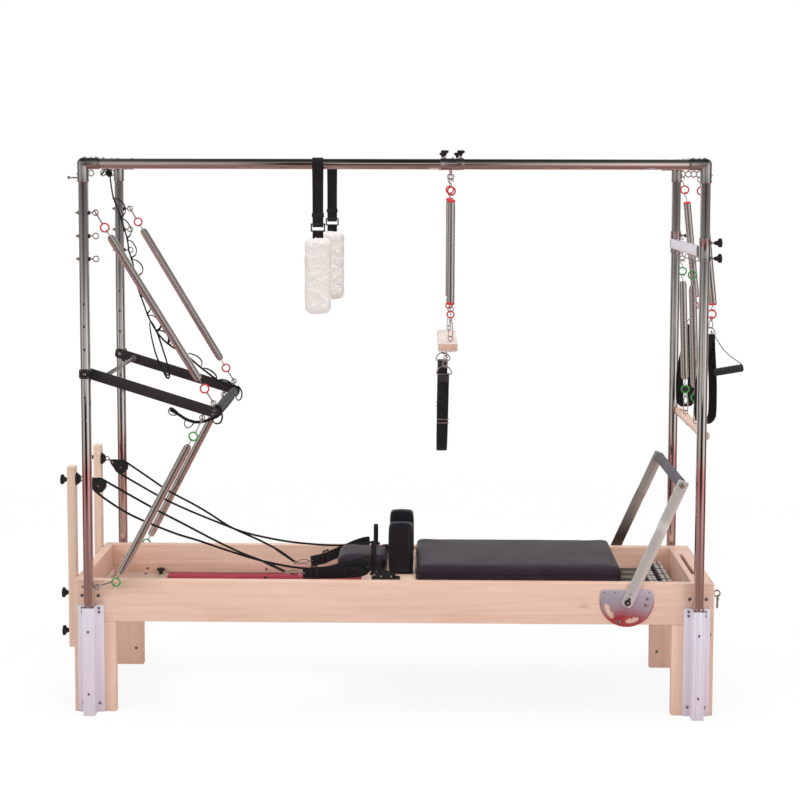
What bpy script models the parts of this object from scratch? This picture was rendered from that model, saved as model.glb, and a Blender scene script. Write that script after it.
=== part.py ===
# Three-in-one reformer: a wooden bed with a sliding carriage, inside a
# stainless tube frame that carries a push-through bar, a trapeze and springs.
# Metres, +Z up, +X towards the foot end, -Y the near side.
import math

import bpy
import bmesh
from mathutils import Matrix, Vector

# ---------------------------------------------------------------- dimensions
SHIFT_X = -0.030          # puts the middle of the whole machine at x = 0

POST_X = 1.160            # post centres, along the bed
POST_Y = 0.350            # post centres, across the bed
TUBE_R = 0.019            # 38 mm tube
TUBE_WALL = 0.0018
TOP_Z = 2.106             # centre height of the top rails
FITTING_R = 0.022         # corner fittings over the tube
FITTING_X = 1.098         # inner end of the fittings along the top rails
FITTING_Z = 2.037         # lower end of the fittings down the posts
FITTING_Y = 0.285
GAP = 0.0003

BED_X = 1.225             # half the length of the bed
BED_TOP = 0.515
BED_BOTTOM = 0.354
RAIL_OUT = 0.315          # outer face of a side rail
RAIL_IN = 0.280           # inner face of a side rail
HEAD_BOARD = 0.035
FOOT_BOARD_X = 1.142      # inner face of the foot end board

LEG_W = 0.159
FLANGE_T = 0.004          # corner extrusion: flange thickness
FLANGE_HALF = 0.050
CHANNEL_HALF = 0.0225
CHANNEL_INNER = 0.0195
CHANNEL_DEPTH = 0.0572
EXTRUSION_TOP = 0.419

TRACK_TOP = 0.395
TRACK_BOTTOM = 0.372
TRACK_IN = 0.236

WHEEL_R = 0.020
WHEEL_Z = TRACK_TOP + WHEEL_R + 0.0005
WHEEL_X = (0.06, 0.78)
AXLE_R = 0.005

BASE_Z = (0.462, 0.502)
BASE_X = (-0.125, 0.872)
BASE_Y = 0.262
PAD_X = (0.083, 0.885)
PAD_Y = 0.250
PAD_TOP = 0.560
REST_X = (-0.022, 0.076)  # shoulder rests
REST_Y = (0.085, 0.150)
REST_TOP = 0.705
HEAD_X = (-0.226, -0.027)
HEAD_Y = 0.115
HEAD_TOP = 0.566
PEG_X = -0.080
PEG_Y = 0.150

FOOT_PIVOT = (0.894, 0.442)
FOOT_TOP = (1.096, 0.895)
FOOT_ARM_Y = (0.3202, 0.3262)
FOOT_GRIP_Y = 0.289
PLATE_C = (0.892, 0.449)
PLATE_R = 0.103
PLATE_TOP = 0.490

PUSH_PIVOT = (-1.160, 1.316)
PUSH_END = (-0.672, 1.164)
PUSH_ARM_Y = (0.3185, 0.3265)
PUSH_GRIP_Y = 0.290

EYE_Z = (1.922, 1.835, 1.749)   # eyebolts up the head-end posts
EYE_X = -1.115
LOW_EYE = (-1.128, 0.497)

RISER_X = (-1.2563, -1.2253)
RISER_Z = (0.238, 0.944)
RISER_Y = (0.2225, 0.2675)
KNOB_Z = (0.891, 0.4475, 0.298)
LEFT_TIP = -1.275
PULLEY_Y = 0.240
PULLEY = {"near": (-1.137, 0.8673), "far": (-1.1426, 0.8515)}   # the two hang a little apart
PULLEY_R = 0.0215
ROPE_WRAP = 0.0270

TRAP_X = 0.218
TRAP_HALF = 0.0445
TRAP_PIVOT_Z = 2.058
TRAP_Y = 0.215
TRAP_BAR = (0.169, 0.244, 1.394, 1.427)
TRAP_BAR_Y = 0.262

TOWER_Z = (1.744, 1.834)
TOWER_BAR_X = (1.134, 1.158)
TOWER_BAR_Z = (1.757, 1.808)
ROLL_Y = 0.120
ROLL_X = 1.152
DOWEL = (1.180, 1.084)
DOWEL_R = 0.0175
DOWEL_Y = 0.322

ARM_Y = 0.200
ARM_RING = (1.172, 1.994)
ARM_SPRING = ((1.180, 1.957), (1.221, 1.572))
RIGHT_TIP = 1.335

FUZZY_X = -0.282
SPRING_R = 0.0145

# ---------------------------------------------------------------- scene set-up
for old in list(bpy.data.objects):
    bpy.data.objects.remove(old, do_unlink=True)

PARTS = bpy.data.collections.new("three_in_one_pilates_reformer")
CUTTERS = bpy.data.collections.new("cutters")
bpy.context.scene.collection.children.link(PARTS)
bpy.context.scene.collection.children.link(CUTTERS)

ORIGIN = bpy.data.objects.new("machine_origin", None)
ORIGIN.location = (SHIFT_X, 0, 0)
PARTS.objects.link(ORIGIN)


def material(name, colour, roughness, metallic=0.0):
    mat = bpy.data.materials.new(name)
    mat.use_nodes = True
    shader = mat.node_tree.nodes["Principled BSDF"]
    shader.inputs["Base Color"].default_value = (*colour, 1)
    shader.inputs["Roughness"].default_value = roughness
    shader.inputs["Metallic"].default_value = metallic
    return mat


MAPLE = material("maple", (0.72, 0.50, 0.37), 0.45)
STEEL = material("polished_tube", (0.66, 0.63, 0.60), 0.18, 1.0)
ALUMINIUM = material("satin_extrusion", (0.66, 0.62, 0.70), 0.35, 1.0)
BLACK = material("black_plastic", (0.02, 0.02, 0.022), 0.5)
BLACK_STEEL = material("black_steel", (0.035, 0.03, 0.035), 0.45, 0.4)
VINYL = material("dark_vinyl", (0.09, 0.085, 0.10), 0.5)
FOAM = material("grey_foam", (0.11, 0.11, 0.12), 0.75)
NICKEL = material("nickel_spring", (0.32, 0.29, 0.27), 0.3, 1.0)
WEBBING = material("black_webbing", (0.015, 0.014, 0.016), 0.85)
FLEECE = material("cream_fleece", (0.84, 0.81, 0.79), 0.95)


# ---------------------------------------------------------------- helpers
def place(name, mesh, mat, location=(0, 0, 0), rotation=None, smooth=False):
    obj = bpy.data.objects.new(name, mesh)
    PARTS.objects.link(obj)
    obj.parent = ORIGIN
    obj.location = location
    if rotation is not None:
        obj.rotation_mode = "QUATERNION"
        obj.rotation_quaternion = rotation
    mesh.materials.clear()
    mesh.materials.append(mat)
    if smooth:
        mesh.shade_smooth()
        mesh.set_sharp_from_angle(angle=math.radians(35))
    bpy.context.view_layer.update()
    return obj


def box(name, xs, ys, zs, mat, bevel=0.0, segments=1):
    lo = Vector((min(xs), min(ys), min(zs)))
    hi = Vector((max(xs), max(ys), max(zs)))
    bm = bmesh.new()
    bmesh.ops.create_cube(bm, size=1.0)
    bmesh.ops.scale(bm, vec=hi - lo, verts=bm.verts)
    mesh = bpy.data.meshes.new(name)
    bm.to_mesh(mesh)
    bm.free()
    obj = place(name, mesh, mat, (lo + hi) / 2)
    if bevel:
        mod = obj.modifiers.new("edges", "BEVEL")
        mod.width = bevel
        mod.segments = segments
        mod.limit_method = "ANGLE"
    return obj


def rod(name, a, b, r, mat, sides=16, r2=None):
    a, b = Vector(a), Vector(b)
    bm = bmesh.new()
    bmesh.ops.create_cone(
        bm, cap_ends=True, segments=sides, radius1=r,
        radius2=r if r2 is None else r2, depth=(b - a).length)
    mesh = bpy.data.meshes.new(name)
    bm.to_mesh(mesh)
    bm.free()
    turn = Vector((0, 0, 1)).rotation_difference((b - a).normalized())
    return place(name, mesh, mat, (a + b) / 2, turn, smooth=True)


def ball(name, c, r, mat):
    bm = bmesh.new()
    bmesh.ops.create_uvsphere(bm, u_segments=12, v_segments=8, radius=r)
    mesh = bpy.data.meshes.new(name)
    bm.to_mesh(mesh)
    bm.free()
    return place(name, mesh, mat, c, smooth=True)


def ring(name, c, normal, major, minor, mat, big=10, small=5):
    turn = Vector((0, 0, 1)).rotation_difference(Vector(normal).normalized())
    bpy.ops.mesh.primitive_torus_add(
        major_segments=big, minor_segments=small,
        major_radius=major, minor_radius=minor)
    made = bpy.context.object
    mesh = made.data
    bpy.data.objects.remove(made, do_unlink=True)
    mesh.name = name
    return place(name, mesh, mat, c, turn, smooth=True)


def evaluated_mesh(obj):
    graph = bpy.context.evaluated_depsgraph_get()
    return bpy.data.meshes.new_from_object(obj.evaluated_get(graph))


def combine(base, tools, operation="UNION"):
    """Joins or cuts `base` with each tool, and keeps one mesh."""
    mats = base.data.materials[0]
    for tool in tools:
        mod = base.modifiers.new("join", "BOOLEAN")
        mod.operation = operation
        mod.solver = "EXACT"
        mod.object = tool
        bpy.context.view_layer.update()
        mesh = evaluated_mesh(base)
        base.modifiers.clear()
        base.data = mesh
        mesh.materials.clear()
        mesh.materials.append(mats)
        bpy.data.objects.remove(tool, do_unlink=True)
    bm = bmesh.new()
    bm.from_mesh(base.data)
    bmesh.ops.remove_doubles(bm, verts=bm.verts, dist=0.00002)
    bmesh.ops.dissolve_degenerate(bm, edges=bm.edges, dist=0.00002)
    bm.to_mesh(base.data)
    bm.free()
    return base


def outline(name, loops, thickness, mat, matrix):
    """A flat outline with holes, filled and thickened, as a mesh."""
    curve = bpy.data.curves.new(name, "CURVE")
    curve.dimensions = "2D"
    curve.fill_mode = "BOTH"
    curve.extrude = thickness / 2
    for points in loops:
        spline = curve.splines.new("POLY")
        spline.points.add(len(points) - 1)
        for i, (u, v) in enumerate(points):
            spline.points[i].co = (u, v, 0, 1)
        spline.use_cyclic_u = True
    temp = bpy.data.objects.new(name + "_curve", curve)
    PARTS.objects.link(temp)
    bpy.context.view_layer.update()
    mesh = evaluated_mesh(temp)
    bpy.data.objects.remove(temp, do_unlink=True)
    bm = bmesh.new()
    bm.from_mesh(mesh)
    bmesh.ops.remove_doubles(bm, verts=bm.verts, dist=0.00002)
    bmesh.ops.recalc_face_normals(bm, faces=bm.faces)
    bm.to_mesh(mesh)
    bm.free()
    obj = place(name, mesh, mat)
    obj.matrix_local = matrix
    bpy.context.view_layer.update()
    return obj


def upright(y):
    """Outline coordinates (x, z) standing in the plane of that y."""
    return Matrix.Translation((0, y, 0)) @ Matrix.Rotation(math.pi / 2, 4, "X")


def lying(z):
    return Matrix.Translation((0, 0, z))


def across(x):
    """Outline coordinates (y, z) standing in the plane of that x."""
    return Matrix(((0, 0, 1, x), (1, 0, 0, 0), (0, 1, 0, 0), (0, 0, 0, 1)))


def arc(cx, cy, r, a0, a1, n):
    return [(cx + r * math.cos(math.radians(a0 + (a1 - a0) * i / n)),
             cy + r * math.sin(math.radians(a0 + (a1 - a0) * i / n)))
            for i in range(n + 1)]


def circle(cx, cy, r, n=12):
    return arc(cx, cy, r, 0, 360 - 360 / n, n - 1)


def bar_outline(a, b, half, n=6):
    """A flat bar from a to b with round ends."""
    ang = math.degrees(math.atan2(b[1] - a[1], b[0] - a[0]))
    return (arc(b[0], b[1], half, ang - 90, ang + 90, n)
            + arc(a[0], a[1], half, ang + 90, ang + 270, n))


def smooth_path(points, count):
    """`count` points on a smooth curve through the given ones."""
    pts = [Vector(p) for p in points]
    pts = [2 * pts[0] - pts[1]] + pts + [2 * pts[-1] - pts[-2]]
    dense = []
    for i in range(1, len(pts) - 2):
        p0, p1, p2, p3 = pts[i - 1:i + 3]
        for k in range(24):
            t = k / 24
            dense.append(0.5 * (2 * p1 + (p2 - p0) * t
                                + (2 * p0 - 5 * p1 + 4 * p2 - p3) * t * t
                                + (3 * p1 - p0 - 3 * p2 + p3) * t ** 3))
    dense.append(pts[-2])
    lengths = [0.0]
    for a, b in zip(dense, dense[1:]):
        lengths.append(lengths[-1] + (b - a).length)
    out = []
    j = 0
    for i in range(count):
        want = lengths[-1] * i / (count - 1)
        while j < len(lengths) - 2 and lengths[j + 1] < want:
            j += 1
        span = lengths[j + 1] - lengths[j] or 1.0
        out.append(dense[j].lerp(dense[j + 1], (want - lengths[j]) / span))
    return out


def cord(name, points, r, mat, resolution=2):
    curve = bpy.data.curves.new(name, "CURVE")
    curve.dimensions = "3D"
    curve.bevel_depth = r
    curve.bevel_resolution = resolution
    curve.use_fill_caps = True
    spline = curve.splines.new("POLY")
    spline.points.add(len(points) - 1)
    for i, p in enumerate(points):
        spline.points[i].co = (*p, 1)
    temp = bpy.data.objects.new(name + "_curve", curve)
    PARTS.objects.link(temp)
    bpy.context.view_layer.update()
    mesh = evaluated_mesh(temp)
    bpy.data.objects.remove(temp, do_unlink=True)
    bm = bmesh.new()
    bm.from_mesh(mesh)
    bmesh.ops.remove_doubles(bm, verts=bm.verts, dist=0.00002)
    bmesh.ops.recalc_face_normals(bm, faces=bm.faces)
    bm.to_mesh(mesh)
    bm.free()
    return place(name, mesh, mat, smooth=True)


def tube(name, a, b, mat=None):
    """A hollow 38 mm tube, open at both ends."""
    a, b = Vector(a), Vector(b)
    over = (b - a).normalized() * 0.01
    outer = rod(name, a, b, TUBE_R, mat or STEEL, 16)
    bore = rod("bore", a - over, b + over, TUBE_R - TUBE_WALL, STEEL, 16)
    return combine(outer, [bore], "DIFFERENCE")


def spring_body(name, a, b, end_a, end_b, mat=None):
    """The outer shape of a coil from a to b, with its end wires."""
    a, b, end_a, end_b = (Vector(p) for p in (a, b, end_a, end_b))
    along = (b - a).normalized()
    body = rod(name, a, b, SPRING_R, mat or NICKEL, 10)
    wires = [
        rod("wire_a", end_a, a + along * 0.004, 0.004, NICKEL, 6),
        rod("wire_b", b - along * 0.004, end_b, 0.004, NICKEL, 6),
    ]
    return combine(body, wires)


SIDES = ((-1, "near"), (1, "far"))
ENDS = ((-1, "head"), (1, "foot"))

# ---------------------------------------------------------------- wooden bed
for s, side in SIDES:
    box(f"side_rail_{side}", (-BED_X, BED_X), (s * RAIL_IN, s * RAIL_OUT),
        (BED_BOTTOM, BED_TOP), MAPLE)

box("end_board_head", (-BED_X, -BED_X + HEAD_BOARD), (-RAIL_IN + GAP, RAIL_IN - GAP),
    (BED_BOTTOM, BED_TOP), MAPLE)
foot_board = box("end_board_foot", (FOOT_BOARD_X, BED_X),
                 (-RAIL_IN + GAP, RAIL_IN - GAP), (BED_BOTTOM, BED_TOP), MAPLE)
combine(foot_board, [box("slot", (1.163, 1.178), (-0.165, 0.165), (0.492, 0.54), MAPLE)],
        "DIFFERENCE")

for s, side in SIDES:
    for e, end in ENDS:
        x_out, x_in = e * BED_X, e * (BED_X - LEG_W)
        box(f"leg_{side}_{end}", (x_out, x_in), (s * RAIL_IN, s * RAIL_OUT),
            (0.0, BED_BOTTOM - GAP), MAPLE)
        hat = [(-FLANGE_HALF, 0), (-CHANNEL_INNER, 0),
               (-CHANNEL_INNER, CHANNEL_DEPTH - 0.003),
               (CHANNEL_INNER, CHANNEL_DEPTH - 0.003), (CHANNEL_INNER, 0),
               (FLANGE_HALF, 0), (FLANGE_HALF, FLANGE_T), (CHANNEL_HALF, FLANGE_T),
               (CHANNEL_HALF, CHANNEL_DEPTH), (-CHANNEL_HALF, CHANNEL_DEPTH),
               (-CHANNEL_HALF, FLANGE_T), (-FLANGE_HALF, FLANGE_T)]
        points = [(e * POST_X + u, s * (RAIL_OUT + GAP + v)) for u, v in hat]
        outline(f"corner_extrusion_{side}_{end}", [points], EXTRUSION_TOP, ALUMINIUM,
                lying(EXTRUSION_TOP / 2))

# ---------------------------------------------------------------- tube frame
for s, side in SIDES:
    y = s * POST_Y
    head = tube(f"post_{side}_head", (-POST_X, y, 0.02), (-POST_X, y, FITTING_Z - GAP))
    extras = []
    for i, z in enumerate(EYE_Z):
        extras.append(rod("shank", (-POST_X - 0.027, y, z), (EYE_X - 0.009, y, z),
                          0.0032, STEEL, 6))
        extras.append(ring("eye", (EYE_X, y, z), (0, 1, 0), 0.0105, 0.0023, STEEL))
    extras.append(rod("shank", (-POST_X - 0.024, y, LOW_EYE[1]), (LOW_EYE[0] - 0.007, y, LOW_EYE[1]),
                      0.0032, STEEL, 8))
    extras.append(ring("eye", (LOW_EYE[0], y, LOW_EYE[1]), (0, 1, 0), 0.0095, 0.0022,
                       STEEL))
    extras.append(rod("pin", (PUSH_PIVOT[0], s * 0.3715, PUSH_PIVOT[1]),
                      (PUSH_PIVOT[0], s * 0.3165, PUSH_PIVOT[1]), 0.006, STEEL, 12))
    extras.append(box("plate", (PUSH_PIVOT[0] - 0.018, PUSH_PIVOT[0] + 0.018),
                      (s * 0.3665, s * 0.3745),
                      (PUSH_PIVOT[1] - 0.018, PUSH_PIVOT[1] + 0.018), STEEL))
    combine(head, extras)
    tube(f"post_{side}_foot", (POST_X, y, 0.02), (POST_X, y, FITTING_Z - GAP))
    tube(f"top_rail_{side}", (-FITTING_X + GAP, y, TOP_Z), (FITTING_X - GAP, y, TOP_Z))

for e, end in ENDS:
    x = e * POST_X
    bow = rod(f"end_bow_{end}", (x, -POST_Y, TOP_Z), (x, POST_Y, TOP_Z), TUBE_R, STEEL, 16)
    extras = []
    for s, side in SIDES:
        y = s * POST_Y
        extras += [
            ball("corner", (x, y, TOP_Z), FITTING_R, STEEL),
            rod("to_rail", (x, y, TOP_Z), (e * FITTING_X, y, TOP_Z), FITTING_R, STEEL, 16),
            rod("to_post", (x, y, TOP_Z), (x, y, FITTING_Z), FITTING_R, STEEL, 16),
            rod("to_bow", (x, y, TOP_Z), (x, s * FITTING_Y, TOP_Z), FITTING_R, STEEL, 16),
        ]
    eyes = (-0.205, 0.020, 0.200) if e < 0 else (-ARM_Y, -0.080, 0.050, ARM_Y)
    for y in eyes:
        extras.append(rod("shank", (x, y, TOP_Z - 0.012), (x, y, 2.079), 0.0032, STEEL, 8))
        extras.append(ring("eye", (x, y, 2.070), (1, 0, 0) if e < 0 else (0, 1, 0),
                           0.0095, 0.0023, STEEL))
    combine(bow, extras)

# ---------------------------------------------------------------- tracks and spring bars
frame = box("track_frame", (1.078, 1.100), (-0.262, 0.262), (0.425, 0.458), BLACK_STEEL)
parts = [box("front", (1.030, 1.046), (-0.235, 0.235), (0.430, 0.452), BLACK_STEEL)]
for s in (-1, 1):
    parts.append(box("tie", (1.040, 1.085), (s * 0.205, s * 0.225), (0.434, 0.448), BLACK_STEEL))
    parts.append(box("post", (1.081, 1.097), (s * 0.241, s * 0.259),
                     (TRACK_TOP - 0.004, 0.430), BLACK_STEEL))
    parts.append(box("track", (-1.165, 1.128), (s * TRACK_IN, s * (RAIL_IN - GAP)),
                     (TRACK_BOTTOM, TRACK_TOP), BLACK_STEEL))
combine(frame, parts)

# ---------------------------------------------------------------- risers
for s, side in SIDES:
    riser = box(f"riser_{side}", RISER_X, (s * RISER_Y[0], s * RISER_Y[1]), RISER_Z, MAPLE)
    yk, py = s * 0.245, s * PULLEY_Y
    px, pz = PULLEY[side]
    ax, az = px - 0.0346, pz + 0.0200     # the hole in the tip of the cheeks
    extras = [rod("knob", (LEFT_TIP, yk, z), (RISER_X[0] + 0.003, yk, z), 0.017, BLACK, 10)
              for z in KNOB_Z]
    extras.append(rod("disc", (RISER_X[1] - 0.002, py, KNOB_Z[0]), (-1.207, py, KNOB_Z[0]),
                      0.016, BLACK, 12))
    extras.append(rod("shank", (-1.212, py, KNOB_Z[0]), (ax, py, az), 0.0042, STEEL, 8))
    extras.append(rod("bridge", (ax, py - 0.0108, az), (ax, py + 0.0108, az), 0.005, STEEL, 10))
    for t in (-1, 1):
        cheek = (arc(px, pz, 0.027, 150 + 64.85, 150 - 64.85 + 360, 12)
                 + arc(ax, az, 0.010, 150 - 64.85, 150 + 64.85, 6))
        extras.append(outline("cheek", [cheek], 0.0024, BLACK, upright(py + t * 0.0100)))
    extras.append(rod("axle", (px, py - 0.0105, pz), (px, py + 0.0105, pz), 0.003, STEEL, 10))
    combine(riser, extras)
    wheel = rod(f"pulley_{side}", (px, py - 0.0075, pz), (px, py + 0.0075, pz),
                PULLEY_R, BLACK, 20)
    combine(wheel, [rod("bore", (px, py - 0.02, pz), (px, py + 0.02, pz), 0.0035, BLACK, 12)],
            "DIFFERENCE")

# ---------------------------------------------------------------- carriage
base = box("carriage_base", BASE_X, (-BASE_Y, BASE_Y), BASE_Z, MAPLE)
extras = []
for x in WHEEL_X:
    for s in (-1, 1):
        extras.append(box("hanger", (x - 0.014, x + 0.014), (s * 0.212, s * 0.222),
                          (WHEEL_Z - 0.012, BASE_Z[0] + 0.002), MAPLE))
for s in (-1, 1):
    extras.append(rod("peg", (PEG_X, s * PEG_Y, BASE_Z[1] - 0.003), (PEG_X, s * PEG_Y, 0.636),
                      0.0095, BLACK, 12))
combine(base, extras)
combine(base, [rod("bore", (x, -0.3, WHEEL_Z), (x, 0.3, WHEEL_Z), AXLE_R + 0.0006, MAPLE, 12)
               for x in WHEEL_X], "DIFFERENCE")
for x, end in zip(WHEEL_X, ("head", "foot")):
    axle = rod(f"wheelset_{end}", (x, -0.2445, WHEEL_Z), (x, 0.2445, WHEEL_Z), AXLE_R, STEEL, 12)
    combine(axle, [rod("wheel", (x, s * 0.2405, WHEEL_Z), (x, s * 0.2585, WHEEL_Z),
                       WHEEL_R, BLACK, 20) for s in (-1, 1)])

box("carriage_pad", PAD_X, (-PAD_Y, PAD_Y), (BASE_Z[1] + GAP, PAD_TOP), VINYL, 0.012, 2)
box("headrest", HEAD_X, (-HEAD_Y, HEAD_Y), (0.5053, HEAD_TOP), VINYL, 0.012, 2)
for s, side in SIDES:
    box(f"shoulder_rest_{side}", REST_X, (s * REST_Y[0], s * REST_Y[1]),
        (BASE_Z[1] + GAP, REST_TOP), VINYL, 0.010, 2)

springs = box("carriage_springs", (0.8815, 0.8915), (-0.200, 0.200), (0.430, 0.452), BLACK_STEEL)
extras = [rod("coil", (0.888, y, 0.441), (1.0295, y, 0.441), 0.016, NICKEL, 10)
          for y in (-0.16, -0.08, 0.0, 0.08, 0.16)]
combine(springs, extras)

# ---------------------------------------------------------------- foot bar
for s, side in SIDES:
    circ = arc(PLATE_C[0], PLATE_C[1], PLATE_R, 156.55, 383.45, 22)
    disc = outline(f"footbar_plate_{side}", [circ], 0.004, ALUMINIUM,
                   upright(s * (RAIL_OUT + GAP + 0.002)))
    pin = rod("pin", (FOOT_PIVOT[0], s * (RAIL_OUT + 0.002), FOOT_PIVOT[1]),
              (FOOT_PIVOT[0], s * 0.3295, FOOT_PIVOT[1]), 0.006, STEEL, 12)
    head = rod("head", (FOOT_PIVOT[0], s * 0.3275, FOOT_PIVOT[1]),
               (FOOT_PIVOT[0], s * 0.3340, FOOT_PIVOT[1]), 0.011, BLACK, 12)
    combine(disc, [pin, head])

dx, dz = FOOT_TOP[0] - FOOT_PIVOT[0], FOOT_TOP[1] - FOOT_PIVOT[1]
length = math.hypot(dx, dz)
low = (FOOT_PIVOT[0] - dx / length * 0.012, FOOT_PIVOT[1] - dz / length * 0.012)
frame = None
pieces = []
for s, side in SIDES:
    arm = outline("arm_" + side,
                  [bar_outline(low, FOOT_TOP, 0.017), circle(*FOOT_PIVOT, 0.0065)],
                  0.006, STEEL, upright(s * (FOOT_ARM_Y[0] + FOOT_ARM_Y[1]) / 2))
    pieces.append(arm)
frame = rod("footbar_frame", (FOOT_TOP[0], -0.3232, FOOT_TOP[1]),
            (FOOT_TOP[0], 0.3232, FOOT_TOP[1]), 0.008, STEEL, 12)
combine(frame, pieces)
grip = rod("footbar_grip", (FOOT_TOP[0], -FOOT_GRIP_Y, FOOT_TOP[1]),
           (FOOT_TOP[0], FOOT_GRIP_Y, FOOT_TOP[1]), 0.0175, FOAM, 16)
combine(grip, [rod("bore", (FOOT_TOP[0], -0.35, FOOT_TOP[1]), (FOOT_TOP[0], 0.35, FOOT_TOP[1]),
                   0.0085, FOAM, 12)], "DIFFERENCE")

# ---------------------------------------------------------------- push bar
dx, dz = PUSH_END[0] - PUSH_PIVOT[0], PUSH_END[1] - PUSH_PIVOT[1]
length = math.hypot(dx, dz)
ux, uz = dx / length, dz / length


def on_arm(along, up):
    """A point on the push bar: distance from its pivot, and above its axis."""
    return (PUSH_PIVOT[0] + ux * along - uz * up, PUSH_PIVOT[1] + uz * along + ux * up)


pieces = []
for s, side in SIDES:
    corners = [on_arm(-0.019, -0.0205), on_arm(length, -0.0205),
               on_arm(length, 0.0205), on_arm(-0.019, 0.0205)]
    pieces.append(outline("arm_" + side, [corners, circle(*PUSH_PIVOT, 0.0065)], 0.008,
                          BLACK_STEEL, upright(s * (PUSH_ARM_Y[0] + PUSH_ARM_Y[1]) / 2)))
    top = on_arm(length - 0.020, 0.033)
    low = on_arm(length - 0.045, -0.033)
    yc = s * 0.3225
    pieces.append(ring("eye", (top[0], yc, top[1]), (0, 1, 0), 0.0095, 0.0023, STEEL))
    shank = on_arm(length - 0.020, 0.024), on_arm(length - 0.020, 0.015)
    pieces.append(rod("shank", (shank[0][0], yc, shank[0][1]), (shank[1][0], yc, shank[1][1]),
                      0.0032, STEEL, 8))
    pieces.append(ring("eye", (low[0], yc, low[1]), (0, 1, 0), 0.0095, 0.0023, STEEL))
    shank = on_arm(length - 0.045, -0.024), on_arm(length - 0.045, -0.015)
    pieces.append(rod("shank", (shank[0][0], yc, shank[0][1]), (shank[1][0], yc, shank[1][1]),
                      0.0032, STEEL, 8))
end = on_arm(length - 0.004, 0.0)
pieces.append(rod("grip", (end[0], -PUSH_GRIP_Y, end[1]), (end[0], PUSH_GRIP_Y, end[1]),
                  0.018, FOAM, 16))
pieces.append(rod("core", (end[0], -0.3195, end[1]), (end[0], 0.3195, end[1]), 0.008, STEEL, 12))
cross = on_arm(0.062, 0.0)
push = rod("push_bar", (cross[0], -0.3195, cross[1]), (cross[0], 0.3195, cross[1]),
           0.008, STEEL, 12)
combine(push, pieces)

top_eye = on_arm(length - 0.020, 0.033)
low_eye = on_arm(length - 0.045, -0.033)
for s, side in SIDES:
    y0, y1 = s * POST_Y, s * 0.3225

    def spring(name, start, finish, a, b):
        """A spring between two eyes; a and b are how far along its coil runs."""
        start, finish = Vector((start[0], y0, start[1])), Vector((finish[0], y1, finish[1]))
        u = (finish - start).normalized()
        total = (finish - start).length
        spring_body(name, start + u * a, start + u * (total - b),
                    start + u * 0.0150, start + u * (total - 0.0150))

    spring(f"push_spring_top_{side}", (EYE_X, EYE_Z[0]), top_eye, 0.100, 0.104)
    spring(f"push_spring_low_{side}", LOW_EYE, low_eye, 0.115, 0.100)

# ---------------------------------------------------------------- trapeze
slider = rod("trapeze_slider", (TRAP_X, -0.331, TOP_Z), (TRAP_X, 0.331, TOP_Z), 0.015, STEEL, 16)
extras = []
bores = []
for s, side in SIDES:
    y = s * POST_Y
    extras.append(rod("sleeve", (TRAP_X - TRAP_HALF, y, TOP_Z), (TRAP_X + TRAP_HALF, y, TOP_Z),
                      0.0225, STEEL, 16))
    bores.append(rod("bore", (TRAP_X - 0.1, y, TOP_Z), (TRAP_X + 0.1, y, TOP_Z),
                     TUBE_R + 0.0006, STEEL, 20))
    for dx in (-0.028, 0.032):
        extras.append(rod("stem", (TRAP_X + dx, y, TOP_Z + 0.0205), (TRAP_X + dx, y, TOP_Z + 0.040),
                          0.003, STEEL, 8))
        extras.append(rod("knob", (TRAP_X + dx, y, TOP_Z + 0.036), (TRAP_X + dx, y, TOP_Z + 0.052),
                          0.012, BLACK, 10))
    extras.append(rod("shank", (TRAP_X, s * TRAP_Y, TOP_Z - 0.012), (TRAP_X, s * TRAP_Y, TRAP_PIVOT_Z + 0.009),
                      0.0032, STEEL, 8))
    extras.append(ring("eye", (TRAP_X, s * TRAP_Y, TRAP_PIVOT_Z), (0, 1, 0), 0.0095, 0.0023,
                       STEEL))
combine(slider, extras)
combine(slider, bores, "DIFFERENCE")

x0, x1, z0, z1 = TRAP_BAR
box("trapeze_bar", (x0, x1), (-TRAP_BAR_Y, TRAP_BAR_Y), (z0, z1), MAPLE, 0.006, 2)
for s, side in SIDES:
    y = s * TRAP_Y
    xb = (x0 + x1) / 2
    top = Vector((TRAP_X, y, TRAP_PIVOT_Z - 0.015))
    bottom = Vector((xb, y, z1 + GAP))
    u = (bottom - top).normalized()
    total = (bottom - top).length
    spring_body(f"trapeze_spring_{side}", top + u * 0.084, top + u * (total - 0.131), top, bottom)

sling = ([(-0.232, z0 - GAP), (-0.228, z0 - GAP)]
         + [(-0.228 * math.cos(math.radians(t)), 1.28 - 0.305 * math.sin(math.radians(t)))
            for t in range(0, 181, 12)]
         + [(0.228, z0 - GAP), (0.232, z0 - GAP)]
         + [(0.232 * math.cos(math.radians(t)), 1.28 - 0.310 * math.sin(math.radians(t)))
            for t in range(0, 181, 12)])
outline("trapeze_sling", [sling], 0.041, WEBBING, across((x0 + x1) / 2 - 0.006))

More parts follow.
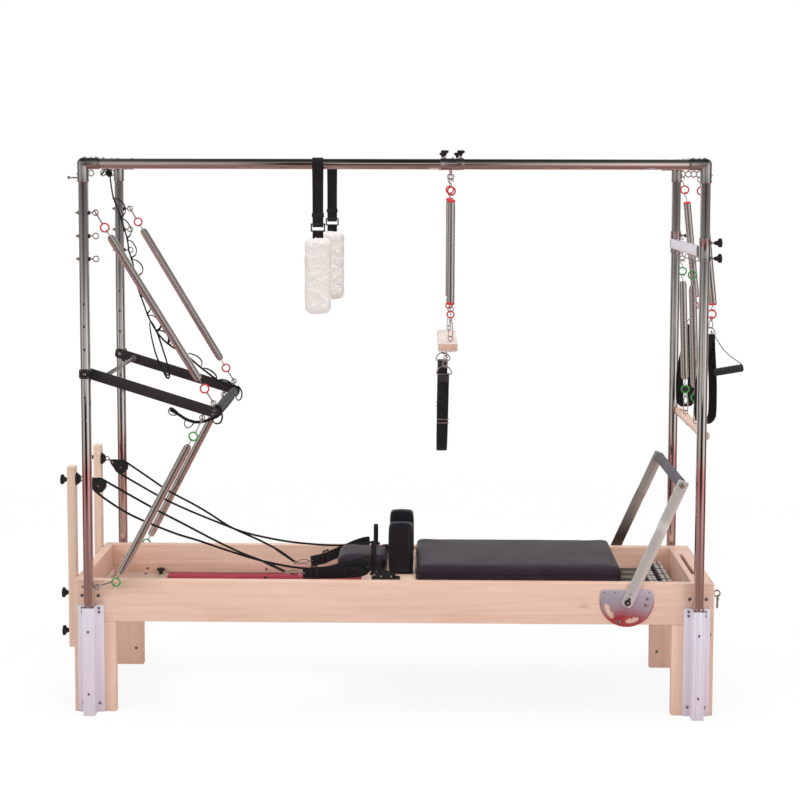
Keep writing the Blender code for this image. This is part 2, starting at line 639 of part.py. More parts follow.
# ---------------------------------------------------------------- tower slider
xm = (TOWER_BAR_X[0] + TOWER_BAR_X[1]) / 2
tower = box("tower_slider", TOWER_BAR_X, (-0.331, 0.331), TOWER_BAR_Z, ALUMINIUM)
extras = []
bores = []
for s, side in SIDES:
    y = s * POST_Y
    extras.append(rod("sleeve", (POST_X, y, TOWER_Z[0]), (POST_X, y, TOWER_Z[1]), 0.0225, STEEL, 16))
    bores.append(rod("bore", (POST_X, y, 1.5), (POST_X, y, 2.0), TUBE_R + 0.0006, STEEL, 20))
    for z in (1.815, 1.757):
        extras.append(rod("stem", (POST_X + 0.0205, y, z), (POST_X + 0.045, y, z), 0.003, STEEL, 8))
        extras.append(rod("knob", (POST_X + 0.040, y, z), (POST_X + 0.066, y, z), 0.015, BLACK, 10))
for y in (-ROLL_Y, ROLL_Y):
    extras.append(rod("shank", (ROLL_X, y, 1.770), (ROLL_X, y, 1.741), 0.0032, STEEL, 8))
    extras.append(ring("eye", (ROLL_X, y, 1.733), (0, 1, 0), 0.0095, 0.0023, STEEL))
combine(tower, extras)
combine(tower, bores, "DIFFERENCE")

rod("roll_down_bar", (DOWEL[0], -DOWEL_Y, DOWEL[1]), (DOWEL[0], DOWEL_Y, DOWEL[1]),
    DOWEL_R, MAPLE, 20)
for s, side in SIDES:
    y = s * ROLL_Y
    top = Vector((ROLL_X, y, 1.733 - 0.015))
    bottom = Vector((DOWEL[0] - 0.002, y, DOWEL[1] + DOWEL_R + GAP))
    u = (bottom - top).normalized()
    total = (bottom - top).length
    spring_body(f"roll_down_spring_{side}", top + u * 0.090, top + u * (total - 0.138), top, bottom)

# ---------------------------------------------------------------- arm springs
for s, side in SIDES:
    y = s * ARM_Y
    a, b = ARM_SPRING
    d_ring = (1.213 if s < 0 else 1.205, 1.468)
    body = rod(f"arm_spring_{side}", (a[0], y, a[1]), (b[0], y, b[1]), SPRING_R, NICKEL, 10)
    extras = [
        rod("wire", (1.1605, y, 2.0545), (a[0], y, a[1] - 0.004), 0.004, STEEL, 6),
        rod("wire", (b[0], y, b[1] + 0.004), (d_ring[0], y, d_ring[1] - 0.004), 0.004, STEEL, 6),
    ]
    # the strap hangs turned about the upright line through its ring
    turn, mid, half = (45, -0.0198, 0.0420) if s < 0 else (-60, -0.0300, 0.0360)
    outer = ([(-0.008, d_ring[1]), (mid - half, 1.280)]
             + [(mid + half * math.cos(math.radians(t)), 1.156 + 0.038 * math.sin(math.radians(t)))
                for t in range(180, 361, 20)]
             + [(mid + half, 1.280), (0.008, d_ring[1])])
    h = half - 0.004
    inner = ([(-0.003, d_ring[1] - 0.014), (mid - h, 1.275)]
             + [(mid + h * math.cos(math.radians(t)), 1.156 + 0.034 * math.sin(math.radians(t)))
                for t in range(180, 361, 20)]
             + [(mid + h, 1.275), (0.003, d_ring[1] - 0.014)])
    hang = (Matrix.Translation((d_ring[0], y, 0)) @ Matrix.Rotation(math.radians(turn), 4, "Z")
            @ Matrix.Rotation(math.pi / 2, 4, "X"))
    extras.append(outline("loop", [outer, inner], 0.036, WEBBING, hang))
    if s < 0:
        extras.append(rod("grip", (1.226, y - 0.035, 1.316), (RIGHT_TIP - 0.0025, y - 0.035, 1.334),
                          0.0150, FOAM, 12))
        extras.append(rod("cord", (1.213, y - 0.003, 1.462), (1.325, y - 0.035, 1.342), 0.003,
                          WEBBING, 6))
        extras.append(rod("cord", (1.213, y - 0.003, 1.462), (1.232, y - 0.035, 1.320), 0.003,
                          WEBBING, 6))
    combine(body, extras)

# ---------------------------------------------------------------- fleece loops
for s, side in SIDES:
    y = s * POST_Y
    x = FUZZY_X if s < 0 else FUZZY_X + 0.012
    fleece = box(f"fleece_loop_{side}", (x - 0.051, x + 0.051), (y - 0.026, y + 0.026),
                 (1.545, 1.835), FLEECE, 0.016, 2)
    mesh = evaluated_mesh(fleece)
    fleece.modifiers.clear()
    fleece.data = mesh
    strap_x = (x - 0.021, x + 0.021)
    extras = [
        rod("wrap", (strap_x[0], y, TOP_Z), (strap_x[1], y, TOP_Z), 0.0245, WEBBING, 20),
        box("strap", strap_x, (y - 0.004, y + 0.004), (1.82, 2.090), WEBBING),
    ]
    combine(fleece, extras)
    combine(fleece, [rod("bore", (x - 0.2, y, TOP_Z), (x + 0.2, y, TOP_Z), TUBE_R + 0.0006,
                         WEBBING, 20)], "DIFFERENCE")

# ---------------------------------------------------------------- ropes
ROPE_UPPER = {
    "near": [(-0.426, 0.2180, 0.5300), (-0.487, 0.2199, 0.5610), (-0.589, 0.2231, 0.6014),
             (-0.693, 0.2263, 0.6519), (-0.819, 0.2301, 0.7193), (-0.915, 0.2333, 0.7700),
             (-1.027, 0.2365, 0.8340)],
    "far": [(-0.424, 0.2180, 0.4620), (-0.482, 0.2199, 0.5040), (-0.565, 0.2225, 0.5472),
            (-0.686, 0.2263, 0.6020), (-0.777, 0.2292, 0.6591), (-0.844, 0.2314, 0.6980),
            (-0.950, 0.2346, 0.7541), (-1.033, 0.2374, 0.8100)],
}
ROPE_LOWER = {
    "near": [(-1.109, 0.2369, 0.8096), (-1.030, 0.2283, 0.7564), (-0.945, 0.2192, 0.7145),
             (-0.843, 0.2093, 0.6717), (-0.760, 0.2020, 0.6446), (-0.656, 0.1934, 0.6068),
             (-0.522, 0.1836, 0.5632), (-0.387, 0.1756, 0.5344), (-0.286, 0.1707, 0.5302),
             (-0.190, 0.1670, 0.5528), (-0.098, 0.1655, 0.5770)],
    "far": [(-1.121, 0.2388, 0.8064), (-1.070, 0.2345, 0.7776), (-0.965, 0.2228, 0.7215),
            (-0.865, 0.2124, 0.6773), (-0.728, 0.1995, 0.6248), (-0.614, 0.1903, 0.5856),
            (-0.460, 0.1799, 0.5561), (-0.327, 0.1726, 0.5440), (-0.239, 0.1689, 0.5415),
            (-0.160, 0.1664, 0.5461), (-0.098, 0.1655, 0.5560)],
}
HAND_LOOP = {
    "near": [(-0.352, 0.500), (-0.170, 0.503), (-0.105, 0.508), (-0.105, 0.584),
             (-0.170, 0.568), (-0.260, 0.548), (-0.352, 0.543)],
    "far": [(-0.352, 0.443), (-0.300, 0.450), (-0.235, 0.478), (-0.105, 0.520),
            (-0.105, 0.570), (-0.200, 0.545), (-0.290, 0.500), (-0.352, 0.484)],
}
for s, side in SIDES:
    px, pz = PULLEY[side]
    wrap = [(px + ROPE_WRAP * math.cos(math.radians(t)), s * PULLEY_Y,
             pz + ROPE_WRAP * math.sin(math.radians(t))) for t in range(57, 239, 19 if s < 0 else 20)]
    upper = [(x, s * y, z) for x, y, z in ROPE_UPPER[side]]
    lower = [(x, s * y, z) for x, y, z in ROPE_LOWER[side]]
    path = (smooth_path(upper + wrap[:2], 18)[:-1] + wrap[1:-1]
            + smooth_path(wrap[-2:] + lower, 23)[1:])
    cord(f"rope_{side}", path, 0.0040, WEBBING, 2)
    outline(f"hand_loop_{side}", [HAND_LOOP[side]], 0.010, WEBBING, upright(s * 0.2175))

# ---------------------------------------------------------------- stretch strap
route = [(-1.137, 0.055, 2.085), (-1.1385, 0.057, 2.050), (-1.1311, 0.070, 1.9785),
         (-1.1175, 0.080, 1.9343), (-1.1038, 0.090, 1.890), (-1.0839, 0.108, 1.809),
         (-1.0783, 0.118, 1.756), (-1.0649, 0.130, 1.7028), (-1.0562, 0.145, 1.6287),
         (-1.0322, 0.165, 1.5456), (-1.0086, 0.190, 1.4697), (-0.9749, 0.230, 1.3998),
         (-0.9362, 0.270, 1.3541), (-0.8869, 0.296, 1.3217), (-0.8291, 0.300, 1.2711),
         (-0.7705, 0.298, 1.2255), (-0.7192, 0.290, 1.193), (-0.690, 0.281, 1.1865)]
cord("stretch_strap", smooth_path(route, 40), 0.0040, WEBBING, 2)
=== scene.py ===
import math
import random

import bmesh
import bpy
import numpy as np
from mathutils import Matrix, Vector, noise


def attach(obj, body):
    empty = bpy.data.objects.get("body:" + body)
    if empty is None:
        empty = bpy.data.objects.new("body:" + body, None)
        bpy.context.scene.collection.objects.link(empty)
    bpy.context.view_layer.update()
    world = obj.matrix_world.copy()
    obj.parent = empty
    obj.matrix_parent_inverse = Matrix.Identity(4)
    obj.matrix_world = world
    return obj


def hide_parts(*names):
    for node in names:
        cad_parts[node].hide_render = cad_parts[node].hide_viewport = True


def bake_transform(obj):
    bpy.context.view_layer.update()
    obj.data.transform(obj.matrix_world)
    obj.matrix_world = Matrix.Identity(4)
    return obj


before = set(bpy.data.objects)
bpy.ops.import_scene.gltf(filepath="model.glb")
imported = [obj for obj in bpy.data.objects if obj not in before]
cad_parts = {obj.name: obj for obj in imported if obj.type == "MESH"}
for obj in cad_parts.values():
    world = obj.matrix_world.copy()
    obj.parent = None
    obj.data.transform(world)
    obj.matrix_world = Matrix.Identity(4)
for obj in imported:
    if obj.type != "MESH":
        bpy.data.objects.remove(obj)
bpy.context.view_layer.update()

SX = -0.030            # the drawing's x to the row frame's x
scene = bpy.context.scene
sin, cos, pi, rad = math.sin, math.cos, math.pi, math.radians
SIDES = ((-1, "near"), (1, "far"))
ENDS = ((-1, "head"), (1, "foot"))

# =====================================================================
# Camera
# =====================================================================
yaw, pitch, roll = -0.0167877, 0.0786511, 0.0020055
fwd = Vector((sin(yaw) * cos(pitch), cos(yaw) * cos(pitch), -sin(pitch)))
right = Vector((cos(yaw), -sin(yaw), 0))
up = right.cross(fwd)
right, up = right * cos(roll) + up * sin(roll), -right * sin(roll) + up * cos(roll)
cam_data = bpy.data.cameras.new("camera")
cam = bpy.data.objects.new("camera", cam_data)
scene.collection.objects.link(cam)
turn = Matrix((right, up, -fwd)).transposed().to_4x4()
turn.translation = Vector((0.1256902 + SX, -6.3349342, 2.0752742))
cam.matrix_world = turn
cam_data.sensor_width = 36.0
cam_data.lens = 1602.870 / 800 * 36.0
cam_data.shift_y = (298.631 - 400) / 800
cam_data.clip_start, cam_data.clip_end = 0.1, 400
scene.camera = cam


# =====================================================================
# Mesh building
# =====================================================================
def unit(v):
    v = Vector(v)
    return v.normalized() if v.length > 1e-12 else Vector((0, 0, 1))


def side_of(t, up_hint=None):
    """A direction at right angles to t, close to up_hint."""
    h = Vector(up_hint) if up_hint is not None else Vector((0, 0, 1))
    if h.cross(t).length < 1e-4:
        h = Vector((1, 0, 0)) if abs(t.x) < 0.9 else Vector((0, 1, 0))
    return (h - t * h.dot(t)).normalized()


def circle(r, n, start=0.0):
    return [(r * cos(start + 2 * pi * i / n), r * sin(start + 2 * pi * i / n)) for i in range(n)]


def rounded(w, h, r, n=3):
    """Outline of a w by h rectangle with round corners."""
    out = []
    for cx, cy, a in ((w / 2 - r, h / 2 - r, 0), (-w / 2 + r, h / 2 - r, 90),
                      (-w / 2 + r, -h / 2 + r, 180), (w / 2 - r, -h / 2 + r, 270)):
        for i in range(n + 1):
            t = rad(a + 90 * i / n)
            out.append((cx + r * cos(t), cy + r * sin(t)))
    return out


def smooth_path(points, count, closed=False):
    """count points, evenly spaced, on a smooth curve through the given ones."""
    pts = [Vector(p) for p in points]
    if closed:
        pts = [pts[-1]] + pts + [pts[0], pts[1]]
    else:
        pts = [2 * pts[0] - pts[1]] + pts + [2 * pts[-1] - pts[-2]]
    dense = []
    for i in range(1, len(pts) - 2):
        p0, p1, p2, p3 = pts[i - 1:i + 3]
        for k in range(24):
            t = k / 24
            dense.append(0.5 * (2 * p1 + (p2 - p0) * t + (2 * p0 - 5 * p1 + 4 * p2 - p3) * t * t
                                + (3 * p1 - p0 - 3 * p2 + p3) * t ** 3))
    dense.append(pts[-2])
    lengths = [0.0]
    for a, b in zip(dense, dense[1:]):
        lengths.append(lengths[-1] + (b - a).length)
    out, j = [], 0
    steps = count if closed else count - 1
    for i in range(count):
        want = lengths[-1] * i / steps
        while j < len(lengths) - 2 and lengths[j + 1] < want:
            j += 1
        span = lengths[j + 1] - lengths[j] or 1.0
        out.append(dense[j].lerp(dense[j + 1], (want - lengths[j]) / span))
    return out


class Part:
    """Collects the shells of one visible piece, in the drawing's frame."""

    def __init__(self):
        self.points, self.faces, self.uvs, self.mats = [], [], [], []

    def add(self, points, faces, uvs=None, mat=0):
        k = len(self.points)
        self.points.extend(tuple(p) for p in points)
        for i, f in enumerate(faces):
            self.faces.append(tuple(k + j for j in f))
            self.uvs.append(uvs[i] if uvs else None)
            self.mats.append(mat)
        return self

    # ---- shells
    def sweep(self, points, profile, mat=0, closed=False, caps=True, up=None, ups=None, scale=None):
        pts = [Vector(p) for p in points]
        n, k = len(pts), len(profile)
        tangents = []
        for i in range(n):
            a = pts[i - 1] if closed or i else pts[0]
            b = pts[(i + 1) % n] if closed or i < n - 1 else pts[-1]
            tangents.append(unit(b - a))
        normals = [side_of(tangents[0], ups[0] if ups else up)]
        for i in range(1, n):
            if ups:
                normals.append(side_of(tangents[i], ups[i]))
                continue
            q = tangents[i - 1].rotation_difference(tangents[i])
            v = q @ normals[-1]
            normals.append((v - tangents[i] * v.dot(tangents[i])).normalized())
        if closed and not ups:
            q = tangents[-1].rotation_difference(tangents[0])
            v = q @ normals[-1]
            miss = math.atan2(v.cross(normals[0]).dot(tangents[0]), v.dot(normals[0]))
            for i in range(n):
                normals[i] = Matrix.Rotation(miss * i / n, 3, tangents[i]) @ normals[i]
        ring_lengths = [0.0]
        for i in range(k):
            a, b = profile[i], profile[(i + 1) % k]
            ring_lengths.append(ring_lengths[-1] + math.hypot(b[0] - a[0], b[1] - a[1]))
        verts, along = [], [0.0]
        for i in range(n):
            t, nn = tangents[i], normals[i]
            bb = t.cross(nn)
            s = scale(i / (n - 1 if not closed else n)) if scale else 1.0
            sa, sb = s if isinstance(s, tuple) else (s, s)
            for a, b in profile:
                verts.append(pts[i] + nn * (a * sa) + bb * (b * sb))
            if i:
                along.append(along[-1] + (pts[i] - pts[i - 1]).length)
        if closed:
            along.append(along[-1] + (pts[0] - pts[-1]).length)
        faces, uvs = [], []
        for i in range(n if closed else n - 1):
            j = (i + 1) % n
            for c in range(k):
                d = (c + 1) % k
                faces.append((i * k + c, i * k + d, j * k + d, j * k + c))
                u0, u1, v0, v1 = along[i], along[i + 1], ring_lengths[c], ring_lengths[c + 1]
                uvs.append(((u0, v0), (u0, v1), (u1, v1), (u1, v0)))
        if caps and not closed:
            faces.append(tuple(reversed(range(k))))
            uvs.append([(along[0] + profile[c][0], profile[c][1]) for c in reversed(range(k))])
            faces.append(tuple((n - 1) * k + c for c in range(k)))
            uvs.append([(along[-1] + profile[c][0], profile[c][1]) for c in range(k)])
        return self.add(verts, faces, uvs, mat)

    def lathe(self, profile, base, axis, seg=24, mat=0, start=0.0, hint=None):
        """Turns (radius, height) pairs round an axis. Closed at radius 0 or by flat caps."""
        base, axis = Vector(base), unit(axis)
        e1 = side_of(axis, hint)
        e2 = axis.cross(e1)
        verts, faces, rows = [], [], []
        for r, h in profile:
            if r < 1e-7:
                rows.append([len(verts)])
                verts.append(base + axis * h)
            else:
                rows.append(list(range(len(verts), len(verts) + seg)))
                for i in range(seg):
                    t = start + 2 * pi * i / seg
                    verts.append(base + axis * h + (e1 * cos(t) + e2 * sin(t)) * r)
        for a, b in zip(rows, rows[1:]):
            if len(a) == 1 and len(b) == 1:
                continue
            for i in range(seg):
                j = (i + 1) % seg
                if len(a) == 1:
                    faces.append((a[0], b[j], b[i]))
                elif len(b) == 1:
                    faces.append((a[i], a[j], b[0]))
                else:
                    faces.append((a[i], a[j], b[j], b[i]))
        if len(rows[0]) > 1:
            faces.append(tuple(reversed(rows[0])))
        if len(rows[-1]) > 1:
            faces.append(tuple(rows[-1]))
        uvs = None
        return self.add(verts, faces, uvs, mat)

    def turned(self, profile, base, axis, seg=24, mat=0):
        """Turns a closed (radius, height) outline round an axis: a ring shape."""
        base, axis = Vector(base), unit(axis)
        e1 = side_of(axis)
        e2 = axis.cross(e1)
        k = len(profile)
        verts = [base + axis * h + (e1 * cos(2 * pi * i / seg) + e2 * sin(2 * pi * i / seg)) * r
                 for i in range(seg) for r, h in profile]
        faces = [(i * k + c, i * k + (c + 1) % k, (i + 1) % seg * k + (c + 1) % k, (i + 1) % seg * k + c)
                 for i in range(seg) for c in range(k)]
        return self.add(verts, faces, None, mat)

    def rod(self, a, b, r, mat=0, seg=24, edge=0.0006):
        """A solid rod with slightly broken edges."""
        a, b = Vector(a), Vector(b)
        n = (b - a).length
        e = min(edge, r * 0.4, n * 0.3)
        return self.lathe([(0, 0), (r - e, 0), (r, e), (r, n - e), (r - e, n), (0, n)], a, b - a, seg, mat)

    def pipe(self, a, b, r, wall, mat=0, seg=48, edge=0.0005):
        a, b = Vector(a), Vector(b)
        n = (b - a).length
        q = r - wall
        return self.turned([(q + edge, 0), (r - edge, 0), (r, edge), (r, n - edge), (r - edge, n),
                            (q + edge, n), (q, n - edge), (q, edge)], a, b - a, seg, mat)

    def ring(self, c, normal, major, minor, mat=0, seg=28, sides=10):
        c, nrm = Vector(c), unit(normal)
        e1 = side_of(nrm)
        e2 = nrm.cross(e1)
        pts = [c + (e1 * cos(2 * pi * i / seg) + e2 * sin(2 * pi * i / seg)) * major for i in range(seg)]
        return self.sweep(pts, circle(minor, sides), mat, closed=True, up=nrm)

    def box(self, xs, ys, zs, mat=0, bevel=0.002, seg=2):
        lo = Vector((min(xs), min(ys), min(zs)))
        hi = Vector((max(xs), max(ys), max(zs)))
        bm = bmesh.new()
        bmesh.ops.create_cube(bm, size=1.0)
        bmesh.ops.scale(bm, vec=hi - lo, verts=bm.verts)
        bmesh.ops.translate(bm, vec=(lo + hi) / 2, verts=bm.verts)
        if bevel:
            bmesh.ops.bevel(bm, geom=bm.edges[:], offset=bevel, segments=seg, profile=0.5, affect="EDGES")
        return self.from_bmesh(bm, mat)

    def from_bmesh(self, bm, mat=0, matrix=None):
        bm.verts.ensure_lookup_table()
        bm.verts.index_update()
        pts = [(matrix @ v.co) if matrix else v.co.copy() for v in bm.verts]
        faces = [tuple(v.index for v in f.verts) for f in bm.faces]
        bm.free()
        return self.add(pts, faces, None, mat)

    def plate(self, loops, thickness, matrix, mat=0, bevel=0.0006):
        """A flat outline with holes, thickened, with broken edges."""
        curve = bpy.data.curves.new("outline", "CURVE")
        curve.dimensions = "2D"
        curve.fill_mode = "BOTH"
        curve.extrude = max(thickness / 2 - bevel, 1e-5)
        curve.bevel_depth = bevel
        curve.bevel_resolution = 1
        curve.offset = -bevel
        for points in loops:
            spline = curve.splines.new("POLY")
            spline.points.add(len(points) - 1)
            for i, (u, v) in enumerate(points):
                spline.points[i].co = (u, v, 0, 1)
            spline.use_cyclic_u = True
        temp = bpy.data.objects.new("outline", curve)
        scene.collection.objects.link(temp)
        bpy.context.view_layer.update()
        mesh = bpy.data.meshes.new_from_object(temp.evaluated_get(bpy.context.evaluated_depsgraph_get()))
        bpy.data.objects.remove(temp, do_unlink=True)
        bpy.data.curves.remove(curve)
        bm = bmesh.new()
        bm.from_mesh(mesh)
        bpy.data.meshes.remove(mesh)
        bmesh.ops.remove_doubles(bm, verts=bm.verts, dist=0.00002)
        return self.from_bmesh(bm, mat, matrix)

    def bar(self, a, b, w, t, up, mat=0, r=0.001, n=2):
        """A rectangular bar from a to b: w along up, t across it."""
        return self.sweep([a, b], rounded(w, t, r, n), mat, up=up)

    def coil(self, a, b, radius, wire, pitch=None, mat=0, turn_points=14, sides=6, taper=3.0, end_radius=0.42):
        """A close-wound coil from a to b, whose last turns draw in."""
        a, b = np.array(a, float), np.array(b, float)
        axis = b - a
        length = np.linalg.norm(axis)
        axis /= length
        pitch = pitch or wire * 2.06
        turns = length / pitch
        n = int(turns * turn_points)
        e1 = np.array(side_of(Vector(axis)))
        e2 = np.cross(axis, e1)
        s = np.linspace(0, 1, n + 1)
        th = 2 * pi * turns * s
        ends = np.minimum(s, 1 - s) * turns
        k = np.clip(ends / taper, 0, 1)
        rr = radius * (end_radius + (1 - end_radius) * np.sqrt(1 - (1 - k) ** 2))
        radial = np.cos(th)[:, None] * e1 + np.sin(th)[:, None] * e2
        mid = a + np.outer(s * length, axis) + radial * rr[:, None]
        # the wire is a little flat outside, so that the body mirrors along its length
        prof = np.array([(1.0, 0.74), (0.60, 0.99), (-0.9, 0.72), (-0.9, -0.72), (0.60, -0.99), (1.0, -0.74)])
        pts = (mid[:, None, :] + wire * (prof[None, :, :1] * radial[:, None, :]
                                         + prof[None, :, 1:] * axis[None, None, :])).reshape(-1, 3)
        faces = []
        for i in range(n):
            for c in range(sides):
                d = (c + 1) % sides
                faces.append((i * sides + c, i * sides + d, (i + 1) * sides + d, (i + 1) * sides + c))
        faces.append(tuple(reversed(range(sides))))
        faces.append(tuple(n * sides + c for c in range(sides)))
        return self.add(pts.tolist(), faces, None, mat)

    # ---- the piece
    def object(self, name, mats, smooth=52, subdivide=0):
        mesh = bpy.data.meshes.new(name)
        pts = [(x + SX, y, z) for x, y, z in self.points]
        mesh.from_pydata(pts, [], self.faces)
        for m in mats:
            mesh.materials.append(m)
        mesh.polygons.foreach_set("material_index", self.mats)
        if any(u is not None for u in self.uvs):
            layer = mesh.uv_layers.new(name="along")
            flat = []
            for f, u in zip(self.faces, self.uvs):
                for c in range(len(f)):
                    flat.extend(u[c] if u is not None else (0.0, 0.0))
            layer.data.foreach_set("uv", flat)
        bm = bmesh.new()
        bm.from_mesh(mesh)
        bmesh.ops.recalc_face_normals(bm, faces=bm.faces)
        bm.to_mesh(mesh)
        bm.free()
        mesh.shade_smooth()
        mesh.set_sharp_from_angle(angle=rad(smooth))
        obj = bpy.data.objects.new(name, mesh)
        scene.collection.objects.link(obj)
        return obj


def put(part, name, body, mats, replaces=(), smooth=52):
    """Makes the piece and lets it ride on its body."""
    obj = part.object(name, mats if isinstance(mats, (list, tuple)) else [mats], smooth)
    if body:
        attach(obj, body)
    if replaces:
        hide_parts(*([replaces] if isinstance(replaces, str) else replaces))
    return obj


def upright(y):
    return Matrix.Translation((0, y, 0)) @ Matrix.Rotation(pi / 2, 4, "X")


def lying(z):
    return Matrix.Translation((0, 0, z))


def arc(cx, cy, r, a0, a1, n):
    return [(cx + r * cos(rad(a0 + (a1 - a0) * i / n)), cy + r * sin(rad(a0 + (a1 - a0) * i / n)))
            for i in range(n + 1)]


# =====================================================================
# Materials
# =====================================================================
class Mat:
    """A node material, built a node at a time."""

    def __init__(self, name, **sockets):
        self.m = bpy.data.materials.new(name)
        self.m.use_nodes = True
        self.t = self.m.node_tree
        self.t.nodes.clear()
        self.out = self.t.nodes.new("ShaderNodeOutputMaterial")
        self.bsdf = self.t.nodes.new("ShaderNodeBsdfPrincipled")
        self.t.links.new(self.bsdf.outputs[0], self.out.inputs[0])
        for key, value in sockets.items():
            self.set(key.replace("_", " "), value)

    def set(self, socket, value):
        if isinstance(value, bpy.types.NodeSocket):
            self.t.links.new(value, self.bsdf.inputs[socket])
        else:
            self.bsdf.inputs[socket].default_value = value

    def node(self, kind, inputs=None, **props):
        n = self.t.nodes.new(kind)
        for key, value in props.items():
            setattr(n, key, value)
        for key, value in (inputs or {}).items():
            s = n.inputs[key]
            if isinstance(value, bpy.types.NodeSocket):
                self.t.links.new(value, s)
            else:
                s.default_value = value
        return n

    def where(self, scale=(1, 1, 1), source="Object", rotation=(0, 0, 0), offset=(0, 0, 0)):
        if source == "along":
            c = self.node("ShaderNodeUVMap", uv_map="along").outputs[0]
        else:
            c = self.node("ShaderNodeTexCoord").outputs[source]
        return self.node("ShaderNodeMapping", {"Vector": c, "Scale": scale, "Rotation": rotation,
                                               "Location": offset}).outputs[0]

    def noise(self, where, scale, detail=3.0, rough=0.5, distort=0.0):
        return self.node("ShaderNodeTexNoise", {"Vector": where, "Scale": scale, "Detail": detail,
                                                "Roughness": rough, "Distortion": distort}).outputs[0]

    def cells(self, where, scale, feature="F1", random_=1.0):
        return self.node("ShaderNodeTexVoronoi", {"Vector": where, "Scale": scale, "Randomness": random_},
                         feature=feature).outputs[0]

    def bands(self, where, scale, direction="X", distort=0.0, detail=0.0, kind="BANDS"):
        props = dict(wave_type=kind)
        if kind == "BANDS":
            props["bands_direction"] = direction
        else:
            props["rings_direction"] = direction
        return self.node("ShaderNodeTexWave", {"Vector": where, "Scale": scale, "Distortion": distort,
                                               "Detail": detail}, **props).outputs[1]

    def ramp(self, fac, stops):
        n = self.node("ShaderNodeValToRGB", {"Fac": fac})
        e = n.color_ramp.elements
        while len(e) < len(stops):
            e.new(0.5)
        for i, (at, value) in enumerate(stops):
            e[i].position = at
            e[i].color = (*value, 1) if hasattr(value, "__len__") else (value, value, value, 1)
        return n.outputs[0]

    def mix(self, fac, a, b, blend="MIX"):
        n = self.t.nodes.new("ShaderNodeMix")
        n.data_type = "RGBA"
        n.blend_type = blend
        for i, value in ((0, fac), (6, a), (7, b)):
            if isinstance(value, bpy.types.NodeSocket):
                self.t.links.new(value, n.inputs[i])
            else:
                n.inputs[i].default_value = (*value, 1) if hasattr(value, "__len__") and len(value) == 3 else value
        return n.outputs[2]

    def math(self, op, a, b=0.0, c=None):
        inputs = {0: a, 1: b}
        if c is not None:
            inputs[2] = c
        n = self.t.nodes.new("ShaderNodeMath")
        n.operation = op
        for key, value in inputs.items():
            if isinstance(value, bpy.types.NodeSocket):
                self.t.links.new(value, n.inputs[key])
            else:
                n.inputs[key].default_value = value
        return n.outputs[0]

    def span(self, value, a, b, c, d):
        return self.node("ShaderNodeMapRange", {"Value": value, "From Min": a, "From Max": b,
                                                "To Min": c, "To Max": d}).outputs[0]

    def bump(self, height, strength, distance, normal=None):
        inputs = {"Height": height, "Strength": strength, "Distance": distance}
        if normal is not None:
            inputs["Normal"] = normal
        return self.node("ShaderNodeBump", inputs).outputs[0]

    def edges(self, low=0.5, high=0.6):
        """1 on worn convex edges, 0 elsewhere."""
        return self.span(self.node("ShaderNodeNewGeometry").outputs["Pointiness"], low, high, 0, 1)

    def near(self, point, radius, soft=0.5, stretch=(1, 1, 1)):
        """1 near a point of the row frame, 0 away from it."""
        c = self.node("ShaderNodeTexCoord").outputs["Object"]
        d = self.node("ShaderNodeVectorMath", {0: c, 1: point}, operation="SUBTRACT").outputs[0]
        d = self.node("ShaderNodeVectorMath", {0: d, 1: stretch}, operation="MULTIPLY").outputs[0]
        d = self.node("ShaderNodeVectorMath", {0: d}, operation="LENGTH").outputs["Value"]
        return self.span(d, radius * soft, radius, 1, 0)


def scaled(c, k):
    return tuple(min(1.0, v * k) for v in c)


def maple(name, grain="X", light=(0.78, 0.527, 0.430), dark=(0.67, 0.412, 0.312), marks=(), shade=1.0, seed=0.0):
    """Lacquered pale hardwood whose grain runs along one axis."""
    light, dark = scaled(light, shade), scaled(dark, shade)
    m = Mat(name)
    long = {"X": 0, "Y": 1, "Z": 2}[grain]

    def sc(along, across):
        s = [across] * 3
        s[long] = along
        return tuple(s)

    off = (seed, seed * 0.7, seed * 1.3)
    broad = m.noise(m.where(sc(0.9, 5), offset=off), 2.2, 4, 0.55, 0.4)
    streak = m.noise(m.where(sc(1.2, 34), offset=off), 3.0, 5, 0.6, 0.3)
    fibre = m.noise(m.where(sc(9, 420), offset=off), 2.0, 4, 0.6)
    flower = m.bands(m.where(sc(0.35, 5.5), offset=off), 1.3, "Z" if grain != "Z" else "X", 7.0, 2.0)
    colour = m.mix(m.ramp(streak, [(0.33, 0.0), (0.66, 1.0)]), dark, light)
    colour = m.mix(m.span(broad, 0.3, 0.7, 0, 0.55), colour, (*scaled((0.80, 0.530, 0.415), shade),))
    colour = m.mix(m.math("MULTIPLY", flower, 0.13), colour, (*scaled(dark, 0.82),))
    dash = m.ramp(m.noise(m.where(sc(55, 520), offset=off), 1.6, 2, 0.5), [(0.60, 0.0), (0.68, 1.0)])
    colour = m.mix(m.math("MULTIPLY", dash, 0.22), colour, (*scaled((0.50, 0.30, 0.20), shade),))
    # each mark darkens the wood round a point, following the grain
    for point, radius, stretch in marks:
        near = m.near(point, radius, 0.15, stretch)
        near = m.math("MULTIPLY", near, m.span(streak, 0.3, 0.6, 0.9, 0.35))
        colour = m.mix(near, colour, (0.42, 0.24, 0.15))
    worn = m.math("MULTIPLY", m.edges(0.52, 0.60), m.span(broad, 0.4, 0.6, 0.15, 0.5))
    colour = m.mix(worn, colour, (*scaled((0.86, 0.67, 0.54), shade),))
    m.set("Base Color", colour)
    m.set("Roughness", m.span(m.math("ADD", streak, m.math("MULTIPLY", fibre, 0.5)), 0.4, 1.1, 0.36, 0.52))
    m.set("Specular IOR Level", 0.42)
    m.set("Coat Weight", 0.12)
    m.set("Coat Roughness", 0.22)
    height = m.math("ADD", m.math("MULTIPLY", fibre, 0.6), m.math("MULTIPLY", streak, 0.8))
    m.set("Normal", m.bump(height, 0.16, 0.0006))
    return m.m


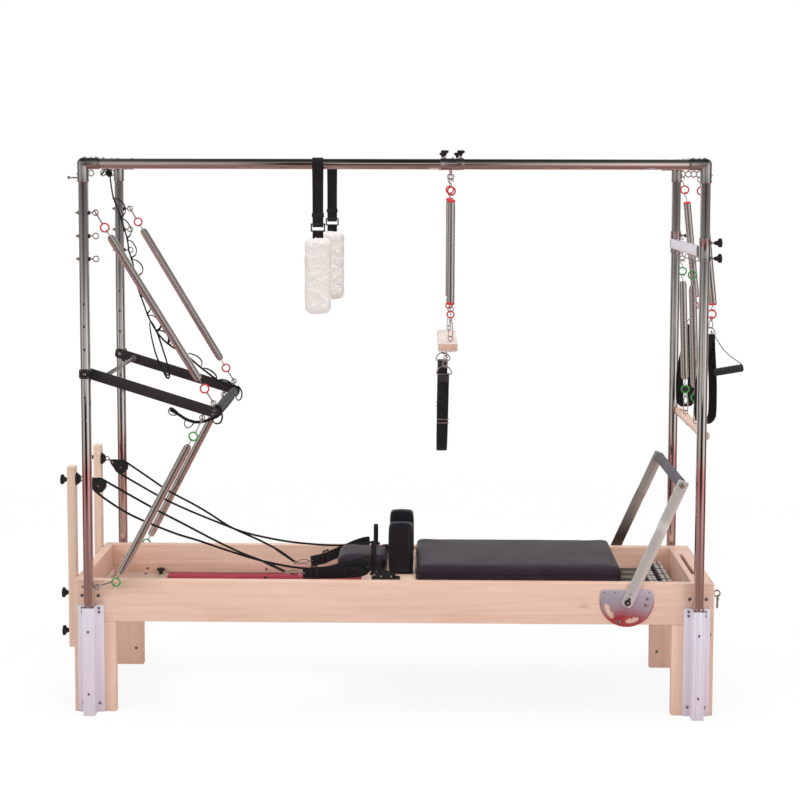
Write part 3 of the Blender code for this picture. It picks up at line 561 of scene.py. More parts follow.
def tube_steel(name, grain="Z", base=(0.60, 0.575, 0.55), low=(0.60, 0.51, 0.48), rough=0.075, painted_reflection_from=0.95):
    """Polished stainless tube with faint drawing lines and hand marks, and a painted warm reflection towards its lower
    end.
    """
    m = Mat(name, Metallic=1.0)
    long = {"X": 0, "Y": 1, "Z": 2}[grain]
    s = [160.0] * 3
    s[long] = 1.5
    lines = m.noise(m.where(tuple(s)), 1.5, 3, 0.6)
    smudge = m.noise(m.where((1, 1, 1)), 9, 4, 0.6, 0.5)
    # painted reflection: below the given height the colour blends into the warm low tint, standing in for the reddish
    # reflection low on the posts
    z = m.node("ShaderNodeSeparateXYZ", {0: m.where()}).outputs[2]
    warm = m.span(z, painted_reflection_from + 0.35, painted_reflection_from - 0.6, 0, 1)
    colour = m.mix(warm, base, low)
    colour = m.mix(m.span(smudge, 0.35, 0.7, 0, 0.25), colour, scaled(base, 0.82))
    colour = m.mix(m.math("MULTIPLY", m.edges(0.53, 0.62), 0.5), colour, (0.78, 0.77, 0.76))
    m.set("Base Color", colour)
    m.set("Roughness", m.math("ADD", m.span(lines, 0.3, 0.7, rough - 0.02, rough + 0.03),
                              m.span(smudge, 0.45, 0.75, 0, 0.03)))
    m.set("Normal", m.bump(lines, 0.05, 0.0004))
    return m.m


def metal(name, base, rough, grain=None, brush=90.0, spread=0.08, dirt=0.2, bump=0.06, metallic=1.0,
          fade=None):
    """A metal with brushing along one axis, or none, and dulled patches."""
    m = Mat(name, Metallic=metallic)
    s = [brush] * 3
    if grain:
        s[{"X": 0, "Y": 1, "Z": 2}[grain]] = 1.2
    lines = m.noise(m.where(tuple(s)), 4.0 if grain else 2.0, 4, 0.65)
    patch = m.noise(m.where((1, 1, 1)), 14, 4, 0.6, 0.4)
    colour = m.mix(m.span(patch, 0.35, 0.7, 0, dirt), base, scaled(base, 0.62))
    colour = m.mix(m.span(lines, 0.3, 0.7, 0, 0.18), colour, scaled(base, 1.18))
    colour = m.mix(m.math("MULTIPLY", m.edges(0.53, 0.62), 0.6), colour, scaled(base, 1.45))
    # painted shade: with fade, the colour blends to a dark tint towards the bottom
    if fade:
        z = m.node("ShaderNodeSeparateXYZ", {0: m.where()}).outputs[2]
        colour = m.mix(m.span(z, fade[0], fade[1], 0, 1), colour, fade[2])
    m.set("Base Color", colour)
    m.set("Roughness", m.span(m.math("ADD", lines, patch), 0.7, 1.3, rough - spread / 2, rough + spread))
    m.set("Normal", m.bump(lines, bump, 0.0004))
    return m.m


def plastic(name, base, rough=0.45, grain=900.0, bump=0.10, edge=0.35, spec=0.45):
    """Moulded plastic or paint with a fine grain, lighter on rubbed edges."""
    m = Mat(name)
    fine = m.noise(m.where(), grain, 2, 0.5)
    patch = m.noise(m.where(), 22, 4, 0.6, 0.3)
    colour = m.mix(m.span(patch, 0.35, 0.7, 0, 0.5), base, scaled(base, 1.6) if max(base) < 0.3 else scaled(base, 0.86))
    colour = m.mix(m.math("MULTIPLY", m.edges(0.53, 0.63), edge), colour,
                   tuple(min(1, v * 1.6 + 0.05) for v in base))
    m.set("Base Color", colour)
    m.set("Roughness", m.span(m.math("ADD", fine, patch), 0.7, 1.3, rough - 0.07, rough + 0.10))
    m.set("Specular IOR Level", spec)
    m.set("Normal", m.bump(fine, bump, 0.0002))
    return m.m


def vinyl(name, base=(0.045, 0.042, 0.050), rough=0.46, spec=0.5):
    """Upholstery vinyl with an embossed leather grain and soft creases."""
    m = Mat(name)
    grain = m.cells(m.where(), 620, "DISTANCE_TO_EDGE")
    pores = m.noise(m.where(), 1500, 2, 0.5)
    soft = m.noise(m.where(), 7, 4, 0.55, 0.4)
    crease = m.noise(m.where((3, 3, 8)), 6, 3, 0.6, 1.2)
    colour = m.mix(m.span(soft, 0.3, 0.7, 0, 1), scaled(base, 0.82), scaled(base, 1.25))
    # painted shade: darker in the grooves of the grain
    colour = m.mix(m.span(grain, 0.0, 0.10, 0.35, 0), colour, scaled(base, 0.45))
    colour = m.mix(m.math("MULTIPLY", m.edges(0.52, 0.60), 0.3), colour, scaled(base, 2.2))
    m.set("Base Color", colour)
    m.set("Roughness", m.math("ADD", m.span(soft, 0.3, 0.7, rough - 0.05, rough + 0.05),
                              m.span(grain, 0, 0.1, 0.10, 0)))
    m.set("Specular IOR Level", spec)
    m.set("Sheen Weight", 0.04)
    m.set("Sheen Roughness", 0.5)
    h = m.math("ADD", m.span(grain, 0, 0.12, 0, 1), m.math("MULTIPLY", pores, 0.3))
    n = m.bump(h, 0.22, 0.0004)
    m.set("Normal", m.bump(crease, 0.10, 0.004, n))
    return m.m


def foam(name, base=(0.085, 0.085, 0.095), rough=0.78):
    """Foam rubber sleeve with open pores."""
    m = Mat(name)
    pores = m.cells(m.where(), 900)
    fine = m.noise(m.where(), 420, 4, 0.7)
    patch = m.noise(m.where(), 12, 3, 0.5)
    colour = m.mix(m.span(patch, 0.3, 0.7, 0, 1), scaled(base, 0.85), scaled(base, 1.2))
    # painted shade: darker in the pores
    colour = m.mix(m.span(pores, 0.1, 0.4, 0.6, 0), colour, scaled(base, 0.4))
    m.set("Base Color", colour)
    m.set("Roughness", m.span(fine, 0.3, 0.7, rough - 0.06, rough + 0.1))
    m.set("Specular IOR Level", 0.25)
    m.set("Sheen Weight", 0.12)
    m.set("Normal", m.bump(m.math("ADD", pores, fine), 0.28, 0.0004))
    return m.m


def webbing(name, base=(0.0095, 0.0088, 0.0105), rib=0.0021):
    """Woven strap: ribs across its width, yarns along it."""
    m = Mat(name)
    k = 2 * pi / 20 / rib
    across = m.bands(m.where(source="along"), k, "X")
    yarns = m.bands(m.where((1, 1, 1), "along"), 2 * pi / 20 / 0.0014, "Y")
    diag = m.bands(m.where((1, 1, 1), "along", rotation=(0, 0, 0.7)), 2 * pi / 20 / 0.0018, "X")
    fuzz = m.noise(m.where(), 1400, 2, 0.6)
    patch = m.noise(m.where(), 20, 3, 0.5)
    weave = m.math("ADD", m.math("MULTIPLY", across, 0.6), m.math("ADD", m.math("MULTIPLY", yarns, 0.35),
                                                                   m.math("MULTIPLY", diag, 0.25)))
    # painted shade and painted highlight: darker in the weave's hollows, lighter on its ribs
    colour = m.mix(m.span(weave, 0.2, 0.9, 0, 1), scaled(base, 0.4), scaled(base, 1.7))
    colour = m.mix(m.span(patch, 0.35, 0.7, 0, 0.45), colour, scaled(base, 2.3))
    colour = m.mix(m.math("MULTIPLY", m.edges(0.52, 0.62), 0.3), colour, scaled(base, 3.5))
    m.set("Base Color", colour)
    m.set("Roughness", m.span(fuzz, 0.3, 0.7, 0.68, 0.85))
    m.set("Specular IOR Level", 0.25)
    m.set("Sheen Weight", 0.05)
    m.set("Sheen Roughness", 0.4)
    m.set("Normal", m.bump(m.math("ADD", weave, m.math("MULTIPLY", fuzz, 0.3)), 0.5, 0.0004))
    return m.m


def braid(name, base=(0.0085, 0.0080, 0.0090), pitch=0.0052):
    """Braided rope: two crossing sets of strands."""
    m = Mat(name)
    k = 2 * pi / 20 / pitch
    a = m.bands(m.where((1, 1.2, 1), "along", rotation=(0, 0, 0.75)), k, "X")
    b = m.bands(m.where((1, 1.2, 1), "along", rotation=(0, 0, -0.75)), k, "X")
    fibre = m.noise(m.where((1, 6, 1), "along"), 700, 3, 0.6)
    strands = m.math("MAXIMUM", a, b)
    # painted shade and painted highlight: darker between the strands, lighter on their crowns
    colour = m.mix(m.span(strands, 0.4, 1.0, 0, 1), scaled(base, 0.35), scaled(base, 1.8))
    colour = m.mix(m.span(fibre, 0.5, 0.75, 0, 0.4), colour, scaled(base, 3.0))
    m.set("Base Color", colour)
    m.set("Roughness", m.span(fibre, 0.3, 0.7, 0.6, 0.8))
    m.set("Specular IOR Level", 0.3)
    m.set("Sheen Weight", 0.05)
    m.set("Normal", m.bump(m.math("ADD", strands, m.math("MULTIPLY", fibre, 0.25)), 0.7, 0.0008))
    return m.m


def fleece_mat(name):
    """Cream curly fleece."""
    m = Mat(name)
    curls = m.cells(m.where(), 260, "SMOOTH_F1")
    small = m.noise(m.where(), 800, 3, 0.6, 1.5)
    patch = m.noise(m.where(), 18, 4, 0.6)
    colour = m.mix(m.span(curls, 0.1, 0.75, 0, 1), (0.93, 0.885, 0.855), (0.76, 0.70, 0.67))
    colour = m.mix(m.span(patch, 0.4, 0.7, 0, 0.4), colour, (0.86, 0.80, 0.74))
    m.set("Base Color", colour)
    m.set("Roughness", m.span(small, 0.3, 0.7, 0.88, 1.0))
    m.set("Specular IOR Level", 0.15)
    m.set("Sheen Weight", 0.35)
    m.set("Sheen Roughness", 0.6)
    m.set("Subsurface Weight", 0.08)
    m.set("Subsurface Radius", (0.004, 0.003, 0.002))
    m.set("Normal", m.bump(m.math("ADD", curls, m.math("MULTIPLY", small, 0.5)), 0.55, 0.0016))
    return m.m


def track_mat(name):
    """Crimson coated track with rub marks from the wheels."""
    m = Mat(name)
    rub = m.noise(m.where((2, 160, 160)), 3, 4, 0.6)
    patch = m.noise(m.where(), 8, 4, 0.6)
    colour = m.mix(m.span(patch, 0.3, 0.7, 0, 1), (0.34, 0.035, 0.060), (0.42, 0.055, 0.085))
    colour = m.mix(m.span(rub, 0.5, 0.75, 0, 0.3), colour, (0.52, 0.12, 0.15))
    m.set("Base Color", colour)
    m.set("Roughness", m.span(rub, 0.3, 0.7, 0.3, 0.45))
    m.set("Normal", m.bump(rub, 0.08, 0.0003))
    return m.m


# of the two marks on the near rail, the one at x -1.02 is a painted shadow of the lower push spring; the one at x 0.70
# is a darker spot
WOOD_X = maple("maple_along_x", "X", marks=[((0.700, -0.315, 0.424), 0.022, (0.7, 1, 1.6)),
                                            ((-1.02, -0.315, 0.500), 0.05, (0.35, 1, 1.4))])
WOOD_Y = maple("maple_along_y", "Y", seed=3.1)
WOOD_Z = maple("maple_along_z", "Z", light=(0.76, 0.515, 0.415), seed=5.7)
WOOD_PALE = maple("maple_pale", "Y", light=(0.84, 0.63, 0.52), dark=(0.74, 0.51, 0.40), seed=8.3)
# painted light: the trapeze bar's wood is greyed and lightened for the sheen on its lit top, and its end plates take a
# darker copy as painted shade
TRAPEZE_WOOD_PAINTED_SHEEN = maple("trapeze_wood_painted_sheen", "Y", light=(0.70, 0.66, 0.65), dark=(0.61, 0.56, 0.55), seed=6.1)
TRAPEZE_END_PAINTED_SHADE = maple("trapeze_end_painted_shade", "Z", light=(0.62, 0.41, 0.335), dark=(0.55, 0.34, 0.265), seed=7.9)
# painted shade: a dark brown copy of the maple for the surfaces deep inside the bed
WOOD_PAINTED_SHADE = maple("deck_board_painted_shade", "X", light=(0.42, 0.33, 0.28), dark=(0.31, 0.23, 0.19), seed=2.2)
STEEL_Z = tube_steel("tube_upright", "Z")
STEEL_X = tube_steel("tube_lengthwise", "X", base=(0.54, 0.50, 0.475), painted_reflection_from=0.2)
STEEL_Y = tube_steel("tube_crosswise", "Y", painted_reflection_from=0.2)
FITTING = metal("cast_fitting", (0.50, 0.49, 0.48), 0.20, None, 60, dirt=0.3)
CHROME = metal("bright_hardware", (0.66, 0.645, 0.63), 0.16, None, 120, dirt=0.3)
SCREW = metal("screw_steel", (0.42, 0.40, 0.39), 0.30, None, 200, dirt=0.5)
ALU = metal("satin_extrusion", (0.84, 0.79, 0.93), 0.42, "Z", 240, dirt=0.10, bump=0.04, metallic=0.40)
ALU_Y = metal("satin_bar", (0.64, 0.62, 0.70), 0.34, "Y", 240, dirt=0.10, bump=0.04, metallic=0.55)
PLATE = metal("ground_plate", (0.62, 0.585, 0.66), 0.33, "X", 200, dirt=0.3)
# painted shade: a darker copy of the flat bar for the far arm, turning brown towards its base
FLAT_BAR_FAR_PAINTED_SHADE = metal("brushed_flat_bar_far_painted_shade", (0.62, 0.59, 0.565), 0.30, None, 260, dirt=0.20, metallic=0.75,
                     fade=(0.74, 0.56, (0.10, 0.075, 0.070)))
FLAT_BAR = metal("brushed_flat_bar", (0.80, 0.77, 0.735), 0.30, None, 260, dirt=0.20, metallic=0.60)
NICKEL = metal("spring_wire", (0.62, 0.585, 0.56), 0.17, None, 140, dirt=0.06, bump=0.01, metallic=0.96)
BLACK = plastic("black_plastic", (0.0095, 0.0095, 0.0105), 0.42)
BLACK_COAT = plastic("black_coating", (0.028, 0.024, 0.027), 0.50, 1300, 0.16, 0.3, 0.4)
RUBBER = plastic("wheel_tread", (0.035, 0.035, 0.037), 0.62, 700, 0.14, 0.2, 0.3)
GREY_ROD = metal("grey_rod", (0.24, 0.225, 0.235), 0.38, "Y", 160, metallic=0.8)
# two copies of one vinyl: the lighter one matched to the lit tops, painted sheen; the darker one matched to the shaded
# sides, painted shade
PAD_COVER_PAINTED_SHEEN = vinyl("pad_cover_painted_sheen", (0.028, 0.0190, 0.0285), 0.46, 0.34)
PAD_COVER_PAINTED_SHADE = vinyl("pad_cover_painted_shade", (0.0105, 0.0090, 0.0125), 0.42, 0.34)
FOAM = foam("foam_grip", (0.10, 0.098, 0.112))
FOAM_DARK = foam("foam_grip_dark", (0.030, 0.028, 0.031))
WEB = webbing("woven_strap")
ROPE = braid("braided_rope")
ELASTIC = webbing("elastic_strap", (0.0085, 0.0080, 0.0090), 0.0014)
FLEECE = fleece_mat("curly_fleece")
TRACK = track_mat("track_coating")
RED = plastic("red_ring", (0.66, 0.035, 0.032), 0.35, 600, 0.05, 0.3)
GREEN = plastic("green_ring", (0.055, 0.33, 0.06), 0.35, 600, 0.05, 0.3)


# =====================================================================
# Small hardware, added to a part
# =====================================================================
def eyebolt(p, c, normal, toward, major=0.0105, minor=0.0023, shank=0.022, mat=0, washer=None):
    """A ring at c lying in the plane across normal, with a shank leaving it along toward."""
    c, t = Vector(c), unit(toward)
    p.ring(c, normal, major, minor, mat)
    p.lathe([(0, 0), (0.0030, 0), (0.0026, 0.003), (0.0026, 0.006), (0.0030, 0.0065), (0.0030, shank), (0, shank)],
            c + t * (major - 0.001), t, 14, mat)


def hex_nut(p, c, axis, flats=0.010, h=0.005, mat=0):
    r = flats / 2 / cos(pi / 6)
    p.lathe([(0, 0), (r * 0.86, 0), (r, h * 0.15), (r, h * 0.85), (r * 0.86, h), (0, h)], c, axis, 6, mat)


def washer(p, c, axis, r, h, mat=0, seg=20):
    p.lathe([(0, 0), (r - 0.0004, 0), (r, 0.0004), (r, h - 0.0004), (r - 0.0004, h), (0, h)], c, axis, seg, mat)


def screw(p, c, axis, r=0.0045, h=0.0022, mat=0, dark=1):
    """A domed head with a socket in it."""
    p.lathe([(0, 0), (r, 0), (r, h * 0.4), (r * 0.82, h * 0.85), (r * 0.5, h), (r * 0.42, h), (r * 0.40, h * 0.35),
             (0, h * 0.35)], c, axis, 18, mat)


def star_knob(p, base, axis, r=0.018, h=0.026, lobes=5, mat=0, stem=0.0, stem_mat=1):
    """A lobed clamping knob standing on base."""
    base, axis = Vector(base), unit(axis)
    if stem:
        p.rod(base, base + axis * (stem + 0.004), 0.0032, stem_mat, 12)
        base = base + axis * stem
    e1 = side_of(axis)
    e2 = axis.cross(e1)
    n = lobes * 8
    rows = [(0.36, 0.0, 0.0), (0.40, 0.0, 0.10), (0.46, 0.0, 0.34), (0.62, 0.3, 0.46), (0.93, 1.0, 0.56),
            (1.0, 1.0, 0.66), (1.0, 1.0, 0.84), (0.92, 1.0, 0.95), (0.6, 0.5, 1.0), (0.3, 0.0, 1.0)]
    pts = []
    for k, wave, z in rows:
        for i in range(n):
            t = 2 * pi * i / n
            dip = 0.5 - 0.5 * cos(lobes * t)
            q = r * k * (1 - 0.24 * wave * dip ** 1.6)
            pts.append(base + axis * (h * z) + (e1 * cos(t) + e2 * sin(t)) * q)
    faces = [(a * n + i, a * n + (i + 1) % n, (a + 1) * n + (i + 1) % n, (a + 1) * n + i)
             for a in range(len(rows) - 1) for i in range(n)]
    faces += [tuple(reversed(range(n))), tuple(range((len(rows) - 1) * n, len(rows) * n))]
    p.add(pts, faces, None, mat)


def link(p, a, b, wire=0.0019, mat=0, gap=0.0075, up=None):
    """A long closed wire link from a to b, as a spring's end hook."""
    a, b = Vector(a), Vector(b)
    t = unit(b - a)
    s = side_of(t, up)
    n = (b - a).length
    w = min(gap, n * 0.3)
    pts = [a + t * w + s * w * 0.9, a + t * (w * 0.35) + s * w * 0.62, a, a + t * (w * 0.35) - s * w * 0.62,
           a + t * w - s * w * 0.9, b - t * w - s * w * 0.55, b - t * (w * 0.3) - s * w * 0.4, b,
           b - t * (w * 0.3) + s * w * 0.4, b - t * w + s * w * 0.55]
    p.sweep(smooth_path(pts, 36, True), circle(wire, 8), mat, closed=True)


def hook(p, eye, end, wire=0.0019, mat=0, curl=0.0075, up=None):
    """A wire that curls round the point eye and runs straight to end."""
    eye, end = Vector(eye), Vector(end)
    t = unit(end - eye)
    s = side_of(t, up)
    pts = [eye + s * (curl * cos(rad(a))) + t * (curl * sin(rad(a))) for a in (-60, -95, -135, -180, -225, -262)]
    pts = [eye + t * (curl * 0.55) + s * curl * 0.98, eye + s * curl + t * 0.001,
           eye + s * curl * 0.75 - t * curl * 0.65, eye - t * curl, eye - s * curl * 0.78 - t * curl * 0.6,
           eye - s * curl + t * 0.0015, eye - s * curl * 0.55 + t * curl * 0.95, eye + t * curl * 1.8]
    pts += [eye.lerp(end, 0.6), end] if (end - eye).length > curl * 3 else [end]
    p.sweep(smooth_path(pts, 34), circle(wire, 8), mat)


def snap_hook(p, a, b, up=(0, 0, 1), r=0.0085, wire=0.0022, mat=0, gate=0):
    """A swivel snap hook: an eye at a, a bow with a gate reaching b."""
    a, b = Vector(a), Vector(b)
    t = unit(b - a)
    s = side_of(t, up)
    n = (b - a).length
    p.ring(a, t.cross(s), r * 0.72, wire * 0.9, mat)
    neck = a + t * (r * 0.72)
    p.lathe([(0, 0), (wire * 1.9, 0), (wire * 2.2, 0.001), (wire * 2.2, 0.004), (wire * 1.5, 0.006), (0, 0.006)],
            neck, t, 16, mat)
    c0 = neck + t * 0.005
    m = b - t * r
    pts = [c0, c0 + s * r * 0.6 + t * 0.003, c0 + s * r + t * 0.008, m + s * r, m + s * r * 0.72 + t * r * 0.7,
           b, m - s * r * 0.75 + t * r * 0.66, m - s * r - t * 0.001]
    p.sweep(smooth_path(pts, 30), circle(wire, 8), mat)
    p.rod(m - s * r - t * 0.001, c0 - s * r * 0.55 + t * 0.003, wire * 0.8, gate, 10)
    p.sweep([c0 - s * r * 0.72 + t * 0.002, c0], circle(wire * 0.9, 8), mat)


def d_ring(p, top, width, drop, axis, down=(0, 0, -1), wire=0.0018, mat=0):
    """A D-shaped ring: straight side along axis, bow up to top."""
    top, ax, dn = Vector(top), unit(axis), unit(down)
    w = width / 2
    pts = [top, top + ax * w * 0.62 + dn * drop * 0.20, top + ax * w * 0.95 + dn * drop * 0.6,
           top + ax * w + dn * drop * 0.92, top + ax * w * 0.8 + dn * drop, top + dn * drop,
           top - ax * w * 0.8 + dn * drop, top - ax * w + dn * drop * 0.92,
           top - ax * w * 0.95 + dn * drop * 0.6, top - ax * w * 0.62 + dn * drop * 0.20]
    p.sweep(smooth_path(pts, 44, True), circle(wire, 8), mat, closed=True)


def spring_line(p, a, b, coil_a, coil_b, ring_a=None, ring_b=None, up=(0, 1, 0), radius=0.0140, wire=0.0014,
                nickel=0, hard=1, colour=2, ring_r=0.0160, ring_w=0.0031, curl=0.0078):
    """A running spring from an eye at a to one at b: end hooks, coloured rings and the coil."""
    a, b = Vector(a), Vector(b)
    t = unit(b - a)
    n = (b - a).length
    ca, cb = a + t * coil_a, b - t * coil_b
    p.coil(ca, cb, radius, wire, mat=nickel, taper=7.0)
    for end, c, at, sgn in ((a, ca, ring_a, 1), (b, cb, ring_b, -1)):
        d = t * sgn
        if at is None:
            hook(p, end, c + d * 0.006, 0.0019, hard, curl, up)
            continue
        r = end + d * at
        p.ring(r, up, ring_r, ring_w, colour)
        inner = r - d * (ring_r - 0.001)
        if at > 0.05:
            snap_hook(p, end - d * 0.004, inner, up, 0.0078, 0.0020, hard, hard)
        else:
            hook(p, end, inner, 0.0019, hard, curl, up)
        hook(p, r + d * (ring_r + 0.001), c + d * 0.008, 0.0019, hard, 0.0060, up)
    return ca, cb


# =====================================================================
# Cords: the two ropes and the elastic strap
# =====================================================================
PULLEY_Y = 0.240
PULLEY = {"near": (-1.137, 0.8673), "far": (-1.1426, 0.8515)}
ROPE_WRAP = 0.0270
ROPE_R = 0.0043
ROPE_UPPER = {
    "near": [(-0.426, 0.2180, 0.5300), (-0.487, 0.2199, 0.5610), (-0.589, 0.2231, 0.6014),
             (-0.693, 0.2263, 0.6519), (-0.819, 0.2301, 0.7193), (-0.915, 0.2333, 0.7700),
             (-1.027, 0.2365, 0.8340)],
    "far": [(-0.424, 0.2180, 0.4620), (-0.482, 0.2199, 0.5040), (-0.565, 0.2225, 0.5472),
            (-0.686, 0.2263, 0.6020), (-0.777, 0.2292, 0.6591), (-0.844, 0.2314, 0.6980),
            (-0.950, 0.2346, 0.7541), (-1.033, 0.2374, 0.8100)],
}
ROPE_LOWER = {
    "near": [(-1.109, 0.2369, 0.8096), (-1.030, 0.2283, 0.7564), (-0.945, 0.2192, 0.7145),
             (-0.843, 0.2093, 0.6717), (-0.760, 0.2020, 0.6446), (-0.656, 0.1934, 0.6068),
             (-0.522, 0.1836, 0.5632), (-0.387, 0.1756, 0.5344), (-0.286, 0.1707, 0.5302),
             (-0.190, 0.1670, 0.5528), (-0.098, 0.1655, 0.5770)],
    "far": [(-1.121, 0.2388, 0.8064), (-1.070, 0.2345, 0.7776), (-0.965, 0.2228, 0.7215),
            (-0.865, 0.2124, 0.6773), (-0.728, 0.1995, 0.6248), (-0.614, 0.1903, 0.5856),
            (-0.460, 0.1799, 0.5561), (-0.327, 0.1726, 0.5440), (-0.239, 0.1689, 0.5415),
            (-0.160, 0.1664, 0.5461), (-0.098, 0.1655, 0.5560)],
}
PEG = (-0.080, 0.150)
EYE_X = -1.115
EYE_Z = (1.922, 1.835, 1.749)


for s, side in SIDES:
    px, pz = PULLEY[side]
    last = 228 if s < 0 else 237
    wrap = [(px + ROPE_WRAP * cos(rad(t)), s * PULLEY_Y, pz + ROPE_WRAP * sin(rad(t)))
            for t in range(57, 239, 19 if s < 0 else 20)]
    fine = [Vector((px + ROPE_WRAP * cos(rad(t)), s * PULLEY_Y, pz + ROPE_WRAP * sin(rad(t))))
            for t in np.linspace(76 if s < 0 else 77, last - (19 if s < 0 else 20), 22)]
    upper = [(x, s * y, z) for x, y, z in ROPE_UPPER[side]]
    lower = [(x, s * y, z) for x, y, z in ROPE_LOWER[side]]
    path = (smooth_path(upper + wrap[:2], 76)[:-1] + fine
            + smooth_path(wrap[-2:] + lower, 108)[1:])
    rope = Part().sweep(path, circle(ROPE_R, 12), up=(0, 1, 0)).object(f"rope_{side}_line", [ROPE])
    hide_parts(f"rope_{side}")

    # sleeve and snap hook on the upper run's end, eye splice round the peg on the other
    p = Part()
    end, inner = Vector(path[0]), Vector(path[9])
    t = unit(end - inner)
    sleeve = [inner, inner.lerp(end, 0.35), inner.lerp(end, 0.7), end + t * 0.004]
    p.sweep(smooth_path(sleeve, 12), circle(0.0054, 14), 0, up=(0, 1, 0),
            scale=lambda k: 0.80 + 0.2 * min(1, 5 * k, 5 * (1 - k) + 0.5))
    ring_at = Vector((-0.3635, s * 0.2175, 0.521 if s < 0 else 0.4635))
    snap_hook(p, end + t * 0.010, ring_at, (0, 0, 1), 0.0082, 0.0021, 1)
    p.ring(end + t * 0.006, Vector((0, 1, 0)), 0.0048, 0.0017, 1)
    p.ring(ring_at + Vector((0.0105, 0, 0.0)), (0, 0.35, 1), 0.0132, 0.0019, 1, 32, 8)
    hook_piece = put(p, f"rope_{side}_snap", "carriage", [BLACK, CHROME])
    p = Part()
    z = lower[-1][2]
    p.ring((PEG[0], s * PEG[1], z), (0.05, 0.0, 1), 0.0135, 0.0038, 0, 30, 10)
    a = Vector(path[-1])
    b = Vector(path[-8])
    p.sweep(smooth_path([b, b.lerp(a, 0.4), a, a + unit(a - b) * 0.002], 10), circle(0.0050, 12), 1, up=(0, 1, 0))
    splice = put(p, f"rope_{side}_splice", "carriage", [ROPE, BLACK])
    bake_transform(rope)

ROUTE = [(-1.137, 0.055, 2.085), (-1.1385, 0.057, 2.050), (-1.1311, 0.070, 1.9785),
         (-1.1175, 0.080, 1.9343), (-1.1038, 0.090, 1.890), (-1.0839, 0.108, 1.809),
         (-1.0783, 0.118, 1.756), (-1.0649, 0.130, 1.7028), (-1.0562, 0.145, 1.6287),
         (-1.0322, 0.165, 1.5456), (-1.0086, 0.190, 1.4697), (-0.9749, 0.230, 1.3998),
         (-0.9362, 0.270, 1.3541), (-0.8869, 0.296, 1.3217), (-0.8291, 0.300, 1.2711),
         (-0.7705, 0.298, 1.2255), (-0.7192, 0.290, 1.193), (-0.690, 0.281, 1.1865)]
path = smooth_path(ROUTE, 150)
strap = Part().sweep(path, rounded(0.0104, 0.0048, 0.0022, 3), up=(0, 1, 0)).object("stretch_strap_line", [ELASTIC])
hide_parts("stretch_strap")
p = Part()
path_len = [0.0]
for a, b in zip(path, path[1:]):
    path_len.append(path_len[-1] + (b - a).length)
BAND = rounded(0.0122, 0.0034, 0.0014, 2)


def along_strap(d):
    for i in range(len(path) - 1):
        if path_len[i + 1] >= d:
            return path[i].lerp(path[i + 1], (d - path_len[i]) / (path_len[i + 1] - path_len[i]))
    return path[-1]


# sewn loops: each leaves the band and comes back to it lower down
rng = random.Random(11)
d = 0.118
while d < path_len[-1] - 0.05:
    reach = 0.070 + 0.016 * rng.random()
    a, b = along_strap(d), along_strap(min(d + reach, path_len[-1]))
    t = unit(b - a)
    flat = abs(t.z) < 0.75
    out = side_of(t, (0, 0, 1) if flat else (1, 0, 0.1))
    w = (0.014 if flat else 0.024) + 0.016 * rng.random()
    lean = Vector((0, -1, 0)) * (0.004 + 0.006 * rng.random())
    sag = t * (0.006 * rng.random())
    pts = [a, a.lerp(b, 0.16) + out * w * 0.60 + lean * 0.5, a.lerp(b, 0.50) + out * w + lean + sag,
           a.lerp(b, 0.84) + out * w * 0.78 + lean * 0.6 + sag, b + t * 0.004 + out * 0.003, b]
    p.sweep(smooth_path(pts, 24), BAND, 0, up=(0, 1, 0))
    p.sweep([a - t * 0.005, a + t * 0.005], rounded(0.0116, 0.0068, 0.0022, 2), 1, up=(0, 1, 0))
    d += reach + 0.004 + 0.010 * rng.random()
# the long loop that has slipped down
long_loop = [(-1.0086, 0.190, 1.4650), (-1.0060, 0.205, 1.400), (-0.9890, 0.228, 1.315), (-0.9640, 0.246, 1.250),
             (-0.9500, 0.252, 1.222), (-0.9410, 0.252, 1.230), (-0.9460, 0.244, 1.275), (-0.9640, 0.230, 1.345),
             (-0.9850, 0.210, 1.420)]
p.sweep(smooth_path(long_loop, 60, True), BAND, 0, closed=True, up=(0, 1, 0))
p.sweep(smooth_path([(-0.9790, 0.2300, 1.2850), (-0.9620, 0.2400, 1.2500), (-0.9470, 0.2460, 1.2350),
                     (-0.9360, 0.2480, 1.2420)], 16), BAND, 0, up=(0, 1, 0))
loops = p.object("stretch_strap_loops", [ELASTIC, WEB])
# the knot over the head bow, and the strap's turns round the push bar's grip
p = Part()
for k, (y0, y1) in enumerate(((0.046, 0.050), (0.053, 0.060), (0.061, 0.066))):
    n = 26
    pts = [(-1.160 + 0.0218 * cos(rad(-20 + 360 * i / n)), y0 + (y1 - y0) * i / n,
            2.106 + 0.0218 * sin(rad(-20 + 360 * i / n))) for i in range(n)]
    p.sweep(pts, rounded(0.0095, 0.0040, 0.0018, 2), 0, closed=True, up=(0, 1, 0))
p.sweep(smooth_path([(-1.1375, 0.050, 2.108), (-1.134, 0.056, 2.100), (-1.136, 0.055, 2.088)], 10),
        rounded(0.0100, 0.0050, 0.0020, 2), 0, up=(0, 1, 0))
knot_c = Vector((-1.1440, 0.054, 2.0700))
for k, nrm in enumerate(((1, 0.3, 0.2), (0.2, 1, 0.4), (-0.4, 0.5, 1), (0.7, -0.6, 0.6), (0.1, 0.7, -0.7))):
    nrm = unit(nrm)
    e1 = side_of(nrm)
    e2 = nrm.cross(e1)
    mid = knot_c + Vector((0.0030 * sin(k * 2.1), 0.0020 * cos(k * 1.7), 0.0030 * cos(k * 2.6)))
    pts = [mid + (e1 * cos(2 * pi * i / 22) * 0.0118 + e2 * sin(2 * pi * i / 22) * 0.0092) for i in range(22)]
    p.sweep(pts, rounded(0.0105, 0.0046, 0.0020, 2), 0, closed=True, up=tuple(nrm))
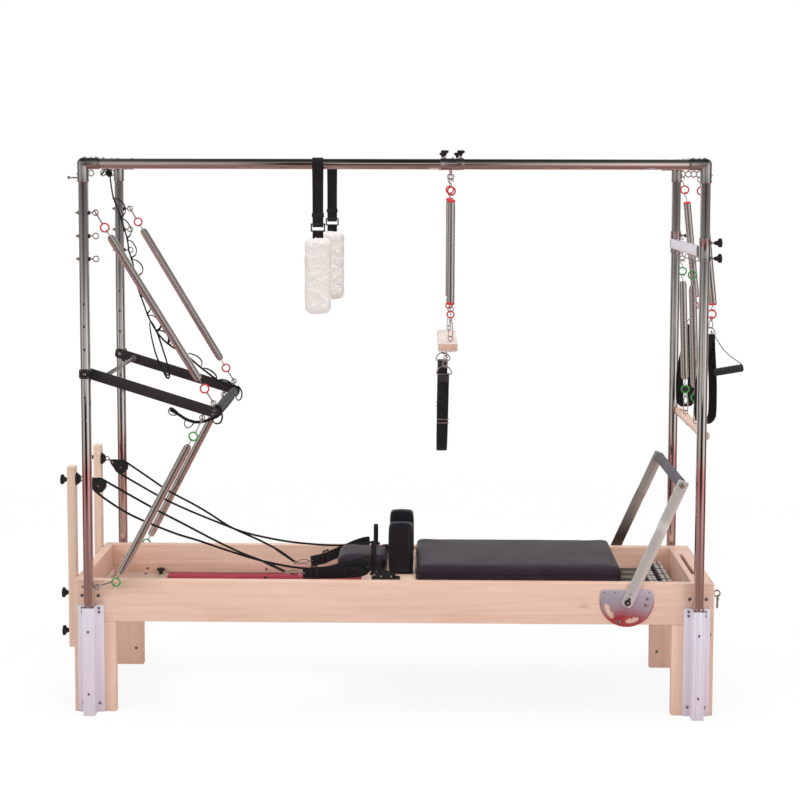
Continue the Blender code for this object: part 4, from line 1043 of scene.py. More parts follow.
p.sweep(smooth_path([knot_c + Vector((-0.004, 0, 0.004)), knot_c + Vector((-0.0150, 0.002, 0.0090)),
                     knot_c + Vector((-0.0240, 0.004, 0.0020)), knot_c + Vector((-0.0290, 0.005, -0.0080))], 14),
        BAND, 0, up=(0, 1, 0))
knot = put(p, "stretch_strap_knot", "root", [ELASTIC])
grip_c = Vector((-0.6758, 0, 1.1652))


def grip_turn(part, y, lean):
    pts = [grip_c + Vector((0.0208 * cos(2 * pi * i / 30), y + lean * sin(2 * pi * i / 30), 0.0208 * sin(2 * pi * i / 30)))
           for i in range(30)]
    part.sweep(pts, rounded(0.0100, 0.0040, 0.0018, 2), 0, closed=True, up=(0, 1, 0))


p = Part()
for y, lean in ((0.2800, 0.0050), (0.2870, -0.0040), (0.2720, 0.0070)):
    grip_turn(p, y, lean)
p.sweep(smooth_path([(-0.6640, 0.2820, 1.1850), (-0.6520, 0.2850, 1.1760), (-0.6440, 0.2840, 1.1560),
                     (-0.6480, 0.2790, 1.1330), (-0.6600, 0.2760, 1.1280), (-0.6680, 0.2760, 1.1440)], 30, True),
        BAND, 0, closed=True, up=(0, 1, 0))
grip_turns = put(p, "stretch_strap_turns", "push_bar", [ELASTIC])
# the strap runs on along the grip to the near arm and ends in a tail under it
TAIL = [tuple(grip_c + Vector((0.0020, 0.2650 - 0.530 * k / 6, -0.0225 - 0.0030 * sin(pi * k / 6)))) for k in range(7)]
TAIL += [(-0.6850, -0.2830, 1.1400), (-0.7100, -0.2950, 1.1310), (-0.7480, -0.3000, 1.1250), (-0.7870, -0.3000, 1.1350),
         (-0.8200, -0.3010, 1.1560), (-0.8500, -0.3020, 1.1730)]
tail_path = smooth_path(TAIL, 90)
tail = Part().sweep(tail_path, BAND, up=(0, 0.3, 1)).object("stretch_strap_tail", [ELASTIC])
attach(tail, "push_bar")
p = Part()
for y, lean in ((-0.2760, 0.0060), (-0.2850, -0.0040)):
    grip_turn(p, y, lean)
for pts in ([(-0.6900, -0.2760, 1.1500), (-0.6920, -0.2800, 1.1330), (-0.6800, -0.2840, 1.1180),
             (-0.6620, -0.2840, 1.1210), (-0.6540, -0.2800, 1.1400), (-0.6600, -0.2760, 1.1560)],
            [(-0.8200, -0.3000, 1.1560), (-0.8420, -0.3020, 1.1520), (-0.8560, -0.3040, 1.1640), (-0.8480, -0.3040, 1.1800),
             (-0.8320, -0.3020, 1.1720)],
            [(-0.7600, -0.2990, 1.1270), (-0.7720, -0.3010, 1.1080), (-0.7880, -0.3020, 1.1040), (-0.7960, -0.3010, 1.1220),
             (-0.7850, -0.2990, 1.1350)]):
    p.sweep(smooth_path(pts, 26, True), BAND, 0, closed=True, up=(0, 1, 0))
tail_turns = put(p, "stretch_strap_tail_turns", "push_bar", [ELASTIC])
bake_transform(strap)
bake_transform(loops)


# =====================================================================
# Tube frame
# =====================================================================
POST_X, POST_Y, TUBE_R, TOP_Z = 1.160, 0.350, 0.019, 2.106
FIT_X, FIT_Z, FIT_Y, FIT_R = 1.098, 2.037, 0.285, 0.022
PUSH_PIVOT = (-1.160, 1.316)
LOW_EYE = (-1.128, 0.497)

for s, side in SIDES:
    y = s * POST_Y
    p = Part()
    p.pipe((-POST_X, y, 0.02), (-POST_X, y, FIT_Z - 0.0003), TUBE_R, 0.0018, 0, 64)
    for z in EYE_Z:
        eyebolt(p, (EYE_X, y, z), (0, 1, 0), (-1, 0, 0), 0.0105, 0.0023, 0.066, 1)
        washer(p, (-POST_X + 0.0186, y, z), (1, 0, 0), 0.0078, 0.0042, 2)
        hex_nut(p, (-POST_X + 0.0226, y, z), (1, 0, 0), 0.0098, 0.0045, 1)
        washer(p, (-POST_X - 0.0186, y, z), (-1, 0, 0), 0.0072, 0.0018, 1)
        hex_nut(p, (-POST_X - 0.0200, y, z), (-1, 0, 0), 0.0100, 0.0060, 1)
    eyebolt(p, (LOW_EYE[0], y, LOW_EYE[1]), (0, 1, 0), (-1, 0, 0), 0.0095, 0.0022, 0.052, 1)
    washer(p, (-POST_X + 0.0186, y, LOW_EYE[1]), (1, 0, 0), 0.0070, 0.0024, 1)
    hex_nut(p, (-POST_X - 0.0186, y, LOW_EYE[1]), (-1, 0, 0), 0.0100, 0.0058, 1)
    # pivot of the push bar: pin, square clamp and bolt
    p.rod((PUSH_PIVOT[0], s * 0.3700, PUSH_PIVOT[1]), (PUSH_PIVOT[0], s * 0.3140, PUSH_PIVOT[1]), 0.006, 1)
    out = Vector((0, s, 0))
    p.box((PUSH_PIVOT[0] - 0.0185, PUSH_PIVOT[0] + 0.0185), (s * 0.3655, s * 0.3722),
          (PUSH_PIVOT[1] - 0.0185, PUSH_PIVOT[1] + 0.0185), 2, 0.0030, 3)
    p.box((PUSH_PIVOT[0] - 0.0215, PUSH_PIVOT[0] - 0.0192), (s * 0.338, s * 0.3700),
          (PUSH_PIVOT[1] - 0.015, PUSH_PIVOT[1] + 0.015), 2, 0.0008, 2)
    p.box((PUSH_PIVOT[0] + 0.0192, PUSH_PIVOT[0] + 0.0215), (s * 0.338, s * 0.3700),
          (PUSH_PIVOT[1] - 0.015, PUSH_PIVOT[1] + 0.015), 2, 0.0008, 2)
    screw(p, (PUSH_PIVOT[0], s * 0.3720, PUSH_PIVOT[1]), out, 0.0062, 0.0036, 1)
    for dx, dz in ((-0.013, 0.013), (0.013, 0.013), (-0.013, -0.013), (0.013, -0.013)):
        screw(p, (PUSH_PIVOT[0] + dx, s * 0.3720, PUSH_PIVOT[1] + dz), out, 0.0022, 0.0010, 1)
    # spare holes for other heights of the pivot: a chrome rim round a black disc, the disc painted shade for the hollow
    # of the tube
    for z in (1.579, 1.495, 1.408, 1.225, 1.140):
        c = Vector((-POST_X, s * (POST_Y - TUBE_R), z)) if s > 0 else Vector((-POST_X, -POST_Y - TUBE_R, z))
        n = Vector((0, -1, 0))
        p.turned([(0.0040, -0.0006), (0.0052, -0.0006), (0.0058, 0.0001), (0.0050, 0.0006), (0.0042, 0.0002)],
                 c, n, 20, 1)
        p.lathe([(0, -0.0010), (0.0044, -0.0010), (0.0044, 0.0002), (0, 0.0002)], c, n, 18, 2)
        q = Vector((-POST_X, c.y + (2 * TUBE_R if s < 0 else 2 * TUBE_R) * 1.0, z))
        p.turned([(0.0040, -0.0006), (0.0052, -0.0006), (0.0058, 0.0001), (0.0050, 0.0006), (0.0042, 0.0002)],
                 q, -n, 20, 1)
        p.lathe([(0, -0.0010), (0.0044, -0.0010), (0.0044, 0.0002), (0, 0.0002)], q, -n, 18, 2)
    put(p, f"head_post_{side}", "root", [STEEL_Z, CHROME, BLACK], f"post_{side}_head")

    p = Part()
    p.pipe((POST_X, y, 0.02), (POST_X, y, FIT_Z - 0.0003), TUBE_R, 0.0018, 0, 64)
    p.turned([(TUBE_R + 0.0001, 0), (TUBE_R + 0.0016, 0.0004), (TUBE_R + 0.0016, 0.0056), (TUBE_R + 0.0001, 0.006)],
             (POST_X, y, 0.424), (0, 0, 1), 40, 1)
    put(p, f"foot_post_{side}", "root", [STEEL_Z, CHROME, BLACK], f"post_{side}_foot")

    p = Part()
    p.pipe((-FIT_X + 0.0003, y, TOP_Z), (FIT_X - 0.0003, y, TOP_Z), TUBE_R, 0.0018, 0, 64)
    put(p, f"long_rail_{side}", "root", [STEEL_X], f"top_rail_{side}")

for e, end in ENDS:
    x = e * POST_X
    p = Part()
    p.rod((x, -0.334, TOP_Z), (x, 0.334, TOP_Z), TUBE_R, 0, 64)
    collar = [(0, -0.030), (0.0205, -0.030), (0.0220, -0.0285), (0.0220, 0.0),
              (0.0224, 0.0008), (0.0224, 0.0040), (0.0216, 0.0052), (0.0202, 0.0055), (0, 0.0055)]
    for s, side in SIDES:
        y = s * POST_Y
        c = Vector((x, y, TOP_Z))
        for target, axis in ((Vector((e * FIT_X, y, TOP_Z)), Vector((-e, 0, 0))),
                             (Vector((x, y, FIT_Z)), Vector((0, 0, -1))),
                             (Vector((x, s * FIT_Y, TOP_Z)), Vector((0, -s, 0)))):
            n = (target - c).length
            p.lathe([(0, 0), (0.0216, 0), (0.0216, n - 0.009), (0.0220, n - 0.008), (0.0224, n - 0.006),
                     (0.0224, n - 0.0022), (0.0216, n - 0.0006), (0.0202, n), (0, n)], c, axis, 48, 1)
        # rounded outer corner
        bm = bmesh.new()
        bmesh.ops.create_uvsphere(bm, u_segments=40, v_segments=28, radius=FIT_R)
        p.from_bmesh(bm, 1, Matrix.Translation(c))
        # set screws of the fitting
        screw(p, (e * 1.1535, y, TOP_Z + 0.0214), (0, 0, 1), 0.0046, 0.0042, 2)
        screw(p, (e * 1.1105, y, TOP_Z + 0.0214), (0, 0, 1), 0.0046, 0.0042, 2)
        screw(p, (x, s * 0.333, TOP_Z + 0.0214), (0, 0, 1), 0.0046, 0.0042, 2)
        screw(p, (x, s * 0.305, TOP_Z + 0.0214), (0, 0, 1), 0.0046, 0.0042, 2)
        screw(p, (x + e * 0.0214, y, 2.066), (e, 0, 0), 0.0044, 0.0030, 2)
        # locking pin through the top of the post
        if e < 0 and s < 0:
            p.rod((x + e * 0.016, y, 2.0530), (x + e * 0.052, y, 2.0530), 0.0030, 2, 14)
            p.lathe([(0, 0), (0.0052, 0), (0.0062, 0.0010), (0.0062, 0.0065), (0.0050, 0.0080), (0, 0.0080)],
                    (x + e * 0.050, y, 2.0530), (e, 0, 0), 20, 2)
        for i, xx in enumerate((1.0844, 1.0282, 0.9740)):
            if i == 0 or e < 0:
                screw(p, (e * xx, y, TOP_Z + TUBE_R - 0.0003), (0, 0, 1), 0.0036, 0.0024, 2)
    eyes = (-0.205, 0.020, 0.200) if e < 0 else (-0.200, -0.080, 0.050, 0.200)
    for y in eyes:
        eyebolt(p, (x, y, 2.070), (0.35, 1, 0) if e < 0 else (0, 1, 0), (0, 0, 1), 0.0112, 0.0025, 0.052, 2)
        washer(p, (x, y, TOP_Z - TUBE_R + 0.0006), (0, 0, -1), 0.0068, 0.0022, 2)
        washer(p, (x, y, TOP_Z + TUBE_R - 0.0006), (0, 0, 1), 0.0068, 0.0020, 2)
        hex_nut(p, (x, y, TOP_Z + TUBE_R + 0.0012), (0, 0, 1), 0.0100, 0.0058, 2)
    put(p, f"bow_{end}", "root", [STEEL_Y, FITTING, CHROME], f"end_bow_{end}")

# =====================================================================
# Wooden bed
# =====================================================================
BED_X, BED_TOP, BED_BOTTOM, RAIL_OUT, RAIL_IN, LEG_W = 1.225, 0.515, 0.354, 0.315, 0.280, 0.159
GAP = 0.0003


def counterbored(p, c, out, r=0.0070, recess_shade=1, steel=2):
    """A bolt head sunk in a round recess whose rim and floor are black, painted shade: a dark ring round a bright head.
    """
    c, out = Vector(c), Vector(out)
    p.turned([(r - 0.0012, -0.001), (r + 0.0004, -0.001), (r + 0.0004, 0.00015), (r - 0.0004, 0.00030),
              (r - 0.0012, -0.0002)], c, out, 28, recess_shade)
    p.lathe([(0, -0.0012), (r - 0.0010, -0.0012), (r - 0.0010, 0.0001), (0, 0.0001)], c, out, 26, recess_shade)
    p.lathe([(0, 0), (r * 0.62, 0), (r * 0.62, 0.0004), (r * 0.52, 0.0009), (r * 0.26, 0.0009), (r * 0.24, 0.0003),
             (0, 0.0003)], c, out, 20, steel)


for s, side in SIDES:
    p = Part()
    p.box((-BED_X, BED_X), (s * RAIL_IN, s * RAIL_OUT), (BED_BOTTOM, BED_TOP), 0, 0.0028, 3)
    for x in (-1.193, -1.131, 1.132, 1.195):
        counterbored(p, (x, s * RAIL_OUT, 0.4545), (0, s, 0), 0.0062)
    for x in (-1.045, -0.545, -0.045, 0.455, 0.955):
        counterbored(p, (x, s * RAIL_IN, 0.412), (0, -s, 0), 0.0050)
    put(p, f"bed_rail_{side}", "root", [WOOD_X, BLACK, SCREW], f"side_rail_{side}")

p = Part()
p.box((-BED_X + 0.0004, -BED_X + 0.035), (-RAIL_IN + GAP, RAIL_IN - GAP), (BED_BOTTOM, BED_TOP), 0, 0.0022, 3)
# the board across the head end and the block on it take the dark copy: painted shade
p.box((-1.190, -0.953), (-RAIL_IN + 0.0006, RAIL_IN - 0.0006), (0.372, 0.3952), 1, 0.0014, 2)
p.box((-1.1895, -1.170), (-0.2350, 0.2350), (0.3953, 0.417), 1, 0.0020, 2)
for y in (-0.22, -0.11, 0, 0.11, 0.22):
    counterbored(p, (-BED_X + 0.0004, y, 0.383), (-1, 0, 0), 0.0050, 2, 3)
    counterbored(p, (-0.985, y, 0.3952), (0, 0, 1), 0.0042, 2, 3)
put(p, "head_board", "root", [WOOD_Y, WOOD_PAINTED_SHADE, BLACK, SCREW], "end_board_head")

FX0, FX1 = 1.142, BED_X - 0.0004
p = Part()
p.plate([[(FX0, -RAIL_IN + GAP), (FX1, -RAIL_IN + GAP), (FX1, RAIL_IN - GAP), (FX0, RAIL_IN - GAP)],
         arc(1.1705, 0.1595, 0.0075, 0, 180, 8) + arc(1.1705, -0.1595, 0.0075, 180, 360, 8)],
        0.0230, lying(0.5035), 0, 0.0018)
p.box((FX0, FX1), (-RAIL_IN + GAP, RAIL_IN - GAP), (BED_BOTTOM, 0.4925), 0, 0.0015, 2)
p.box((1.1632, 1.1778), (-0.1650, 0.1650), (0.4920, 0.4938), 1, 0.0005, 1)
for y in (-0.215, 0.215):
    counterbored(p, (FX1, y, 0.400), (1, 0, 0), 0.0060, 2, 3)
# eyebolt on the outer face, with the snap hook that hangs from it
ey = -0.250
washer(p, (FX1 - 0.0004, ey, 0.4610), (1, 0, 0), 0.0100, 0.0020, 4)
eyebolt(p, (1.2465, ey, 0.4610), (0, 1, 0), (-1, 0, 0), 0.0118, 0.0032, 0.024, 3)
put(p, "foot_board", "root", [WOOD_Y, BLACK_COAT, BLACK, CHROME, BLACK], "end_board_foot")
p = Part()
snap_hook(p, (1.2500, ey, 0.4485), (1.2478, ey, 0.4045), (0, 1, 0), 0.0084, 0.0028, 0)
put(p, "foot_board_snap", "root", [SCREW])

for s, side in SIDES:
    for e, end in ENDS:
        x_out, x_in = e * BED_X, e * (BED_X - LEG_W)
        p = Part()
        p.box((x_out, x_in), (s * RAIL_IN, s * RAIL_OUT), (0.0, BED_BOTTOM - GAP), 0, 0.0026, 3)
        if s < 0 and e > 0:
            counterbored(p, (1.2110, s * RAIL_OUT, 0.3180), (0, s, 0), 0.0048)
        for dx in (0.030, 0.128):
            counterbored(p, (x_out - e * dx, s * RAIL_IN, 0.300), (0, -s, 0), 0.0058)
            counterbored(p, (x_out - e * dx, s * RAIL_IN, 0.070), (0, -s, 0), 0.0058)
        put(p, f"bed_leg_{side}_{end}", "root", [WOOD_Z, BLACK, SCREW], f"leg_{side}_{end}")

        cx, t, half, ch, ci, dep = e * POST_X, 0.004, 0.050, 0.0225, 0.0195, 0.0572
        r = 0.0016

        def soft(u, v, du, dv):
            """Two points that break the corner at (u, v)."""
            return [(u + du * r, v), (u, v + dv * r)]

        hat = ([(-half, 0), (-ci - 0.003, 0), (-ci, 0.003), (-ci, dep - 0.0045), (-ci + 0.0015, dep - 0.003),
                (ci - 0.0015, dep - 0.003), (ci, dep - 0.0045), (ci, 0.003), (ci + 0.003, 0), (half, 0),
                (half, t - 0.0012), (half - 0.0012, t), (ch + 0.0018, t), (ch, t + 0.0018),
                (ch, dep - 0.0030), (ch - 0.0009, dep - 0.0009), (ch - 0.0030, dep),
                (0.0140, dep), (0.0125, dep - 0.0012), (0.0110, dep - 0.0012), (0.0095, dep),
                (-0.0095, dep), (-0.0110, dep - 0.0012), (-0.0125, dep - 0.0012), (-0.0140, dep),
                (-ch + 0.0030, dep), (-ch + 0.0009, dep - 0.0009), (-ch, dep - 0.0030),
                (-ch, t + 0.0018), (-ch - 0.0018, t), (-half + 0.0012, t), (-half, t - 0.0012)])
        p = Part()
        p.plate([[(cx + u, s * (RAIL_OUT + GAP + v)) for u, v in hat]], 0.419, lying(0.2095), 0, 0.0004)
        flange = s * (RAIL_OUT + GAP + t)
        for z in (0.407, 0.391, 0.034):
            for dx in (-0.032, 0.032):
                screw(p, (cx + dx, flange, z), (0, s, 0), 0.0047, 0.0021, 1)
                p.turned([(0.0048, 0), (0.0056, 0), (0.0054, 0.0003), (0.0048, 0.0003)],
                         (cx + dx, flange, z), (0, s, 0), 20, 2)
        for z in (0.328, 0.085):
            screw(p, (cx, s * (RAIL_OUT + GAP + dep), z), (0, s, 0), 0.0052, 0.0020, 1)
        put(p, f"extrusion_{side}_{end}", "root", [ALU, SCREW, BLACK],
            f"corner_extrusion_{side}_{end}")

# tracks, their stops, and the two bars that the springs hook on
p = Part()
for s in (-1, 1):
    prof = [(0.236, 0.373), (0.237, 0.372), (0.2797, 0.372), (0.2797, 0.3950), (0.2440, 0.3950),
            (0.2425, 0.3944), (0.2395, 0.3944), (0.2380, 0.3950), (0.237, 0.3950), (0.236, 0.394)]
    p.plate([[(s * a, z) for a, z in prof]], 1.128 + 0.9528,
            Matrix(((0, 0, 1, (1.128 - 0.9528) / 2), (1, 0, 0, 0), (0, 1, 0, 0), (0, 0, 0, 1))), 0, 0.0003)
    # a thin dark strip along the back of each track: painted shade for the shaded groove above it
    p.box((-0.953, 1.128), (s * 0.2762, s * 0.2798), (0.3951, 0.4030), 1, 0.0008, 1)
    for x in (-0.545, -0.045, 0.455, 0.955):
        p.lathe([(0, -0.001), (0.0066, -0.001), (0.0068, 0.0006), (0.0056, 0.0022), (0, 0.0026)],
                (x, s * 0.2362, 0.3860), (0, -s, 0), 18, 2)
    p.lathe([(0, -0.001), (0.0062, -0.001), (0.0064, 0.0006), (0.0052, 0.0020), (0, 0.0024)],
            (-1.048, s * 0.2540, 0.3955), (0, 0, 1), 18, 2)
    # rubber stops at the head end
    star_knob(p, (-0.985, s * 0.2560, 0.3954), (0, 0, 1), 0.0165, 0.0250, 6, 2)
    p.box((1.040, 1.085), (s * 0.205, s * 0.225), (0.434, 0.448), 3, 0.0012, 1)
    p.box((1.081, 1.097), (s * 0.241, s * 0.259), (0.3952, 0.430), 3, 0.0012, 1)
p.box((1.060, 1.100), (-0.262, 0.262), (0.425, 0.458), 3, 0.0018, 2)
p.box((1.012, 1.046), (-0.235, 0.235), (0.430, 0.452), 3, 0.0016, 2)
for y in (-0.205, -0.16, -0.115, -0.08, -0.035, 0.0, 0.045, 0.08, 0.125, 0.16, 0.205):
    for x, z in ((1.090, 0.458), (1.070, 0.458), (1.037, 0.452), (1.021, 0.452)):
        p.lathe([(0, -0.0004), (0.0044, -0.0004), (0.0040, 0.0030), (0.0072, 0.0046), (0.0084, 0.0078),
                 (0.0074, 0.0112), (0.0044, 0.0130), (0, 0.0134)], (x, y, z), (0, 0, 1), 18, 5)
put(p, "tracks_and_spring_bars", "root", [TRACK, WOOD_PAINTED_SHADE, BLACK, BLACK_COAT, CHROME, FLAT_BAR],
    "track_frame")

# carriage springs: the plate under the carriage and five coils with their end hooks
p = Part()
p.box((0.8815, 0.8915), (-0.200, 0.200), (0.430, 0.452), 0, 0.0015, 2)
for y in (-0.16, -0.08, 0.0, 0.08, 0.16):
    p.coil((0.905, y, 0.441), (1.006, y, 0.441), 0.0145, 0.0016, mat=1)
    hook(p, (0.8995, y, 0.441), (0.914, y, 0.441), 0.0018, 2, 0.0050, (0, 1, 0))
    link(p, (1.000, y, 0.441), (1.0285, y, 0.441), 0.0017, 2, 0.0075, (0, 1, 0))
    p.ring((0.8945, y, 0.441), (0, 0, 1), 0.0062, 0.0017, 2, 20, 8)
coils = p.object("carriage_spring_set", [BLACK_COAT, NICKEL, CHROME], 46)
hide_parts("carriage_springs")
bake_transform(coils)

# =====================================================================
# Risers with their clamping knobs, flanges and pulley blocks
# =====================================================================
WOOD_RISER = maple("riser_wood", "Z", light=(0.83, 0.635, 0.52), dark=(0.735, 0.525, 0.405), seed=9.1)
RISER_X = (-1.2563, -1.2253)
KNOB_Z = (0.891, 0.4475, 0.298)
DISC_Z = {"near": 0.8928, "far": 0.8860}

for s, side in SIDES:
    px, pz = PULLEY[side]
    p = Part()
    p.box(RISER_X, (s * 0.2225, s * 0.2675), (0.238, 0.944), 0, 0.0035, 3)
    for z in KNOB_Z:
        p.lathe([(0, 0), (0.0088, 0), (0.0092, 0.0004), (0.0092, 0.0014), (0, 0.0014)],
                (RISER_X[0], s * 0.245, z), (-1, 0, 0), 24, 2)
        star_knob(p, (RISER_X[0] - 0.0012, s * 0.245, z), (-1, 0, 0), 0.0200, 0.0275, 5, 1)
    put(p, f"riser_{side}_post", "root", [WOOD_RISER, BLACK, SCREW], f"riser_{side}")

    # black flange on the front face, its eye, the links and the block's cheeks
    p = Part()
    dz = DISC_Z[side]
    face = Vector((RISER_X[1], s * PULLEY_Y, dz))
    p.lathe([(0, 0), (0.0240, 0), (0.0250, 0.0008), (0.0246, 0.0030), (0.0205, 0.0075), (0.0160, 0.0130),
             (0.0128, 0.0165), (0.0100, 0.0178), (0, 0.0180)], face, (1, 0, 0), 36, 0)
    apex = Vector((px - 0.0346, s * PULLEY_Y, pz + 0.0200))
    eye = face + Vector((0.0245, 0, 0))
    p.ring(eye, (0, 1, 0), 0.0082, 0.0021, 1, 26, 10)
    p.rod(face + Vector((0.016, 0, 0)), face + Vector((0.0185, 0, 0)), 0.0040, 1, 16)
    t = unit(apex - eye)
    a, b = eye + t * 0.0035, apex - t * 0.0005
    half = (b - a).length / 2 + 0.0028
    mid = (a + b) / 2
    link(p, a, mid + t * 0.0045, 0.0018, 1, 0.0056, (0, 1, 0))
    link(p, mid - t * 0.0045, b, 0.0018, 1, 0.0056, side_of(t, (0, 0, 1)))
    cheek = []
    ang = math.degrees(math.atan2(0.0200, -0.0346))
    span_deg = math.degrees(math.acos((0.0270 - 0.0100) / math.hypot(0.0346, 0.0200)))
    cheek += arc(px, pz, 0.0270, ang + span_deg, ang - span_deg + 360, 30)
    cheek += arc(apex.x, apex.z, 0.0100, ang - span_deg, ang + span_deg, 12)
    eyehole = arc(apex.x, apex.z, 0.0046, 0, 345, 23)
    for q in (-1, 1):
        y = s * PULLEY_Y + q * 0.0100
        p.plate([cheek, eyehole], 0.0024, upright(y), 0, 0.0006)
        out = Vector((0, q, 0))
        c = Vector((px, y + q * 0.0012, pz))
        p.lathe([(0, -0.0004), (0.0135, -0.0004), (0.0135, 0.0006), (0.0118, 0.0014), (0.0070, 0.0016),
                 (0.0064, 0.0010), (0, 0.0010)], c, out, 30, 0)
        p.lathe([(0, 0), (0.0050, 0), (0.0052, 0.0018), (0.0044, 0.0030), (0, 0.0032)], c + out * 0.0006, out, 20, 2)
        for k in range(6):
            u, v = cos(pi * k / 3 + 0.4), sin(pi * k / 3 + 0.4)
            p.sweep([c + Vector((u, 0, v)) * 0.0145 - out * 0.0004, c + Vector((u, 0, v)) * 0.0235 - out * 0.0004],
                    rounded(0.0022, 0.0030, 0.0008, 2), 0, up=(0, 1, 0))
        rim = [c + Vector((cos(rad(d)) * 0.0250, -q * 0.0002, sin(rad(d)) * 0.0250))
               for d in range(int(ang + span_deg), int(ang - span_deg + 360), 8)]
        p.sweep(rim, circle(0.0012, 6), 0, up=(0, 1, 0))
    p.rod((px, s * PULLEY_Y - 0.0105, pz), (px, s * PULLEY_Y + 0.0105, pz), 0.0030, 2, 16)
    p.rod((apex.x, s * PULLEY_Y - 0.0100, apex.z), (apex.x, s * PULLEY_Y + 0.0100, apex.z), 0.0038, 1, 16)
    put(p, f"riser_{side}_block", "root", [BLACK, CHROME, FITTING])

    p = Part()
    w = 0.0072
    p.turned([(0.0036, -w), (0.0225, -w), (0.0240, -w + 0.0008), (0.0236, -w + 0.0018), (0.0200, -0.0030),
              (0.0190, 0.0), (0.0200, 0.0030), (0.0236, w - 0.0018), (0.0240, w - 0.0008), (0.0225, w),
              (0.0036, w)], (px, s * PULLEY_Y, pz), (0, 1, 0), 48, 0)
    for k in range(5):
        u, v = cos(2 * pi * k / 5), sin(2 * pi * k / 5)
        for q in (-1, 1):
            p.rod((px + u * 0.0125, s * PULLEY_Y + q * (w - 0.0006), pz + v * 0.0125),
                  (px + u * 0.0125, s * PULLEY_Y + q * (w + 0.0006), pz + v * 0.0125), 0.0030, 1, 16)
    put(p, f"pulley_{side}_sheave", f"pulley_{side}", [RUBBER, BLACK], f"pulley_{side}")


# =====================================================================
# Carriage
# =====================================================================
BASE_X, BASE_Y, BASE_Z = (-0.125, 0.872), 0.262, (0.462, 0.502)

p = Part()
# wooden frame with a plywood deck
p.box((BASE_X[0], BASE_X[1]), (-BASE_Y, BASE_Y), (0.4845, BASE_Z[1]), 0, 0.0020, 2)
for s in (-1, 1):
    p.box((BASE_X[0] + 0.002, BASE_X[1] - 0.002), (s * 0.212, s * (BASE_Y - 0.001)), (BASE_Z[0], 0.4850), 0, 0.0018, 2)
for x0, x1 in ((BASE_X[0] + 0.002, BASE_X[0] + 0.047), (0.350, 0.395), (BASE_X[1] - 0.047, BASE_X[1] - 0.002)):
    p.box((x0, x1), (-0.213, 0.213), (BASE_Z[0] + 0.0005, 0.4848), 0, 0.0018, 2)
for x in (-0.100, 0.370, 0.850):
    for y in (-0.235, 0.235):
        counterbored(p, (x, y, BASE_Z[0]), (0, 0, -1), 0.0052, 3, 4)
# wheel hangers
for x in (0.060, 0.780):
    for s in (-1, 1):
        p.plate([[(x - 0.0135, 0.4038), (x + 0.0135, 0.4038), (x + 0.0135, 0.4300), (x + 0.030, 0.4640),
                  (x - 0.030, 0.4640), (x - 0.0135, 0.4300)]], 0.0070, upright(s * 0.2170), 2, 0.0010)
        p.box((x - 0.030, x + 0.030), (s * 0.196, s * 0.2205), (0.4570, 0.4640), 2, 0.0012, 2)
        for dx in (-0.021, 0.021):
            screw(p, (x + dx, s * 0.2045, 0.4570), (0, 0, -1), 0.0040, 0.0024, 4)
        hex_nut(p, (x, s * 0.2135, 0.4155), (0, -s, 0), 0.0130, 0.0050, 4)
# bearing blocks of the headrest's hinge
for y in (-0.078, 0.078):
    p.box((-0.062, -0.048), (y - 0.010, y + 0.010), (0.5015, 0.5048), 2, 0.0006, 1)
put(p, "carriage_frame", "carriage", [WOOD_PALE, WOOD_Y, BLACK_COAT, BLACK, SCREW], "carriage_base")

# rope pegs and the two cleats in front of the shoulder rests
p = Part()
for s in (-1, 1):
    p.lathe([(0, 0), (0.0150, 0), (0.0150, 0.0028), (0.0120, 0.0050), (0.0096, 0.0060), (0.0094, 0.1260),
             (0.0086, 0.1320), (0.0060, 0.1336), (0, 0.1340)], (PEG[0], s * PEG[1], 0.5020), (0, 0, 1), 32, 0)
    for z in (0.5325, 0.5360):
        p.ring((PEG[0], s * PEG[1], z), (0, 0, 1), 0.0098, 0.0009, 0, 28, 8)
    y0, y1 = s * 0.195, s * 0.235
    p.box((-0.085, 0.025), (y0, y1), (0.5020, 0.5085), 0, 0.0016, 2)
    out = []
    for k in range(21):
        u = k / 20
        out.append((-0.080 + 0.100 * u, 0.5080 + 0.0255 * (sin(pi * min(1, u * 1.25)) ** 0.7)))
    p.plate([[(-0.080, 0.5070)] + out + [(0.020, 0.5070)]], 0.0060, upright(s * 0.2015), 0, 0.0012)
    p.plate([[(-0.080, 0.5070)] + out + [(0.020, 0.5070)]], 0.0060, upright(s * 0.2285), 0, 0.0012)
    p.box((-0.060, 0.008), (s * 0.204, s * 0.226), (0.5080, 0.5240), 0, 0.0040, 3)
    for x, z in ((-0.0735, 0.5215), (0.0135, 0.5215)):
        p.rod((x, s * 0.1960, z), (x, s * 0.2345, z), 0.0032, 1, 16)
    for x, z in ((-0.049, 0.5150), (-0.009, 0.5150)):
        screw(p, (x, s * 0.2315, z), (0, s, 0), 0.0042, 0.0030, 1)
put(p, "carriage_pegs_and_cleats", "carriage", [BLACK, CHROME])

